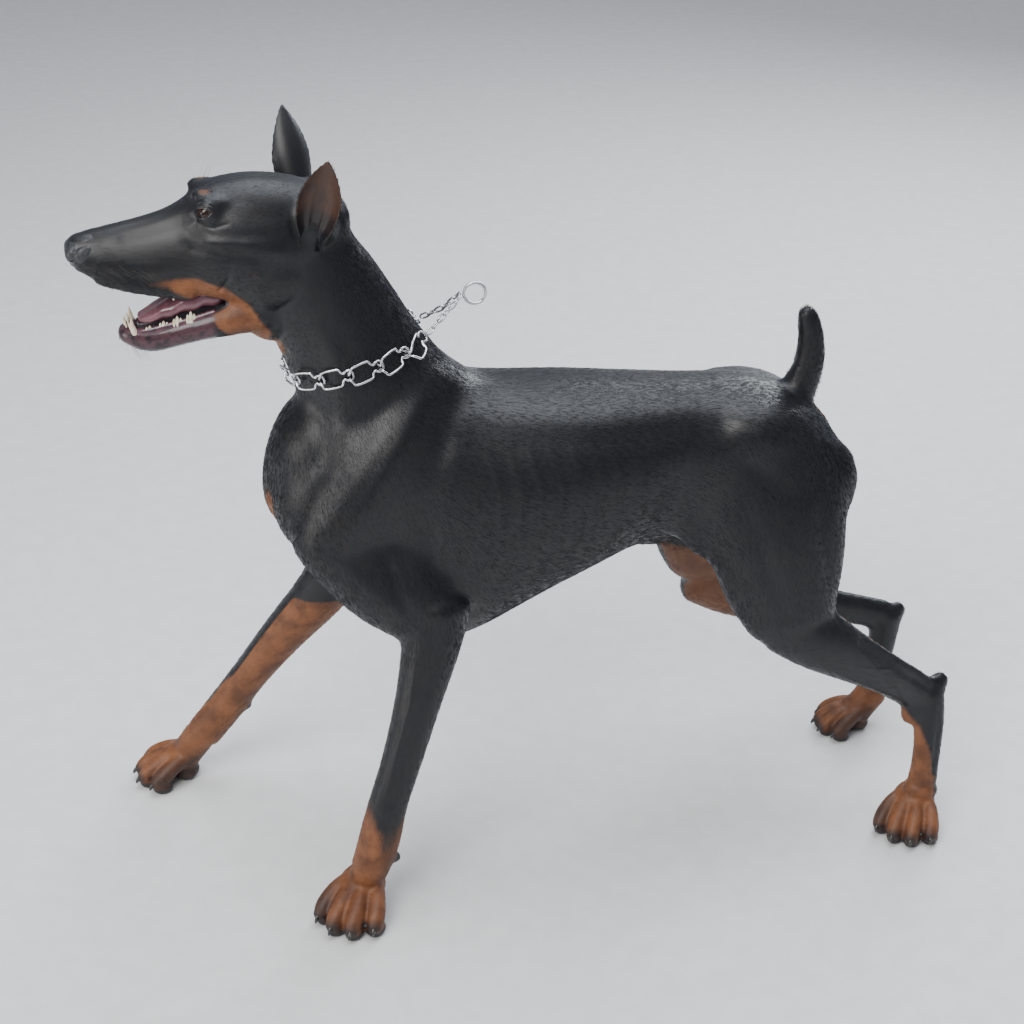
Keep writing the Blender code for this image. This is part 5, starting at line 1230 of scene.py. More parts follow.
def mix_colour(tree, factor, a, b):
    """Mix of two colours, each a socket or a plain colour."""
    item = tree.nodes.new("ShaderNodeMix")
    item.data_type = "RGBA"
    for socket, value in ((item.inputs[0], factor), (item.inputs[6], a), (item.inputs[7], b)):
        if isinstance(value, (int, float)):
            socket.default_value = value
        elif isinstance(value, tuple):
            socket.default_value = (*value, 1.0) if len(value) == 3 else value
        else:
            tree.links.new(value, socket)
    return item.outputs[2]


def map_range(tree, value, low, high, to_low=0.0, to_high=1.0, smooth=True):
    """Value carried from one range to another."""
    item = tree.nodes.new("ShaderNodeMapRange")
    item.interpolation_type = "SMOOTHSTEP" if smooth else "LINEAR"
    tree.links.new(value, item.inputs[0])
    item.inputs[1].default_value = low
    item.inputs[2].default_value = high
    item.inputs[3].default_value = to_low
    item.inputs[4].default_value = to_high
    return item.outputs[0]


def attribute(tree, name):
    """Number stored at the points of the mesh."""
    item = tree.nodes.new("ShaderNodeAttribute")
    item.attribute_name = name
    return item.outputs["Fac"]


def noise(tree, scale, detail=3.0, rough=0.55, stretch=None):
    """Noise over the object's own space."""
    place = tree.nodes.new("ShaderNodeTexCoord")
    vector = place.outputs["Object"]
    if stretch:
        mapping = tree.nodes.new("ShaderNodeMapping")
        mapping.inputs["Scale"].default_value = stretch
        tree.links.new(vector, mapping.inputs["Vector"])
        vector = mapping.outputs[0]
    item = tree.nodes.new("ShaderNodeTexNoise")
    item.inputs["Scale"].default_value = scale
    item.inputs["Detail"].default_value = detail
    item.inputs["Roughness"].default_value = rough
    tree.links.new(vector, item.inputs["Vector"])
    return item.outputs["Fac"]


def new_group(name, outputs, inputs=()):
    """Shader group with named sockets."""
    group = bpy.data.node_groups.new(name, "ShaderNodeTree")
    for label, kind, default in inputs:
        socket = group.interface.new_socket(label, in_out="INPUT", socket_type=kind)
        socket.default_value = default
    for label, kind in outputs:
        group.interface.new_socket(label, in_out="OUTPUT", socket_type=kind)
    into = group.nodes.new("NodeGroupInput")
    out = group.nodes.new("NodeGroupOutput")
    return group, into, out


def coat_group():
    """Colour, roughness and grain of the short coat, from the stored markings."""
    found = bpy.data.node_groups.get("short_coat")
    if found:
        return found
    group, into, out = new_group(
        "short_coat",
        (("Colour", "NodeSocketColor"), ("Roughness", "NodeSocketFloat"), ("Grain", "NodeSocketFloat")),
        (
            ("Black", "NodeSocketColor", (0.012, 0.012, 0.015, 1.0)),
            ("Rust", "NodeSocketColor", (0.300, 0.120, 0.045, 1.0)),
            ("Fine", "NodeSocketFloat", 900.0),
        ),
    )
    rust = attribute(group, "rust")
    dark = attribute(group, "pencil")
    tone = attribute(group, "tone")
    broad = noise(group, 38.0, 4.0)
    fine = group.nodes.new("ShaderNodeTexNoise")
    place = group.nodes.new("ShaderNodeTexCoord")
    link(group, place.outputs["Object"], fine.inputs["Vector"])
    link(group, into.outputs["Fine"], fine.inputs["Scale"])
    fine.inputs["Detail"].default_value = 2.0
    jitter = math_node(group, "MULTIPLY", math_node(group, "SUBTRACT", broad, 0.5), 0.55)
    grain = math_node(group, "MULTIPLY", math_node(group, "SUBTRACT", fine.outputs["Fac"], 0.5), 0.35)
    edge = math_node(group, "ADD", math_node(group, "ADD", rust, jitter), grain)
    mask = map_range(group, edge, 0.30, 0.72)
    keep = map_range(group, rust, 0.02, 0.12)
    mask = math_node(group, "MULTIPLY", mask, keep)
    warm = mix_colour(group, map_range(group, broad, 0.35, 0.70), into.outputs["Rust"], (0.098, 0.034, 0.0125))
    deep = mix_colour(group, math_node(group, "MULTIPLY", dark, 0.93), warm, (0.016, 0.013, 0.013))
    dusk = map_range(group, broad, 0.35, 0.75)
    black = mix_colour(group, dusk, into.outputs["Black"], (0.0085, 0.0080, 0.0085))
    colour = mix_colour(group, mask, black, deep)
    bright = math_node(group, "ADD", math_node(group, "MULTIPLY", tone, 0.6), 0.7)
    speckle = math_node(group, "ADD", math_node(group, "MULTIPLY", fine.outputs["Fac"], 0.5), 0.75)
    level = math_node(group, "MULTIPLY", bright, speckle)
    shade = group.nodes.new("ShaderNodeMix")
    shade.data_type = "RGBA"
    shade.blend_type = "MULTIPLY"
    shade.inputs[0].default_value = 1.0
    link(group, colour, shade.inputs[6])
    grey = group.nodes.new("ShaderNodeCombineColor")
    for k in range(3):
        link(group, level, grey.inputs[k])
    link(group, grey.outputs[0], shade.inputs[7])
    link(group, shade.outputs[2], out.inputs["Colour"])
    link(group, map_range(group, mask, 0.0, 1.0, 0.38, 0.52, False), out.inputs["Roughness"])
    link(group, fine.outputs["Fac"], out.inputs["Grain"])
    return group


def ear_masks(co, nrm):
    """Inner face of the ears and how far up the ear it lies, from 0 at the root to 1 at the tip."""
    inner = np.zeros(len(co))
    height = np.zeros(len(co))
    on_ear = np.zeros(len(co))
    leaf = (
        (-0.30, 0.0230), (0.0, 0.0270), (0.20, 0.0310), (0.42, 0.0300), (0.66, 0.0220),
        (0.87, 0.0105), (1.0, 0.0016),
    )
    for _, base, tip, facing in EARS:
        base = np.array(head_point(base))
        tip = np.array(head_point(tip))
        facing = np.array(head_turn().to_3x3() @ Vector(facing))
        axis = tip - base
        length = np.linalg.norm(axis)
        axis = axis / length
        facing = facing - axis * (facing @ axis)
        facing = facing / np.linalg.norm(facing)
        v = (co - base) @ axis / length
        gap = np.linalg.norm(co - (base + tip) / 2, axis=1)
        near = np.nonzero((v > -0.15) & (v < 1.1) & (gap < 0.075))[0]
        vv = np.clip(v[near], 0, 1)
        half = np.interp(vv, [k[0] for k in leaf], [k[1] for k in leaf])
        curl = np.radians(210.0 + (70.0 - 210.0) * vv ** 0.7)
        radius = half / (curl / 2)
        sway = 0.006 * np.sin(vv * math.pi) - 0.004
        middle = base + axis * (length * vv)[:, None] - facing * sway[:, None] + facing * radius[:, None]
        radial = co[near] - middle
        radial -= np.outer(radial @ axis, axis)
        gap = np.linalg.norm(radial, axis=1)
        member = (np.abs(gap - radius) < 0.0065) & (radial @ facing < radius * 0.55)
        inward = smooth_step(0.0, 0.5, -(nrm[near] * radial).sum(1) / np.maximum(gap, 1e-6))
        inner[near] = np.maximum(inner[near], inward * member)
        on_ear[near] = np.maximum(on_ear[near], member * smooth_step(0.02, 0.14, v[near]))
        height[near] = np.where(member, vv, height[near])
    return inner, height, on_ear


def surface_of(objects):
    """Search tree over the faces of some objects."""
    verts = []
    faces = []
    for obj in objects:
        start = len(verts)
        verts += [v.co.copy() for v in obj.data.vertices]
        faces += [tuple(i + start for i in p.vertices) for p in obj.data.polygons]
    return BVHTree.FromPolygons(verts, faces)


def near_surface(tree, co, chosen, reach):
    """1 for the chosen points that lie within reach of a surface."""
    out = np.zeros(len(co))
    for i in chosen:
        if tree.find_nearest(Vector(co[i]), reach)[0] is not None:
            out[i] = 1.0
    return out


def distance_to(points, targets, limit):
    """Distance of each point to the nearest target, up to a limit."""
    tree = KDTree(len(targets))
    for k, t in enumerate(targets):
        tree.insert(t, k)
    tree.balance()
    out = np.full(len(points), limit)
    for k, p in enumerate(points):
        out[k] = min(tree.find(p)[2], limit)
    return out


def mark_skin(body, mouth_tree):
    """Store the markings and the bare places of the skin at its points."""
    mesh = body.data
    co = mesh_points(mesh)
    nrm = mesh_normals(mesh)
    q = to_head(co)
    box = (q[:, 0] < -0.355) & (q[:, 2] < 0.802) & (q[:, 2] > 0.715) & (np.abs(q[:, 1]) < 0.034)
    mouth = near_surface(mouth_tree, co, np.nonzero(box)[0], 0.0003)
    edges = mesh_edges(mesh)
    across = mouth[edges[:, 0]] != mouth[edges[:, 1]]
    rim = np.unique(edges[across].ravel())
    lip = np.full(len(co), 1.0)
    close = np.nonzero((q[:, 0] < -0.340) & (q[:, 2] < 0.815) & (q[:, 2] > 0.690))[0]
    lip[close] = distance_to(co[close], co[rim], 1.0)
    # wet inner side of the hanging lower lip, turned outward below the teeth
    side_x = q[:, 0]
    low_edge = 0.7062 + (side_x + 0.470) * 0.10
    hanging = smooth_step(-0.5000, -0.4930, side_x) * smooth_step(-0.3880, -0.3960, side_x)
    hanging *= smooth_step(-0.0012, 0.0016, q[:, 2] - low_edge) * (q[:, 2] < 0.7500) * (np.abs(q[:, 1]) < 0.045)
    hanging *= smooth_step(0.760, 0.752, q[:, 2] + (side_x + 0.395) * 0.30)
    mouth = np.maximum(mouth, hanging)
    rim_near = hanging < 0.5
    below = np.abs(q[:, 2] - low_edge) + np.where((side_x < -0.500) | (side_x > -0.388), 1.0, 0.0)
    lip = np.where(rim_near & (q[:, 2] < low_edge + 0.001), np.minimum(lip, below), lip)
    inner, height, on_ear = ear_masks(co, nrm)
    fold = q.copy()
    fold[:, 1] = np.abs(q[:, 1])
    eye = np.linalg.norm(fold - np.array(EYE_CENTRE), axis=1)
    rust = rust_mask(co, nrm)
    # rust inside the ears begins above their root, leaving the root dark as painted shade in the cup
    rust = np.maximum(rust * (1 - on_ear), 0.50 * inner * on_ear * smooth_step(0.10, 0.30, height))
    write_float(mesh, "rust", rust)
    write_float(mesh, "pencil", pencil_mask(co, nrm))
    write_float(mesh, "pad", pad_mask(co, nrm))
    write_float(mesh, "mouth", mouth)
    write_float(mesh, "lip", lip)
    write_float(mesh, "eye_near", eye)
    write_float(mesh, "ear_inner", inner * on_ear)
    write_float(mesh, "ear_height", height)
    write_float(mesh, "tone", np.full(len(co), 0.5))
    return mouth, lip, on_ear, inner


def skin_material(settings):
    """Skin under the coat: the coat's own colours, with bare lips, lids, mouth and pads."""
    mat, tree, shader = new_material("skin_and_short_coat")
    group = tree.nodes.new("ShaderNodeGroup")
    group.node_tree = coat_group()
    group.inputs["Black"].default_value = (*settings.black, 1.0)
    group.inputs["Rust"].default_value = (*settings.rust, 1.0)
    group.inputs["Fine"].default_value = 1300.0
    mouth = attribute(tree, "mouth")
    lip = map_range(tree, attribute(tree, "lip"), 0.0012, 0.0042, 1.0, 0.0)
    lid = map_range(tree, attribute(tree, "eye_near"), EYE_RADIUS + 0.0013, EYE_RADIUS + 0.0026, 1.0, 0.0)
    pad = attribute(tree, "pad")
    mottle = noise(tree, 120.0, 4.0)
    pink = mix_colour(tree, map_range(tree, mottle, 0.42, 0.66), (0.068, 0.030, 0.039), (0.022, 0.014, 0.018))
    bare = mix_colour(tree, map_range(tree, mottle, 0.40, 0.70), (0.016, 0.014, 0.016), (0.040, 0.030, 0.034))
    colour = mix_colour(tree, lip, group.outputs["Colour"], bare)
    colour = mix_colour(tree, mouth, colour, pink)
    colour = mix_colour(tree, lid, colour, (0.010, 0.009, 0.010))
    colour = mix_colour(tree, pad, colour, (0.020, 0.018, 0.019))
    # inner ear: bare brown skin, darkened towards its root with painted shade in the hollow of the cup
    inner = attribute(tree, "ear_inner")
    ear_cup_shade = map_range(tree, attribute(tree, "ear_height"), 0.05, 0.40, 1.0, 0.0)
    root = math_node(tree, "MULTIPLY", inner, ear_cup_shade)
    bare_ear = math_node(tree, "MULTIPLY", inner, 0.62)
    colour = mix_colour(tree, bare_ear, colour, (0.030, 0.0145, 0.0100))
    colour = mix_colour(tree, root, colour, (0.014, 0.011, 0.011))
    link(tree, colour, shader.inputs["Base Color"])
    wet = math_node(tree, "MAXIMUM", mouth, math_node(tree, "MULTIPLY", lip, 0.6))
    rough = tree.nodes.new("ShaderNodeMix")
    rough.data_type = "FLOAT"
    link(tree, wet, rough.inputs[0])
    link(tree, group.outputs["Roughness"], rough.inputs[2])
    rough.inputs[3].default_value = 0.24
    link(tree, rough.outputs[0], shader.inputs["Roughness"])
    shader.inputs["Specular IOR Level"].default_value = 0.40
    shader.inputs["Sheen Weight"].default_value = settings.sheen
    shader.inputs["Sheen Roughness"].default_value = 0.45
    shader.inputs["Sheen Tint"].default_value = (0.70, 0.80, 1.0, 1.0)
    bump = tree.nodes.new("ShaderNodeBump")
    bump.inputs["Strength"].default_value = 0.20
    bump.inputs["Distance"].default_value = 0.0006
    cracked = tree.nodes.new("ShaderNodeTexVoronoi")
    cracked.inputs["Scale"].default_value = 700.0
    place = tree.nodes.new("ShaderNodeTexCoord")
    link(tree, place.outputs["Object"], cracked.inputs["Vector"])
    pad_cracks = math_node(tree, "MULTIPLY", cracked.outputs["Distance"], pad)
    height = math_node(tree, "ADD", group.outputs["Grain"], pad_cracks)
    dry = math_node(tree, "SUBTRACT", 1.0, wet)
    link(tree, math_node(tree, "MULTIPLY", height, dry), bump.inputs["Height"])
    link(tree, bump.outputs[0], shader.inputs["Normal"])
    return mat


# ways that the coat lies: place, direction
LIE_BOTH = (
    ((-0.520, 0.000, 0.850), (1.0, 0.0, 0.20)), ((-0.460, 0.000, 0.860), (1.0, 0.0, 0.15)),
    ((-0.405, 0.000, 0.882), (1.0, 0.0, 0.45)), ((-0.345, 0.000, 0.895), (1.0, 0.0, -0.05)),
    ((-0.285, 0.000, 0.880), (0.8, 0.0, -0.60)), ((-0.505, 0.026, 0.815), (1.0, 0.2, -0.10)),
    ((-0.450, 0.036, 0.812), (1.0, 0.1, -0.08)), ((-0.405, 0.046, 0.832), (1.0, 0.2, -0.10)),
    ((-0.380, 0.046, 0.872), (1.0, 0.2, 0.20)), ((-0.345, 0.056, 0.850), (1.0, 0.0, -0.10)),
    ((-0.350, 0.058, 0.800), (0.9, 0.0, -0.45)), ((-0.370, 0.046, 0.750), (0.9, 0.0, -0.40)),
    ((-0.450, 0.028, 0.705), (1.0, 0.0, 0.05)), ((-0.390, 0.030, 0.710), (1.0, 0.0, 0.0)),
    ((-0.322, 0.020, 0.700), (0.8, 0.0, -0.70)), ((-0.300, 0.055, 0.830), (0.7, 0.0, -0.70)),
    ((-0.235, 0.000, 0.800), (0.45, 0.0, -0.90)), ((-0.262, 0.058, 0.750), (0.35, 0.0, -0.93)),
    ((-0.320, 0.000, 0.640), (0.15, 0.0, -1.0)), ((-0.240, 0.070, 0.660), (0.25, 0.0, -0.97)),
    ((-0.180, 0.000, 0.700), (0.45, 0.0, -0.90)), ((-0.150, 0.000, 0.668), (0.90, 0.0, -0.30)),
    ((0.000, 0.000, 0.626), (1.0, 0.0, 0.0)), ((0.150, 0.000, 0.612), (1.0, 0.0, 0.0)),
    ((0.280, 0.000, 0.600), (0.85, 0.0, -0.50)), ((-0.050, 0.116, 0.500), (0.90, 0.0, -0.42)),
    ((-0.100, 0.080, 0.600), (0.90, 0.0, -0.42)), ((0.080, 0.095, 0.500), (0.95, 0.0, -0.30)),
    ((0.170, 0.085, 0.500), (0.85, 0.0, -0.50)), ((0.100, 0.000, 0.404), (1.0, 0.0, 0.10)),
    ((-0.050, 0.000, 0.336), (1.0, 0.0, 0.30)), ((-0.200, 0.000, 0.304), (1.0, 0.0, -0.05)),
    ((-0.215, 0.105, 0.520), (0.45, 0.0, -0.90)), ((-0.200, 0.120, 0.420), (0.30, 0.0, -0.95)),
    ((-0.335, 0.000, 0.520), (0.15, 0.0, -1.0)), ((-0.305, 0.060, 0.460), (0.25, 0.0, -1.0)),
    ((0.230, 0.090, 0.490), (0.40, 0.0, -0.92)), ((0.340, 0.040, 0.500), (0.15, 0.0, -1.0)),
    ((0.304, 0.000, 0.650), (0.0, 0.0, 1.0)), ((0.300, 0.000, 0.690), (0.0, 0.0, 1.0)),
)
LIE_LEFT = (
    ((-0.180, -0.120, 0.330), (-0.20, -0.1, -1.0)), ((-0.212, -0.145, 0.200), (-0.28, -0.1, -1.0)),
    ((-0.250, -0.163, 0.090), (-0.30, -0.1, -1.0)), ((-0.290, -0.188, 0.045), (-0.65, -0.72, -0.40)),
    ((0.268, -0.100, 0.380), (0.25, 0.0, -0.96)), ((0.320, -0.105, 0.290), (0.75, 0.0, -0.65)),
    ((0.400, -0.100, 0.230), (0.82, 0.0, -0.55)), ((0.480, -0.080, 0.190), (0.40, 0.0, -0.90)),
    ((0.467, -0.095, 0.100), (0.0, -0.1, -1.0)), ((0.425, -0.135, 0.040), (-0.65, -0.68, -0.40)),
    ((-0.272, -0.066, 0.885), (0.12, -0.42, 0.90)), ((-0.267, -0.082, 0.925), (0.12, -0.42, 0.90)),
)
LIE_RIGHT = (
    ((-0.280, 0.106, 0.300), (-0.55, 0.2, -0.80)), ((-0.370, 0.140, 0.170), (-0.58, 0.1, -0.80)),
    ((-0.435, 0.152, 0.085), (-0.65, 0.0, -0.75)), ((-0.500, 0.157, 0.045), (-0.92, -0.1, -0.40)),
    ((0.220, 0.125, 0.330), (0.20, 0.1, -0.96)), ((0.285, 0.140, 0.240), (0.85, 0.0, -0.50)),
    ((0.400, 0.145, 0.195), (0.93, 0.0, -0.35)), ((0.505, 0.148, 0.165), (0.40, 0.0, -0.90)),
    ((0.485, 0.142, 0.110), (-0.10, -0.05, -1.0)), ((0.430, 0.125, 0.040), (-0.92, -0.15, -0.40)),
    ((-0.284, 0.066, 0.890), (-0.15, 0.42, 0.90)), ((-0.290, 0.082, 0.930), (-0.15, 0.42, 0.90)),
)


def lie_guides():
    """All places and directions of the lie, both sides."""
    out = []
    for (x, y, z), (dx, dy, dz) in LIE_BOTH:
        out.append((x, y, z, dx, dy, dz))
        if y > 0:
            out.append((x, -y, z, dx, -dy, dz))
    for p, d in LIE_LEFT + LIE_RIGHT:
        out.append((*p, *d))
    return np.array(out)


def lie_at(points, nrm):
    """Unit direction in which the coat lies at each point, along the skin."""
    guides = lie_guides()
    out = np.zeros_like(points)
    directions = guides[:, 3:] / np.linalg.norm(guides[:, 3:], axis=1)[:, None]
    for start in range(0, len(points), 20000):
        part = points[start:start + 20000]
        d2 = ((part[:, None, :] - guides[None, :, :3]) ** 2).sum(2)
        weight = 1 / (d2 + 0.0004) ** 2
        out[start:start + 20000] = weight @ directions
    out -= nrm * (out * nrm).sum(1)[:, None]
    return out / np.maximum(np.linalg.norm(out, axis=1), 1e-9)[:, None]


def inside_box(points):
    """Points kept just inside the box of the solids."""
    low = np.array(CAD_BOX[0]) - np.array(CENTRE_SHIFT) + 0.0002
    high = np.array(CAD_BOX[1]) - np.array(CENTRE_SHIFT) - 0.0002
    return np.clip(points, low, high)


def bulk_mesh(name, co, triangles):
    """Mesh from arrays of points and triangles."""
    mesh = bpy.data.meshes.new(name)
    mesh.vertices.add(len(co))
    mesh.vertices.foreach_set("co", np.ascontiguousarray(co, dtype=np.float32).ravel())
    mesh.loops.add(len(triangles) * 3)
    mesh.loops.foreach_set("vertex_index", np.ascontiguousarray(triangles, dtype=np.int32).ravel())
    mesh.polygons.add(len(triangles))
    mesh.polygons.foreach_set("loop_start", np.arange(0, len(triangles) * 3, 3, dtype=np.int32))
    mesh.update(calc_edges=True)
    return mesh


# coat pieces: name, slot, tufts, length, width, lift in degrees, and the axis of their unwrap
COAT_PIECES = (
    ("coat_head", "black_coat", 24000, 0.0042, 0.00050, 5.0, (-0.39, 0.0, 0.80), (-1.0, 0.0, 0.0)),
    ("coat_neck", "black_coat", 19000, 0.0085, 0.00072, 4.5, (-0.26, 0.0, 0.70), (-0.45, 0.0, 0.89)),
    ("coat_chest_left", "black_coat", 20000, 0.0090, 0.00078, 4.5, (-0.15, 0.0, 0.47), (1.0, 0.0, 0.0)),
    ("coat_chest_right", "black_coat", 20000, 0.0090, 0.00078, 4.5, (-0.15, 0.0, 0.47), (1.0, 0.0, 0.0)),
    ("coat_loin_left", "black_coat", 19000, 0.0090, 0.00078, 4.5, (0.20, 0.0, 0.49), (1.0, 0.0, 0.0)),
    ("coat_loin_right", "black_coat", 19000, 0.0090, 0.00078, 4.5, (0.20, 0.0, 0.49), (1.0, 0.0, 0.0)),
    ("coat_forelegs", "rust_coat", 17000, 0.0062, 0.00060, 5.0, (-0.30, 0.0, 0.20), (0.0, 0.0, 1.0)),
    ("coat_hind_legs", "rust_coat", 19000, 0.0066, 0.00062, 5.0, (0.38, 0.0, 0.20), (0.0, 0.0, 1.0)),
)


def coat_region(co):
    """Which coat piece each point belongs to."""
    x = co[:, 0]
    y = co[:, 1]
    z = co[:, 2]
    region = np.where(y < 0, 2, 3)
    region = np.where(x > 0.02, np.where(y < 0, 4, 5), region)
    region = np.where((z < 0.335) & (x < 0.02) & (np.abs(y) > 0.045), 6, region)
    region = np.where((z < 0.335) & (x > 0.10), 7, region)
    region = np.where((x < -0.13) & (z > 0.615 - (x + 0.25) * 0.45), 1, region)
    region = np.where((x < -0.262) & (z > 0.675 - (x + 0.33) * 0.9), 0, region)
    return region


def grow_coat(index, skin_data, settings, material):
    """One coat piece: thin closed tufts that lie along the skin, rooted in it."""
    name, slot_name, count, length, width, lift, middle, axis = COAT_PIECES[index]
    co, nrm, triangles, region, density, size, values = skin_data
    rng = np.random.default_rng(100 + index)
    corners = co[triangles]
    chosen = np.nonzero(region[triangles[:, 0]] == index)[0]
    area = 0.5 * np.linalg.norm(np.cross(
        corners[chosen, 1] - corners[chosen, 0], corners[chosen, 2] - corners[chosen, 0]), axis=1)
    weight = area * density[triangles[chosen]].mean(1)
    if weight.sum() <= 0:
        raise RuntimeError("no skin to grow " + name + " on")
    total = int(count * settings.fullness)
    pick = rng.choice(len(chosen), total, p=weight / weight.sum())
    tri = triangles[chosen[pick]]
    a = rng.random(total)
    b = rng.random(total)
    flip = a + b > 1
    a[flip] = 1 - a[flip]
    b[flip] = 1 - b[flip]
    c = 1 - a - b
    root = co[tri[:, 0]] * c[:, None] + co[tri[:, 1]] * a[:, None] + co[tri[:, 2]] * b[:, None]
    up = nrm[tri[:, 0]] * c[:, None] + nrm[tri[:, 1]] * a[:, None] + nrm[tri[:, 2]] * b[:, None]
    up /= np.linalg.norm(up, axis=1)[:, None]
    lie = lie_at(root, up)
    side = np.cross(up, lie)
    turn = rng.normal(0, 0.16, total)
    lie = lie * np.cos(turn)[:, None] + side * np.sin(turn)[:, None]
    side = np.cross(up, lie)
    near = tri[:, 0]
    scale = size[near]
    long = length * settings.tuft_length * scale * rng.uniform(0.7, 1.25, total)
    wide = width * np.sqrt(scale) * rng.uniform(0.8, 1.3, total)
    rise = np.radians(lift) * rng.uniform(0.4, 1.5, total)
    sink = up * 0.00025
    base = root - sink
    left = base - side * (wide / 2)[:, None]
    right = base + side * (wide / 2)[:, None]
    tip = root + lie * (long * np.cos(rise))[:, None] + up * (long * np.sin(rise))[:, None]
    ridge = base + (tip - base) * 0.30 + up * (wide * 0.30 + 0.00008)[:, None]
    points = inside_box(np.stack((left, right, ridge, tip), axis=1).reshape(-1, 3))
    first = np.arange(total)[:, None] * 4
    faces = np.concatenate([first + np.array(f) for f in ((0, 2, 1), (0, 3, 2), (2, 3, 1), (1, 3, 0))], axis=1)
    mesh = bulk_mesh(name, points, faces.reshape(-1, 3))
    middle = np.array(middle)
    axis = np.array(axis) / np.linalg.norm(axis)
    hint = np.array((0.0, 1.0, 0.0))
    other = np.cross(axis, hint)
    rel = root - middle
    t = rel @ axis
    u = np.arctan2(rel @ hint, rel @ other) / (2 * math.pi) + 0.5
    v = (t - t.min()) / max(t.max() - t.min(), 1e-9)
    uv = np.stack((0.004 + 0.989 * u, 0.004 + 0.989 * v), axis=1)
    offsets = np.array(((0.0, 0.0), (1.0, 0.0), (0.5, 0.5), (0.5, 1.0))) * 0.003
    corner_uv = (uv[:, None, :] + offsets[None]).reshape(-1, 2)
    layer = mesh.uv_layers.new(name="OFBake")
    layer.uv.foreach_set("vector", corner_uv[faces.reshape(-1)].astype(np.float32).ravel())
    for label, value in values.items():
        write_float(mesh, label, np.repeat(value[near], 4))
    tone = np.repeat(rng.uniform(0.0, 1.0, total), 4)
    write_float(mesh, "tone", tone)
    lean = rng.normal(0, 0.10, (total, 1))
    shade = np.stack((
        up - side * 0.45, up + side * 0.45, up + side * lean, up + lie * 0.15 + side * lean,
    ), axis=1).reshape(-1, 3)
    shade /= np.linalg.norm(shade, axis=1)[:, None]
    mesh.normals_split_custom_set_from_vertices(shade)
    obj = bpy.data.objects.new(name, mesh)
    bpy.context.collection.objects.link(obj)
    obj.location = CENTRE_SHIFT
    mesh.materials.append(material)
    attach(obj, "root")
    return obj


def coat_material(settings):
    """Tufts of the short coat, coloured by the same markings as the skin."""
    mat, tree, shader = new_material("short_coat_tufts")
    group = tree.nodes.new("ShaderNodeGroup")
    group.node_tree = coat_group()
    group.inputs["Black"].default_value = (*settings.black, 1.0)
    group.inputs["Rust"].default_value = (*settings.rust, 1.0)
    group.inputs["Fine"].default_value = 500.0
    link(tree, group.outputs["Colour"], shader.inputs["Base Color"])
    link(tree, group.outputs["Roughness"], shader.inputs["Roughness"])
    shader.inputs["Specular IOR Level"].default_value = 0.40
    shader.inputs["Sheen Weight"].default_value = settings.sheen
    shader.inputs["Sheen Roughness"].default_value = 0.45
    shader.inputs["Sheen Tint"].default_value = (0.70, 0.80, 1.0, 1.0)
    return mat


def place_piece(obj, name, material, nodes=(), smooth=True):
    """Name a finished piece, set it over the origin and hide the solids it stands for."""
    obj.name = name
    obj.data.name = name
    if smooth:
        obj.data.shade_smooth()
    obj.data.materials.clear()
    obj.data.materials.append(material)
    put_points(obj.data, inside_box(mesh_points(obj.data)))
    obj.location = CENTRE_SHIFT
    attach(obj, "root")
    if nodes:
        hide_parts(*nodes)
    return obj


def eyeball(side):
    """Eyeball with its clear bulge in front, its own Z axis along the gaze."""
    rings = []
    count = 56
    bulge = math.radians(33)
    for i in range(1, 40):
        angle = math.pi * i / 40
        radius = EYE_RADIUS * 0.985
        if angle < bulge * 1.25:
            t = angle / bulge
            radius += 0.0011 * max(0.0, 1 - t * t) ** 1.3
        ring = []
        for j in range(count):
            turn = 2 * math.pi * j / count
            ring.append(Vector((
                radius * math.sin(angle) * math.cos(turn), radius * math.sin(angle) * math.sin(turn),
                radius * math.cos(angle))))
        rings.append(ring)
    obj = loft("eyeball", rings)
    for i, co in ((0, EYE_RADIUS * 0.985 + 0.0011), (1, -EYE_RADIUS * 0.985)):
        obj.data.vertices[len(obj.data.vertices) - 2 + i].co = (0, 0, co)
    centre, gaze, wide, high = eye_axes(side)
    turn = head_turn()
    facing = turn.to_3x3() @ gaze
    across = turn.to_3x3() @ wide
    up = facing.cross(across)
    frame_of_eye = Matrix.Identity(4)
    for i in range(3):
        frame_of_eye[i][0] = across[i]
        frame_of_eye[i][1] = up[i]
        frame_of_eye[i][2] = facing[i]
        frame_of_eye[i][3] = (turn @ centre)[i]
    return obj, frame_of_eye


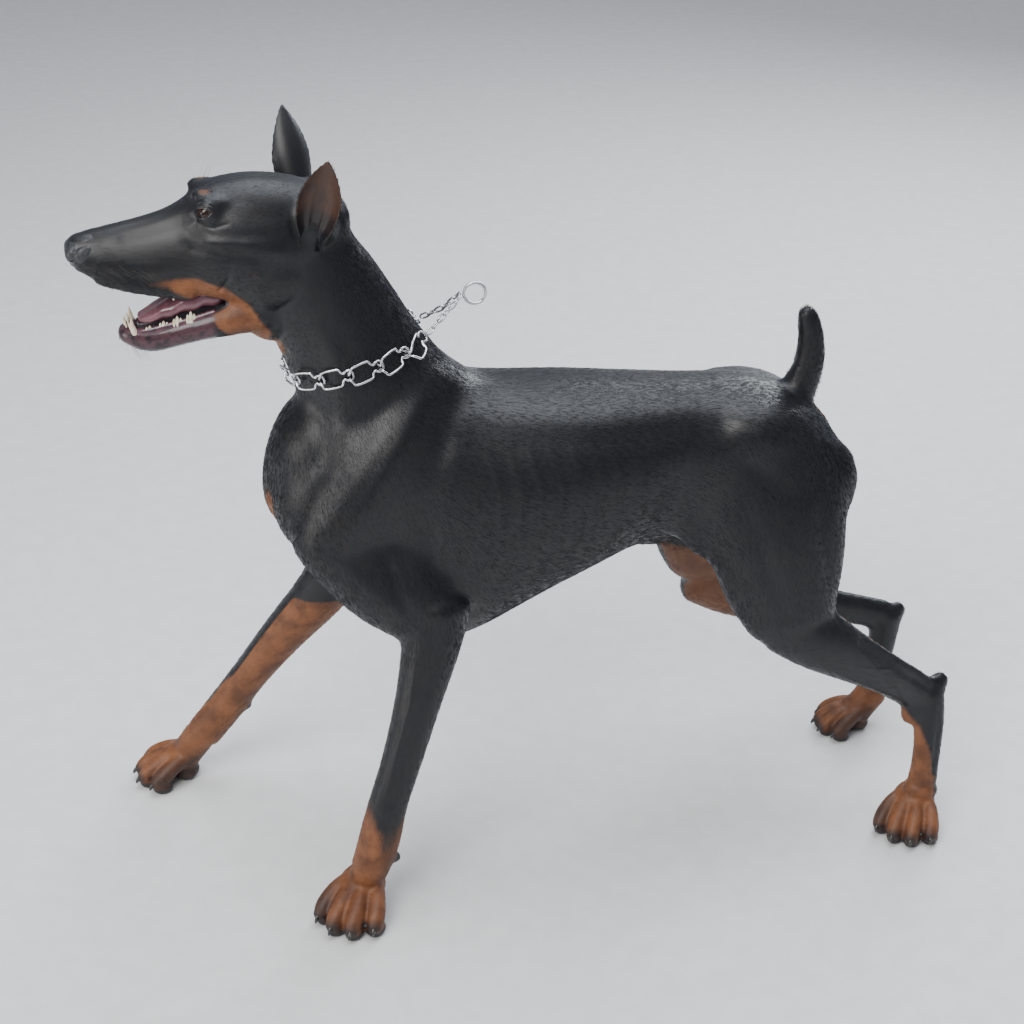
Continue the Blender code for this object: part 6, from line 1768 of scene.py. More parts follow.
def eye_material(settings):
    """Dark brown iris round a black pupil, brownish white at the edges, all under a wet shine."""
    mat, tree, shader = new_material("dark_brown_eye")
    place = tree.nodes.new("ShaderNodeTexCoord")
    length = tree.nodes.new("ShaderNodeVectorMath")
    length.operation = "NORMALIZE"
    link(tree, place.outputs["Object"], length.inputs[0])
    split = tree.nodes.new("ShaderNodeSeparateXYZ")
    link(tree, length.outputs[0], split.inputs[0])
    angle = math_node(tree, "ARCCOSINE", split.outputs[2])
    spokes = tree.nodes.new("ShaderNodeTexNoise")
    spokes.inputs["Scale"].default_value = 5.0
    spokes.inputs["Detail"].default_value = 5.0
    around = tree.nodes.new("ShaderNodeCombineXYZ")
    turned = math_node(tree, "ARCTAN2", split.outputs[1], split.outputs[0])
    link(tree, math_node(tree, "MULTIPLY", turned, 4.0), around.inputs[0])
    link(tree, math_node(tree, "MULTIPLY", angle, 1.2), around.inputs[1])
    link(tree, around.outputs[0], spokes.inputs["Vector"])
    dim = tuple(c * 0.5 for c in settings.iris)
    bright = tuple(min(c * 1.6, 1.0) for c in settings.iris)
    iris = mix_colour(tree, spokes.outputs["Fac"], dim, bright)
    ring = map_range(tree, angle, 0.46, 0.60)
    colour = mix_colour(tree, ring, iris, (0.010, 0.007, 0.006))
    white = map_range(tree, angle, 0.62, 0.74)
    colour = mix_colour(tree, white, colour, (0.040, 0.028, 0.024))
    pupil = map_range(tree, angle, 0.19, 0.225)
    colour = mix_colour(tree, pupil, (0.002, 0.002, 0.002), colour)
    link(tree, colour, shader.inputs["Base Color"])
    shader.inputs["Roughness"].default_value = 0.10
    shader.inputs["Specular IOR Level"].default_value = 0.25
    shader.inputs["Coat Weight"].default_value = 0.35
    shader.inputs["Coat Roughness"].default_value = 0.02
    return mat


def lid_rim(side):
    """Moist dark edge of both lids, one closed round bead along the opening."""
    centre, gaze, wide, high = eye_axes(side)
    points = []
    count = 40
    for half in (1, -1):
        for i in range(count):
            azimuth = LID_WIDE * math.cos(math.pi * i / count) * half
            upper, lower = lid_edge(np.array(azimuth))
            elevation = float(upper if half > 0 else lower)
            reach = EYE_RADIUS + 0.00045
            direction = (
                wide * (math.sin(azimuth) * math.cos(elevation))
                + gaze * (math.cos(azimuth) * math.cos(elevation))
                + high * math.sin(elevation)
            )
            points.append(head_point(centre + direction * reach))
    return wire("lid_rim", points, 0.00075, 8, True)


def wire(name, points, radius, sides=10, closed=False, taper=None):
    """Round wire along points, its frame carried along without twist."""
    pts = [Vector(p) for p in points]
    n = len(pts)
    rings = []
    side = None
    for i in range(n):
        a = pts[(i - 1) % n] if closed or i > 0 else pts[0]
        b = pts[(i + 1) % n] if closed or i < n - 1 else pts[-1]
        tangent = (b - a).normalized()
        if side is None:
            hint = Vector((0, 0, 1)) if abs(tangent.z) < 0.8 else Vector((0, 1, 0))
            side = (hint - tangent * hint.dot(tangent)).normalized()
        side = (side - tangent * side.dot(tangent)).normalized()
        other = tangent.cross(side)
        r = radius if taper is None else radius * taper[i]
        ring = []
        for j in range(sides):
            t = 2 * math.pi * (j + 0.5) / sides
            ring.append(pts[i] + side * r * math.cos(t) + other * r * math.sin(t))
        rings.append(ring)
    if not closed:
        return loft(name, rings)
    verts = [v for ring in rings for v in ring]
    faces = []
    for i in range(n):
        for j in range(sides):
            k = (j + 1) % sides
            m = (i + 1) % n
            faces.append((i * sides + j, i * sides + k, m * sides + k, m * sides + j))
    return new_object(name, verts, faces)


def nose_leather():
    """Nose pad with its wings, nostrils with the side slits, and the groove down the middle."""
    forms = [
        ball("pad", (-0.5286, 0, 0.8212), (0.0164, 0.0192, 0.0168), (0, 14, 0), 40, 24),
        ball("bridge", (-0.5190, 0, 0.8335), (0.0170, 0.0152, 0.0072), (0, -12, 0), 32, 20),
        ball("lip_root", (-0.5330, 0, 0.8095), (0.0080, 0.0085, 0.0090), (0, 0, 0), 32, 20),
    ]
    for s in (-1, 1):
        forms.append(ball(
            "wing", (-0.5350, s * 0.0120, 0.8205), (0.0100, 0.0082, 0.0100),
            (0, 0, -s * 20), 32, 20,
        ))
        forms.append(ball(
            "wing_back", (-0.5215, s * 0.0176, 0.8205), (0.0135, 0.0052, 0.0105),
            (0, -8, -s * 12), 32, 20,
        ))
    pad = fuse(join("nose_leather", forms), 0.0008, 5)
    cutters = []
    for s in (-1, 1):
        cutters.append(ball(
            "hole", (-0.5440, s * 0.0080, 0.8210), (0.0078, 0.0036, 0.0042),
            (0, 0, s * 16), 24, 16,
        ))
        cutters.append(tube("slit", (
            (-0.5470, s * 0.0095, 0.8200, 0.0016, 0.0024), (-0.5425, s * 0.0150, 0.8165, 0.0014, 0.0022),
            (-0.5360, s * 0.0192, 0.8158, 0.0010, 0.0016), (-0.5290, s * 0.0215, 0.8160, 0.0006, 0.0010),
        ), steps=3, sides=12))
    cutters.append(tube("groove", (
        (-0.5440, 0, 0.8290, 0.0005, 0.0016), (-0.5448, 0, 0.8200, 0.0006, 0.0022),
        (-0.5430, 0, 0.8100, 0.0006, 0.0028), (-0.5385, 0, 0.7990, 0.0006, 0.0030),
    ), steps=4, sides=10))
    for cutter in cutters:
        boolean(pad, cutter)
    pad.data.transform(head_turn())
    return pad


def nose_material(settings):
    """Moist, pebbled leather, bluish grey where it catches the light."""
    mat, tree, shader = new_material("moist_nose_leather")
    cells = tree.nodes.new("ShaderNodeTexVoronoi")
    cells.feature = "DISTANCE_TO_EDGE"
    cells.inputs["Scale"].default_value = 780.0
    place = tree.nodes.new("ShaderNodeTexCoord")
    link(tree, place.outputs["Object"], cells.inputs["Vector"])
    mottle = noise(tree, 180.0, 4.0)
    dark = tuple(c * 0.55 for c in settings.nose)
    colour = mix_colour(tree, map_range(tree, mottle, 0.35, 0.70), dark, tuple(settings.nose))
    link(tree, colour, shader.inputs["Base Color"])
    link(tree, map_range(tree, mottle, 0.3, 0.7, 0.26, 0.40, False), shader.inputs["Roughness"])
    shader.inputs["Coat Weight"].default_value = 0.25
    shader.inputs["Coat Roughness"].default_value = 0.25
    bump = tree.nodes.new("ShaderNodeBump")
    bump.inputs["Strength"].default_value = 0.55
    bump.inputs["Distance"].default_value = 0.0005
    link(tree, map_range(tree, cells.outputs["Distance"], 0.0, 0.30), bump.inputs["Height"])
    link(tree, bump.outputs[0], shader.inputs["Normal"])
    return mat


TONGUE_PATH = (
    (-0.384, 0, 0.7590, 0.0195, 0.0130), (-0.410, 0, 0.7565, 0.0222, 0.0128),
    (-0.438, 0, 0.7480, 0.0205, 0.0106), (-0.458, 0, 0.7400, 0.0172, 0.0078),
    (-0.470, 0, 0.7370, 0.0128, 0.0048),
)


def tongue():
    """Tongue in the floor of the mouth: a groove down the middle, edges that turn up."""
    obj = tube("tongue", TONGUE_PATH, steps=8, sides=40, power=2.3, round_ends=0.8)
    mesh = obj.data
    co = mesh_points(mesh)
    nrm = mesh_normals(mesh)
    top = smooth_step(0.2, 0.8, nrm[:, 2])
    y = co[:, 1]
    co[:, 2] -= top * 0.0026 * np.exp(-(y / 0.0035) ** 2)
    co[:, 2] += 0.0016 * smooth_step(0.010, 0.020, np.abs(y)) * np.sin(co[:, 0] * 260 + y * 60)
    put_points(mesh, co)
    mesh.transform(head_turn())
    return obj


def flesh_group():
    """Mottled colour and fine grain of bare flesh."""
    found = bpy.data.node_groups.get("mottled_flesh")
    if found:
        return found
    group, into, out = new_group(
        "mottled_flesh",
        (("Colour", "NodeSocketColor"), ("Grain", "NodeSocketFloat")),
        (("Light", "NodeSocketColor", (1.0, 1.0, 1.0, 1.0)), ("Deep", "NodeSocketColor", (0.0, 0.0, 0.0, 1.0))),
    )
    mottle = noise(group, 90.0, 4.0)
    fine = noise(group, 900.0, 2.0)
    spots = map_range(group, mottle, 0.38, 0.68)
    colour = mix_colour(group, spots, into.outputs["Light"], into.outputs["Deep"])
    link(group, colour, out.inputs["Colour"])
    link(group, math_node(group, "ADD", fine, mottle), out.inputs["Grain"])
    return group


def wet_flesh_material(name, colour, deep, shine=0.16, wet=0.35):
    """Wet flesh with mottling and fine grain."""
    mat, tree, shader = new_material(name)
    flesh = tree.nodes.new("ShaderNodeGroup")
    flesh.node_tree = flesh_group()
    flesh.inputs["Light"].default_value = (*colour, 1.0)
    flesh.inputs["Deep"].default_value = (*deep, 1.0)
    link(tree, flesh.outputs["Colour"], shader.inputs["Base Color"])
    shader.inputs["Roughness"].default_value = shine
    shader.inputs["Subsurface Weight"].default_value = 0.12
    shader.inputs["Subsurface Scale"].default_value = 0.004
    shader.inputs["Coat Weight"].default_value = wet
    shader.inputs["Coat Roughness"].default_value = 0.08
    bump = tree.nodes.new("ShaderNodeBump")
    bump.inputs["Strength"].default_value = 0.35
    bump.inputs["Distance"].default_value = 0.0004
    link(tree, flesh.outputs["Grain"], bump.inputs["Height"])
    link(tree, bump.outputs[0], shader.inputs["Normal"])
    return mat


def cone_tooth(root, tip, wide, long, curve=0.0, blunt=0.18):
    """Pointed tooth that curves back along the jaw, from its sunk root to its tip."""
    root = Vector(root)
    tip = Vector(tip)
    axis = tip - root
    along = Vector((1, 0, 0))
    along = (along - axis.normalized() * along.dot(axis.normalized())).normalized()
    across = axis.normalized().cross(along)
    rings = []
    for i in range(11):
        t = i / 10
        k = (1 - t ** 1.7) * (1 - blunt) + blunt * math.sqrt(max(1 - t ** 6, 0.0))
        k = max(k, 0.05)
        centre = root + axis * t + along * curve * math.sin(t * math.pi) * -1.0
        rings.append(power_ring(centre, across, along, wide * k, long * k, long * k, 2.2, 14))
    return loft("tooth", rings)


def cheek_tooth(place, up, wide, long, tall):
    """Cheek tooth with a tall middle point and a smaller one before and behind it."""
    place = Vector(place)
    up = Vector(up)
    parts = [cone_tooth(place - up * 0.006, place + up * tall, wide, long * 0.62, 0.0, 0.3)]
    for k, share in ((-0.72, 0.55), (0.72, 0.62)):
        side = place + Vector((long * k, 0, 0))
        point = side + up * tall * share
        parts.append(cone_tooth(side - up * 0.006, point, wide * 0.85, long * 0.46, 0.0, 0.4))
    return parts


def lower_teeth():
    """Row of the lower jaw: small front teeth, canines, then cheek teeth."""
    row = []
    for s in (-1, 1):
        for k in range(3):
            y = s * (0.0022 + 0.0044 * k)
            x = -0.4890 + 0.0012 * k * k
            tip = (x - 0.0012, y, 0.7378 + 0.0006 * k)
            row.append(cone_tooth((x + 0.003, y, 0.7235), tip, 0.0019, 0.0016, 0, 0.5))
        fang_root = (-0.4765, s * 0.0150, 0.7210)
        fang_tip = (-0.4815, s * 0.0176, 0.7440)
        row.append(cone_tooth(fang_root, fang_tip, 0.0034, 0.0042, 0.0016))
        for k in range(4):
            x = -0.4620 + 0.0150 * k
            y = s * (0.0200 + 0.0018 * k)
            base = 0.7312 + 0.0034 * k
            row += cheek_tooth((x, y, base), (0.0, 0.0, 1.0), 0.0021, 0.0050, 0.0030 + 0.0016 * k)
    return row


def upper_teeth():
    """Row of the upper jaw, mostly behind the lip."""
    row = []
    for s in (-1, 1):
        for k in range(3):
            y = s * (0.0024 + 0.0050 * k)
            x = -0.5195 + 0.0016 * k * k
            tip = (x + 0.0006, y, 0.7912 - 0.0012 * k)
            row.append(cone_tooth((x, y, 0.8020), tip, 0.0022, 0.0018, 0, 0.5))
        fang_root = (-0.5010, s * 0.0185, 0.8000)
        fang_tip = (-0.4985, s * 0.0192, 0.7785)
        row.append(cone_tooth(fang_root, fang_tip, 0.0032, 0.0040, -0.0014))
        for k in range(4):
            x = -0.4840 + 0.0165 * k
            y = s * (0.0232 + 0.0014 * k)
            base = 0.7930 - 0.0052 * k
            row += cheek_tooth((x, y, base - 0.0050), (0.0, 0.0, -1.0), 0.0022, 0.0060, 0.0085)
    return row


def gums():
    """Gum ridges that hold both rows of teeth."""
    forms = []
    for s in (-1, 1):
        forms.append(tube("lower_gum", (
            (-0.4880, s * 0.0030, 0.7240, 0.0036, 0.0050), (-0.4800, s * 0.0120, 0.7240, 0.0040, 0.0052),
            (-0.4640, s * 0.0190, 0.7262, 0.0036, 0.0056), (-0.4350, s * 0.0218, 0.7320, 0.0036, 0.0060),
            (-0.4100, s * 0.0240, 0.7375, 0.0036, 0.0064), (-0.3900, s * 0.0250, 0.7430, 0.0036, 0.0064),
        ), steps=5, sides=14))
        forms.append(tube("upper_gum", (
            (-0.5190, s * 0.0030, 0.8005, 0.0040, 0.0046), (-0.5090, s * 0.0135, 0.7985, 0.0040, 0.0048),
            (-0.4900, s * 0.0215, 0.7950, 0.0036, 0.0052), (-0.4600, s * 0.0240, 0.7870, 0.0036, 0.0056),
            (-0.4250, s * 0.0266, 0.7770, 0.0036, 0.0056), (-0.4000, s * 0.0275, 0.7700, 0.0036, 0.0050),
        ), steps=5, sides=14))
    gum = fuse(join("gums", forms), 0.0009, 3)
    gum.data.transform(head_turn())
    return gum


def tooth_material(settings):
    """Ivory enamel, mottled with yellower patches."""
    mat, tree, shader = new_material("ivory_teeth")
    mottle = noise(tree, 240.0, 3.0)
    light = tuple(settings.ivory)
    yellow = (light[0] * 0.80, light[1] * 0.70, light[2] * 0.52)
    colour = mix_colour(tree, map_range(tree, mottle, 0.35, 0.70), light, yellow)
    link(tree, colour, shader.inputs["Base Color"])
    shader.inputs["Roughness"].default_value = 0.22
    shader.inputs["Coat Weight"].default_value = 0.3
    shader.inputs["Coat Roughness"].default_value = 0.08
    bump = tree.nodes.new("ShaderNodeBump")
    bump.inputs["Strength"].default_value = 0.15
    bump.inputs["Distance"].default_value = 0.0003
    link(tree, mottle, bump.inputs["Height"])
    link(tree, bump.outputs[0], shader.inputs["Normal"])
    return mat


# claw outline: how far ahead of its root, how far below it, and its half height
CLAW_RINGS = (
    (0.0030, 0.0, 0.0034), (0.0070, 0.0002, 0.0038), (0.0105, 0.0008, 0.0037), (0.0128, 0.0020, 0.0034),
    (0.0146, 0.0036, 0.0028), (0.0158, 0.0056, 0.0020), (0.0164, 0.0076, 0.0010),
)


def claws(place, scale):
    """Four curved claws of a paw, roots sunk in the toes."""
    out = []
    for side, reach, fan in TOES:
        turn = Matrix.Rotation(math.radians(-fan), 3, "Z")
        ahead = turn @ Vector((1, 0, 0))
        root = Vector((reach, side, 0.0155))
        rings = []
        for t, drop, radius in smooth_path(CLAW_RINGS, 3):
            centre = root + ahead * t - Vector((0, 0, drop))
            lean = math.radians(15 + 9000 * drop)
            tangent = ahead * math.cos(lean) - Vector((0, 0, math.sin(lean)))
            across = Vector((0, 0, 1)).cross(ahead)
            upward = tangent.cross(across)
            rings.append(power_ring(centre, across, upward, radius * 0.72, radius, radius * 0.9, 2.0, 14))
        piece = loft("claw", rings)
        piece.data.transform(place @ Matrix.Scale(scale, 4))
        out.append(piece)
    return out


def claw_material():
    """Dark horn, worn pale in patches, with fine growth lines."""
    mat, tree, shader = new_material("dark_claw_horn")
    wear = noise(tree, 160.0, 4.0)
    colour = mix_colour(tree, map_range(tree, wear, 0.50, 0.78), (0.020, 0.017, 0.016), (0.115, 0.095, 0.080))
    link(tree, colour, shader.inputs["Base Color"])
    shader.inputs["Roughness"].default_value = 0.26
    shader.inputs["Coat Weight"].default_value = 0.35
    shader.inputs["Coat Roughness"].default_value = 0.15
    lines = noise(tree, 1400.0, 2.0)
    bump = tree.nodes.new("ShaderNodeBump")
    bump.inputs["Strength"].default_value = 0.2
    bump.inputs["Distance"].default_value = 0.0002
    link(tree, lines, bump.inputs["Height"])
    link(tree, bump.outputs[0], shader.inputs["Normal"])
    return mat


# whisker beds on the straight head: centre, spread, count, length, direction
WHISKER_BEDS = (
    ((-0.500, 0.0300, 0.8080), (0.014, 0.004, 0.007), 16, 0.034, (0.55, 0.85, -0.10)),
    ((-0.470, 0.0340, 0.8030), (0.012, 0.004, 0.007), 14, 0.036, (0.65, 0.80, -0.20)),
    ((-0.482, 0.0120, 0.6990), (0.012, 0.010, 0.003), 12, 0.020, (0.35, 0.30, -0.90)),
    ((-0.388, 0.0300, 0.8880), (0.006, 0.005, 0.002), 5, 0.026, (0.30, 0.70, 0.75)),
    ((-0.351, 0.0570, 0.7990), (0.003, 0.002, 0.003), 5, 0.030, (0.50, 0.85, -0.25)),
)


def whiskers(tree_of_skin):
    """Stiff black whiskers, each a fine tapered hair rooted in the skin."""
    rng = np.random.default_rng(71)
    pieces = []
    for centre, spread, count, length, direction in WHISKER_BEDS:
        for s in (-1, 1):
            for _ in range(count):
                place = Vector(centre) + Vector(tuple(rng.uniform(-1, 1, 3) * np.array(spread)))
                place.y *= s
                place = head_point(place)
                hit = tree_of_skin.find_nearest(place)
                root = hit[0]
                way = Vector(direction) + Vector(tuple(rng.normal(0, 0.14, 3)))
                way.y *= s
                way = (head_turn().to_3x3() @ way).normalized()
                long = length * rng.uniform(0.6, 1.15)
                droop = Vector((0.5, 0, -0.8)) * 0.30
                steps = np.linspace(0, 1, 8)
                points = [root - way * 0.0015 + (way * t + droop * t * t) * long for t in steps]
                taper = [1 - 0.85 * t for t in steps]
                pieces.append(wire("whisker", points, 0.00014, 4, False, taper))
    return join("whiskers", pieces)


COLLAR_CENTRE = Vector((-0.2330, 0.0, 0.6780))
COLLAR_LONG = Vector((0.964, 0.0, 0.265)).normalized()
COLLAR_UP = Vector((-0.265, 0.0, 0.964)).normalized()
LINK_WIRE = 0.0014
LINK_COUNT = 12
LINK_WIDE = 0.0102
PRONG_SIDE = 0.0026
HOOK_NECK = 0.0034
HOOK_WIDE = 0.0058
HOOK_REACH = 0.0042
RAISED_LINKS = 3
RAISED_STEP = 0.0034
NAPE_GAP = 0.052
RING_CENTRE = Vector((-0.0960, 0.0, 0.7350))
RING_RADIUS = 0.0125
RING_WIRE = 0.0017
CHAIN_WIRE = 0.0011
CHAIN_PITCH = 0.0086


def neck_reach(tree, ray, level):
    """Distance from the collar's axis out to the coat, at a level above the collar's middle."""
    centre = COLLAR_CENTRE + COLLAR_UP * level
    hit = tree.ray_cast(centre + ray * 0.20, -ray, 0.2)
    return (hit[0] - centre).length


def collar_track(tree):
    """Points round the neck where the collar lies."""
    reach = []
    count = 144
    for i in range(count):
        a = 2 * math.pi * i / count
        ray = COLLAR_LONG * math.cos(a) + Vector((0, 1, 0)) * math.sin(a)
        reach.append(neck_reach(tree, ray, 0.0))
    track = []
    for i in range(count):
        near = [reach[(i + k) % count] for k in range(-3, 4)]
        a = 2 * math.pi * i / count
        ray = COLLAR_LONG * math.cos(a) + Vector((0, 1, 0)) * math.sin(a)
        track.append(COLLAR_CENTRE + ray * max(sum(near) / len(near), reach[i]))
    return track


def track_frame(track, s):
    """Place, forward and outward directions at a length along the closed track."""
    n = len(track)
    total = sum((track[(i + 1) % n] - track[i]).length for i in range(n))
    s = s % total
    for i in range(n):
        a = track[i]
        b = track[(i + 1) % n]
        step = (b - a).length
        if s <= step:
            break
        s -= step
    place = a.lerp(b, s / step)
    ahead = (track[(i + 2) % n] - track[(i - 1) % n]).normalized()
    outward = ahead.cross(COLLAR_UP).normalized()
    return place, ahead, outward


def link_outline(length, lift):
    """Half of a pinch link from its prong to its hook: (along, across, height over the coat)."""
    low = LINK_WIRE + 0.0010
    high = low + 2 * LINK_WIRE + 0.0006 + lift
    return (
        (-lift * 0.20, PRONG_SIDE, 0.0019), (0.0, PRONG_SIDE, high - 0.0012),
        (0.0022, PRONG_SIDE + 0.0034, high), (0.0056, LINK_WIDE - 0.0002, high - 0.0002),
        (length * 0.58, LINK_WIDE - 0.0002, low + (high - low) * 0.30),
        (length * 0.67, HOOK_NECK + 0.0020, low + (high - low) * 0.08), (length * 0.74, HOOK_NECK, low),
        (length * 0.81, HOOK_WIDE * 0.94, low), (length * 0.91, HOOK_WIDE, low),
        (length * 0.975, HOOK_WIDE * 0.66, low),
    )


def collar_links(tree, radius):
    """Twelve hooked links of round wire, and where the two chains start."""
    track = collar_track(tree)
    n = len(track)
    total = sum((track[(i + 1) % n] - track[i]).length for i in range(n))
    pitch = (total - NAPE_GAP) / LINK_COUNT
    pieces = []
    ends = []
    for k in range(LINK_COUNT):
        start = NAPE_GAP / 2 + pitch * k

        def at(t, w, h):
            place, ahead, outward = track_frame(track, start + t)
            ray = (place - COLLAR_CENTRE).normalized()
            level = max(-LINK_WIDE, min(LINK_WIDE, w))
            reach = max(neck_reach(tree, ray, level + d) for d in (-LINK_WIRE, 0.0, LINK_WIRE))
            return COLLAR_CENTRE + COLLAR_UP * w + ray * reach + outward * h

        raised = k - (LINK_COUNT - RAISED_LINKS)
        lift = RAISED_STEP * (raised + 1) if raised >= 0 else 0.0
        outline = link_outline(pitch + HOOK_REACH, lift)
        half = [at(t, w, h) for t, w, h in outline]
        other = [at(t, -w, h) for t, w, h in outline]
        tip = at(pitch + HOOK_REACH, 0.0, outline[-1][2])
        points = half + [tip] + other[::-1]
        if raised >= 0:
            slope = track_frame(track, start + pitch)[2] * RAISED_STEP
            points = [p + slope * (min(i, len(points) - 1 - i) / len(half)) for i, p in enumerate(points)]
        curve = smooth_path([tuple(p) for p in points], 5)
        pieces.append(wire("pinch_link_%02d" % (k + 1), curve, radius, 12))
        if k == 0:
            ends.append(at(-0.0030, 0.0, outline[2][2] + 0.0035))
        if k == LINK_COUNT - 1:
            ends.append(tip + slope * 0.9 + COLLAR_LONG * 0.0035)
    return pieces, ends


def chain_run(name, end, radius):
    """Small oval links from a collar end to the ring, each passed through the last."""
    sideways = 0.0035 if end.y > 0 else -0.0035
    goal = RING_CENTRE + Vector((-RING_RADIUS - RING_WIRE - CHAIN_WIRE - 0.0012, sideways, -0.0006))
    middle = (end + goal) / 2 + Vector((0.004, 0, -0.002 if end.y > 0 else 0.004))
    route = smooth_path([tuple(end), tuple(middle), tuple(goal)], 24)
    pts = [Vector(p) for p in route]
    total = sum((b - a).length for a, b in zip(pts, pts[1:]))
    count = max(int(total / CHAIN_PITCH), 3)
    spacing = total / count
    half_long = spacing / 2 + radius * 1.05
    links = []
    for k in range(count):
        target = (k + 0.5) * spacing
        run = 0.0
        for a, b in zip(pts, pts[1:]):
            step = (b - a).length
            if run + step >= target:
                centre = a.lerp(b, (target - run) / step)
                ahead = (b - a).normalized()
                break
            run += step
        side = Vector((0, 1, 0)).cross(ahead).normalized()
        if k % 2:
            side = ahead.cross(side).normalized()
        ring = []
        for i in range(28):
            a = 2 * math.pi * i / 28
            c = math.cos(a)
            s = math.sin(a)
            along = math.copysign(abs(c) ** 0.75, c) * half_long
            over = math.copysign(abs(s) ** 0.75, s) * radius * 2.5
            ring.append(centre + ahead * along + side * over)
        links.append(wire("chain_link", ring, radius, 10, closed=True))
    return join(name, links)


def steel_material(settings):
    """Bright polished wire, dulled by fine scratches and handling."""
    mat, tree, shader = new_material("polished_steel_wire")
    scratch = noise(tree, 420.0, 5.0, 0.6, (1.0, 1.0, 5.0))
    dull = noise(tree, 60.0, 3.0)
    base = tuple(settings.steel)
    colour = mix_colour(tree, map_range(tree, dull, 0.40, 0.72), base, tuple(c * 0.62 for c in base))
    link(tree, colour, shader.inputs["Base Color"])
    shader.inputs["Metallic"].default_value = 1.0
    link(tree, map_range(tree, scratch, 0.30, 0.75, 0.14, 0.36, False), shader.inputs["Roughness"])
    bump = tree.nodes.new("ShaderNodeBump")
    bump.inputs["Strength"].default_value = 0.12
    bump.inputs["Distance"].default_value = 0.0002
    link(tree, scratch, bump.inputs["Height"])
    link(tree, bump.outputs[0], shader.inputs["Normal"])
    return mat


class CoatSettings(bpy.types.PropertyGroup):
    """Sizes and colours of the coat."""

    black: bpy.props.FloatVectorProperty(
        name="Black coat", description="Colour of the black coat", subtype="COLOR", size=3,
        default=(0.0058, 0.0062, 0.0085), min=0.0, max=1.0)
    rust: bpy.props.FloatVectorProperty(
        name="Rust coat", description="Colour of the rust markings", subtype="COLOR", size=3,
        default=(0.190, 0.070, 0.025), min=0.0, max=1.0)
    sheen: bpy.props.FloatProperty(
        name="Sheen", description="Soft shine along the edges of the coat", default=0.03, min=0.0, max=1.0)
    tuft_length: bpy.props.FloatProperty(
        name="Tuft length", description="Length of every tuft, against its usual length",
        default=1.0, min=0.3, max=2.0)
    fullness: bpy.props.FloatProperty(
        name="Fullness", description="Number of tufts, against the usual number",
        default=1.0, min=0.05, max=1.1)


class FaceSettings(bpy.types.PropertyGroup):
    """Colours of the face."""

    nose: bpy.props.FloatVectorProperty(
        name="Nose leather", description="Colour of the nose leather", subtype="COLOR", size=3,
        default=(0.018, 0.020, 0.025), min=0.0, max=1.0)
    iris: bpy.props.FloatVectorProperty(
        name="Iris", description="Colour of the iris", subtype="COLOR", size=3,
        default=(0.020, 0.0075, 0.0032), min=0.0, max=1.0)
    tongue: bpy.props.FloatVectorProperty(
        name="Tongue", description="Colour of the tongue", subtype="COLOR", size=3,
        default=(0.190, 0.080, 0.100), min=0.0, max=1.0)
    ivory: bpy.props.FloatVectorProperty(
        name="Teeth", description="Colour of the teeth", subtype="COLOR", size=3,
        default=(0.760, 0.700, 0.580), min=0.0, max=1.0)


class CollarSettings(bpy.types.PropertyGroup):
    """Sizes and colour of the collar."""

    wire: bpy.props.FloatProperty(
        name="Link wire", description="Half thickness of the wire of the links",
        subtype="DISTANCE", unit="LENGTH", default=LINK_WIRE, min=0.0005, max=0.003)
    chain: bpy.props.FloatProperty(
        name="Chain wire", description="Half thickness of the wire of the chain",
        subtype="DISTANCE", unit="LENGTH", default=CHAIN_WIRE, min=0.0005, max=0.003)
    steel: bpy.props.FloatVectorProperty(
        name="Steel", description="Colour of the steel", subtype="COLOR", size=3,
        default=(0.720, 0.730, 0.750), min=0.0, max=1.0)


class StageSettings(bpy.types.PropertyGroup):
    """Floor and lights."""

    floor: bpy.props.FloatVectorProperty(
        name="Floor", description="Colour of the floor", subtype="COLOR", size=3,
        default=(0.70, 0.70, 0.69), min=0.0, max=1.0)
    light: bpy.props.FloatProperty(
        name="Light", description="Strength of all lights together", default=1.0, min=0.0, max=5.0)


# what the operators hand on to each other
made = {}

FLESH_NODES = (
    "head", "lower_jaw", "neck", "torso", "tail", "foreleg_left", "foreleg_right", "forepaw_left",
    "forepaw_right", "thigh_left", "thigh_right", "shank_left", "shank_right", "rear_pastern_left",
    "rear_pastern_right", "hind_paw_left", "hind_paw_right", "ear_left", "ear_right",
)


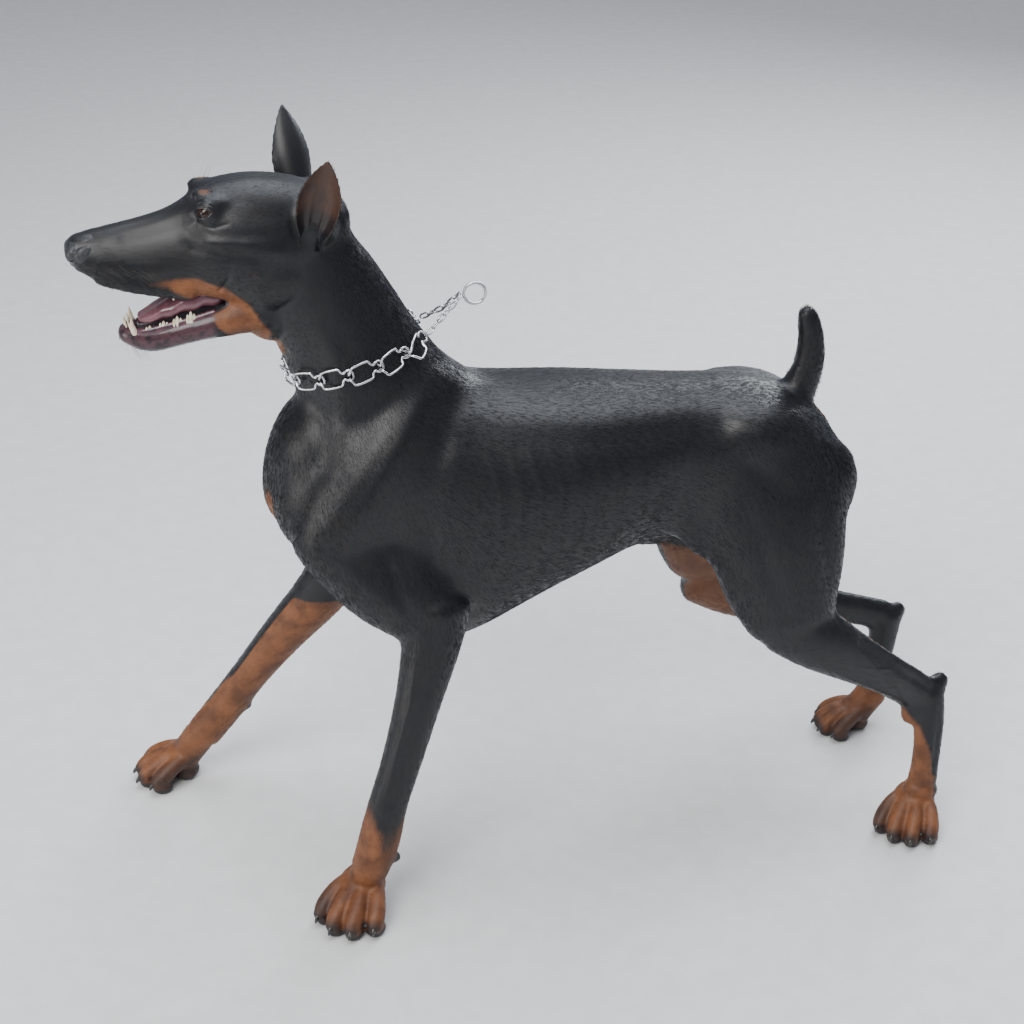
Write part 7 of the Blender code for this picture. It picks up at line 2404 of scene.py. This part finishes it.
class DOG_OT_skin(bpy.types.Operator):
    """Make the one skin of the whole dog and store its markings"""

    bl_idname = "dog.skin"
    bl_label = "Skin"

    def execute(self, context):
        roof, floor = mouth_cutters()
        mouth_tree = surface_of((roof, floor))
        discard(roof)
        discard(floor)
        skin = make_skin()
        mouth, lip, on_ear, inner = mark_skin(skin, mouth_tree)
        mesh = skin.data
        mesh.calc_loop_triangles()
        triangles = np.empty(len(mesh.loop_triangles) * 3, dtype=np.int32)
        mesh.loop_triangles.foreach_get("vertices", triangles)
        triangles = triangles.reshape(-1, 3)
        co = mesh_points(mesh)
        nrm = mesh_normals(mesh)
        q = to_head(co)
        fold = q.copy()
        fold[:, 1] = np.abs(q[:, 1])
        eye = np.linalg.norm(fold - np.array(EYE_CENTRE), axis=1)
        density = np.ones(len(co))
        density *= 1 - mouth
        density *= smooth_step(0.0028, 0.0060, lip)
        density *= smooth_step(EYE_RADIUS + 0.0022, EYE_RADIUS + 0.0050, eye)
        density *= 1 - np.maximum(pad_mask(co, nrm), smooth_step(0.018, 0.010, co[:, 2]) * (nrm[:, 2] < -0.2))
        nose = np.linalg.norm((fold - np.array((-0.5290, 0.0, 0.8215))) / np.array((1.0, 1.15, 1.0)), axis=1)
        density *= smooth_step(0.0185, 0.0215, nose)
        density *= 1 - 0.85 * inner * on_ear
        size = np.ones(len(co))
        muzzle = smooth_step(-0.410, -0.450, q[:, 0]) * (q[:, 2] > 0.66)
        size *= 1 - 0.42 * muzzle
        size *= 1 - 0.25 * on_ear
        feet = smooth_step(0.080, 0.050, co[:, 2])
        size *= 1 - 0.40 * feet
        density *= 1 + 0.8 * np.maximum(muzzle, feet)
        values = {}
        for name in ("rust", "pencil"):
            stored = np.empty(len(co), dtype=np.float32)
            mesh.attributes[name].data.foreach_get("value", stored)
            values[name] = stored
        made["skin_data"] = (co, nrm, triangles, coat_region(co), density, size, values)
        made["skin_tree"] = BVHTree.FromPolygons([Vector(p) for p in co], triangles.tolist())
        made["skin"] = place_piece(
            skin, "skin", skin_material(context.scene.dog_coat), FLESH_NODES)
        return {"FINISHED"}


class DOG_OT_nose(bpy.types.Operator):
    """Make the nose leather with its nostrils"""

    bl_idname = "dog.nose"
    bl_label = "Nose leather"

    def execute(self, context):
        material = nose_material(context.scene.dog_face)
        place_piece(nose_leather(), "nose_leather", material, ("nose",))
        return {"FINISHED"}


class DOG_OT_eyes(bpy.types.Operator):
    """Make both eyeballs and the moist rims of their lids"""

    bl_idname = "dog.eyes"
    bl_label = "Eyes"

    def execute(self, context):
        material = eye_material(context.scene.dog_face)
        rim_material = wet_flesh_material("moist_lid_rim", (0.014, 0.012, 0.013), (0.030, 0.022, 0.022), 0.20)
        rims = []
        for side, name in ((-1, "left"), (1, "right")):
            ball_obj, place = eyeball(side)
            ball_obj.matrix_world = Matrix.Translation(CENTRE_SHIFT) @ place
            ball_obj.name = "eyeball_" + name
            ball_obj.data.shade_smooth()
            ball_obj.data.materials.append(material)
            bpy.context.view_layer.update()
            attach(ball_obj, "root")
            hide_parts("eye_" + name)
            rims.append(lid_rim(side))
        place_piece(join("lid_rims", rims), "lid_rims", rim_material)
        return {"FINISHED"}


class DOG_OT_mouth(bpy.types.Operator):
    """Make the tongue, the gums and both rows of teeth"""

    bl_idname = "dog.mouth"
    bl_label = "Mouth"

    def execute(self, context):
        settings = context.scene.dog_face
        colour = tuple(settings.tongue)
        deep = tuple(c * 0.62 for c in colour)
        material = wet_flesh_material("wet_tongue", colour, deep, 0.24)
        place_piece(tongue(), "tongue_wet", material, ("tongue",))
        material = wet_flesh_material("wet_gums", (0.120, 0.046, 0.062), (0.042, 0.024, 0.034), 0.22)
        place_piece(gums(), "gums", material)
        row = join("teeth", lower_teeth() + upper_teeth())
        row.data.transform(head_turn())
        place_piece(row, "teeth", tooth_material(settings))
        return {"FINISHED"}


class DOG_OT_claws(bpy.types.Operator):
    """Make the sixteen claws"""

    bl_idname = "dog.claws"
    bl_label = "Claws"

    def execute(self, context):
        pieces = []
        for place, scale, _ in paw_frames():
            pieces += claws(place, scale)
        place_piece(join("claws", pieces), "claws", claw_material())
        return {"FINISHED"}


class DOG_OT_coat(bpy.types.Operator):
    """Grow the short coat over the skin"""

    bl_idname = "dog.coat"
    bl_label = "Short coat"

    def execute(self, context):
        settings = context.scene.dog_coat
        material = coat_material(settings)
        for index in range(len(COAT_PIECES)):
            grow_coat(index, made["skin_data"], settings, material)
        return {"FINISHED"}


class DOG_OT_whiskers(bpy.types.Operator):
    """Make the whiskers of the muzzle, brows, cheeks and chin"""

    bl_idname = "dog.whiskers"
    bl_label = "Whiskers"

    def execute(self, context):
        black = (0.012, 0.011, 0.011)
        brown = (0.030, 0.026, 0.024)
        material = wet_flesh_material("black_whiskers", black, brown, 0.6, 0.0)
        place_piece(whiskers(made["skin_tree"]), "whiskers", material)
        return {"FINISHED"}


class DOG_OT_collar(bpy.types.Operator):
    """Make the steel collar: hooked links, two runs of chain and the ring"""

    bl_idname = "dog.collar"
    bl_label = "Collar"

    def execute(self, context):
        settings = context.scene.dog_collar
        steel = steel_material(settings)
        verts = []
        faces = []
        for name in ("neck", "torso", "head"):
            obj = frame["nodes"][name]
            start = len(verts)
            verts += [obj.matrix_world @ v.co - CENTRE_SHIFT for v in obj.data.vertices]
            faces += [tuple(i + start for i in p.vertices) for p in obj.data.polygons]
        tree = BVHTree.FromPolygons(verts, faces)
        links, ends = collar_links(tree, settings.wire)
        for k, link_obj in enumerate(links):
            place_piece(link_obj, link_obj.name, steel, ("collar_link_%02d" % (k + 1),))
        for side, end in (("right", ends[0]), ("left", ends[1])):
            name = "small_chain_" + side
            run = chain_run(name, end, settings.chain)
            place_piece(run, name, steel, ("chain_" + side,))
        turns = [2 * math.pi * i / 72 for i in range(72)]
        circle = [RING_CENTRE + Vector((math.cos(a), 0, math.sin(a))) * RING_RADIUS for a in turns]
        ring = wire("round_ring", circle, RING_WIRE, 14, True)
        place_piece(ring, "round_ring", steel, ("collar_ring",))
        return {"FINISHED"}


class DOG_OT_stage(bpy.types.Operator):
    """Set out the floor, the soft lights and the camera"""

    bl_idname = "dog.stage"
    bl_label = "Floor, lights and camera"

    def execute(self, context):
        settings = context.scene.dog_stage
        mat, tree, shader = new_material("pale_floor")
        speck = noise(tree, 30.0, 6.0)
        base = tuple(settings.floor)
        colour = mix_colour(tree, map_range(tree, speck, 0.3, 0.7), base, tuple(c * 0.94 for c in base))
        link(tree, colour, shader.inputs["Base Color"])
        shader.inputs["Roughness"].default_value = 0.75
        floor = new_object("floor", ((-30, -30, 0), (30, -30, 0), (30, 30, 0), (-30, 30, 0)), [(0, 1, 2, 3)])
        floor.data.materials.append(mat)
        world = context.scene.world or bpy.data.worlds.new("studio")
        context.scene.world = world
        world.use_nodes = True
        back = world.node_tree.nodes["Background"]
        back.inputs["Color"].default_value = (0.84, 0.89, 1.0, 1.0)
        back.inputs["Strength"].default_value = 0.42 * settings.light
        for name, place, aim, size, power, colour in (
            ("key_light", (-1.6, -2.4, 3.2), (0.0, 0.0, 0.4), 2.2, 130.0, (1.0, 0.98, 0.95)),
            ("top_light", (0.3, 0.4, 3.4), (0.0, 0.0, 0.5), 3.0, 120.0, (0.88, 0.93, 1.0)),
            ("rim_light", (1.8, 2.2, 2.0), (0.0, 0.0, 0.5), 1.6, 60.0, (0.90, 0.95, 1.0)),
            ("low_light", (-2.6, -1.0, 0.9), (-0.2, 0.0, 0.4), 1.4, 26.0, (1.0, 0.97, 0.94)),
        ):
            data = bpy.data.lights.new(name, "AREA")
            data.shape = "DISK"
            data.size = size
            data.energy = power * settings.light
            data.color = colour
            lamp = bpy.data.objects.new(name, data)
            context.collection.objects.link(lamp)
            lamp.location = place
            lamp.rotation_euler = (Vector(aim) - Vector(place)).to_track_quat("-Z", "Y").to_euler()
        data = bpy.data.cameras.new("camera")
        data.sensor_width = 36.0
        data.lens = 73.83
        camera = bpy.data.objects.new("camera", data)
        context.collection.objects.link(camera)
        camera.location = (-0.4255, -2.1838, 1.6331)
        aim = Vector((-0.0395, 0.0074, 0.4500))
        camera.rotation_euler = (aim - camera.location).to_track_quat("-Z", "Y").to_euler()
        context.scene.camera = camera
        return {"FINISHED"}


OPERATORS = (
    DOG_OT_skin, DOG_OT_nose, DOG_OT_eyes, DOG_OT_mouth, DOG_OT_claws, DOG_OT_coat, DOG_OT_whiskers,
    DOG_OT_collar, DOG_OT_stage,
)


class DOG_PT_panel(bpy.types.Panel):
    """Buttons for every piece of the dog, in the order of making"""

    bl_idname = "DOG_PT_panel"
    bl_label = "Doberman Pinscher"
    bl_space_type = "VIEW_3D"
    bl_region_type = "UI"
    bl_category = "Dog"

    def draw(self, context):
        scene = context.scene
        for group in (scene.dog_coat, scene.dog_face, scene.dog_collar, scene.dog_stage):
            box = self.layout.box()
            for prop in group.bl_rna.properties:
                if prop.identifier not in ("rna_type", "name"):
                    box.prop(group, prop.identifier)
        for operator in OPERATORS:
            self.layout.operator(operator.bl_idname)


GROUPS = (
    ("dog_coat", CoatSettings), ("dog_face", FaceSettings), ("dog_collar", CollarSettings),
    ("dog_stage", StageSettings),
)


def register():
    """Register the settings, the operators and the panel."""
    for name, group in GROUPS:
        bpy.utils.register_class(group)
        setattr(bpy.types.Scene, name, bpy.props.PointerProperty(type=group))
    for item in OPERATORS + (DOG_PT_panel,):
        bpy.utils.register_class(item)


def unregister():
    """Take everything back out."""
    for item in reversed(OPERATORS + (DOG_PT_panel,)):
        bpy.utils.unregister_class(item)
    for name, group in reversed(GROUPS):
        delattr(bpy.types.Scene, name)
        bpy.utils.unregister_class(group)


def main():
    """Make the whole dog."""
    register()
    bpy.ops.dog.skin()
    bpy.ops.dog.nose()
    bpy.ops.dog.eyes()
    bpy.ops.dog.mouth()
    bpy.ops.dog.claws()
    bpy.ops.dog.coat()
    bpy.ops.dog.whiskers()
    bpy.ops.dog.collar()
    bpy.ops.dog.stage()


if __name__ == "__main__":
    main()
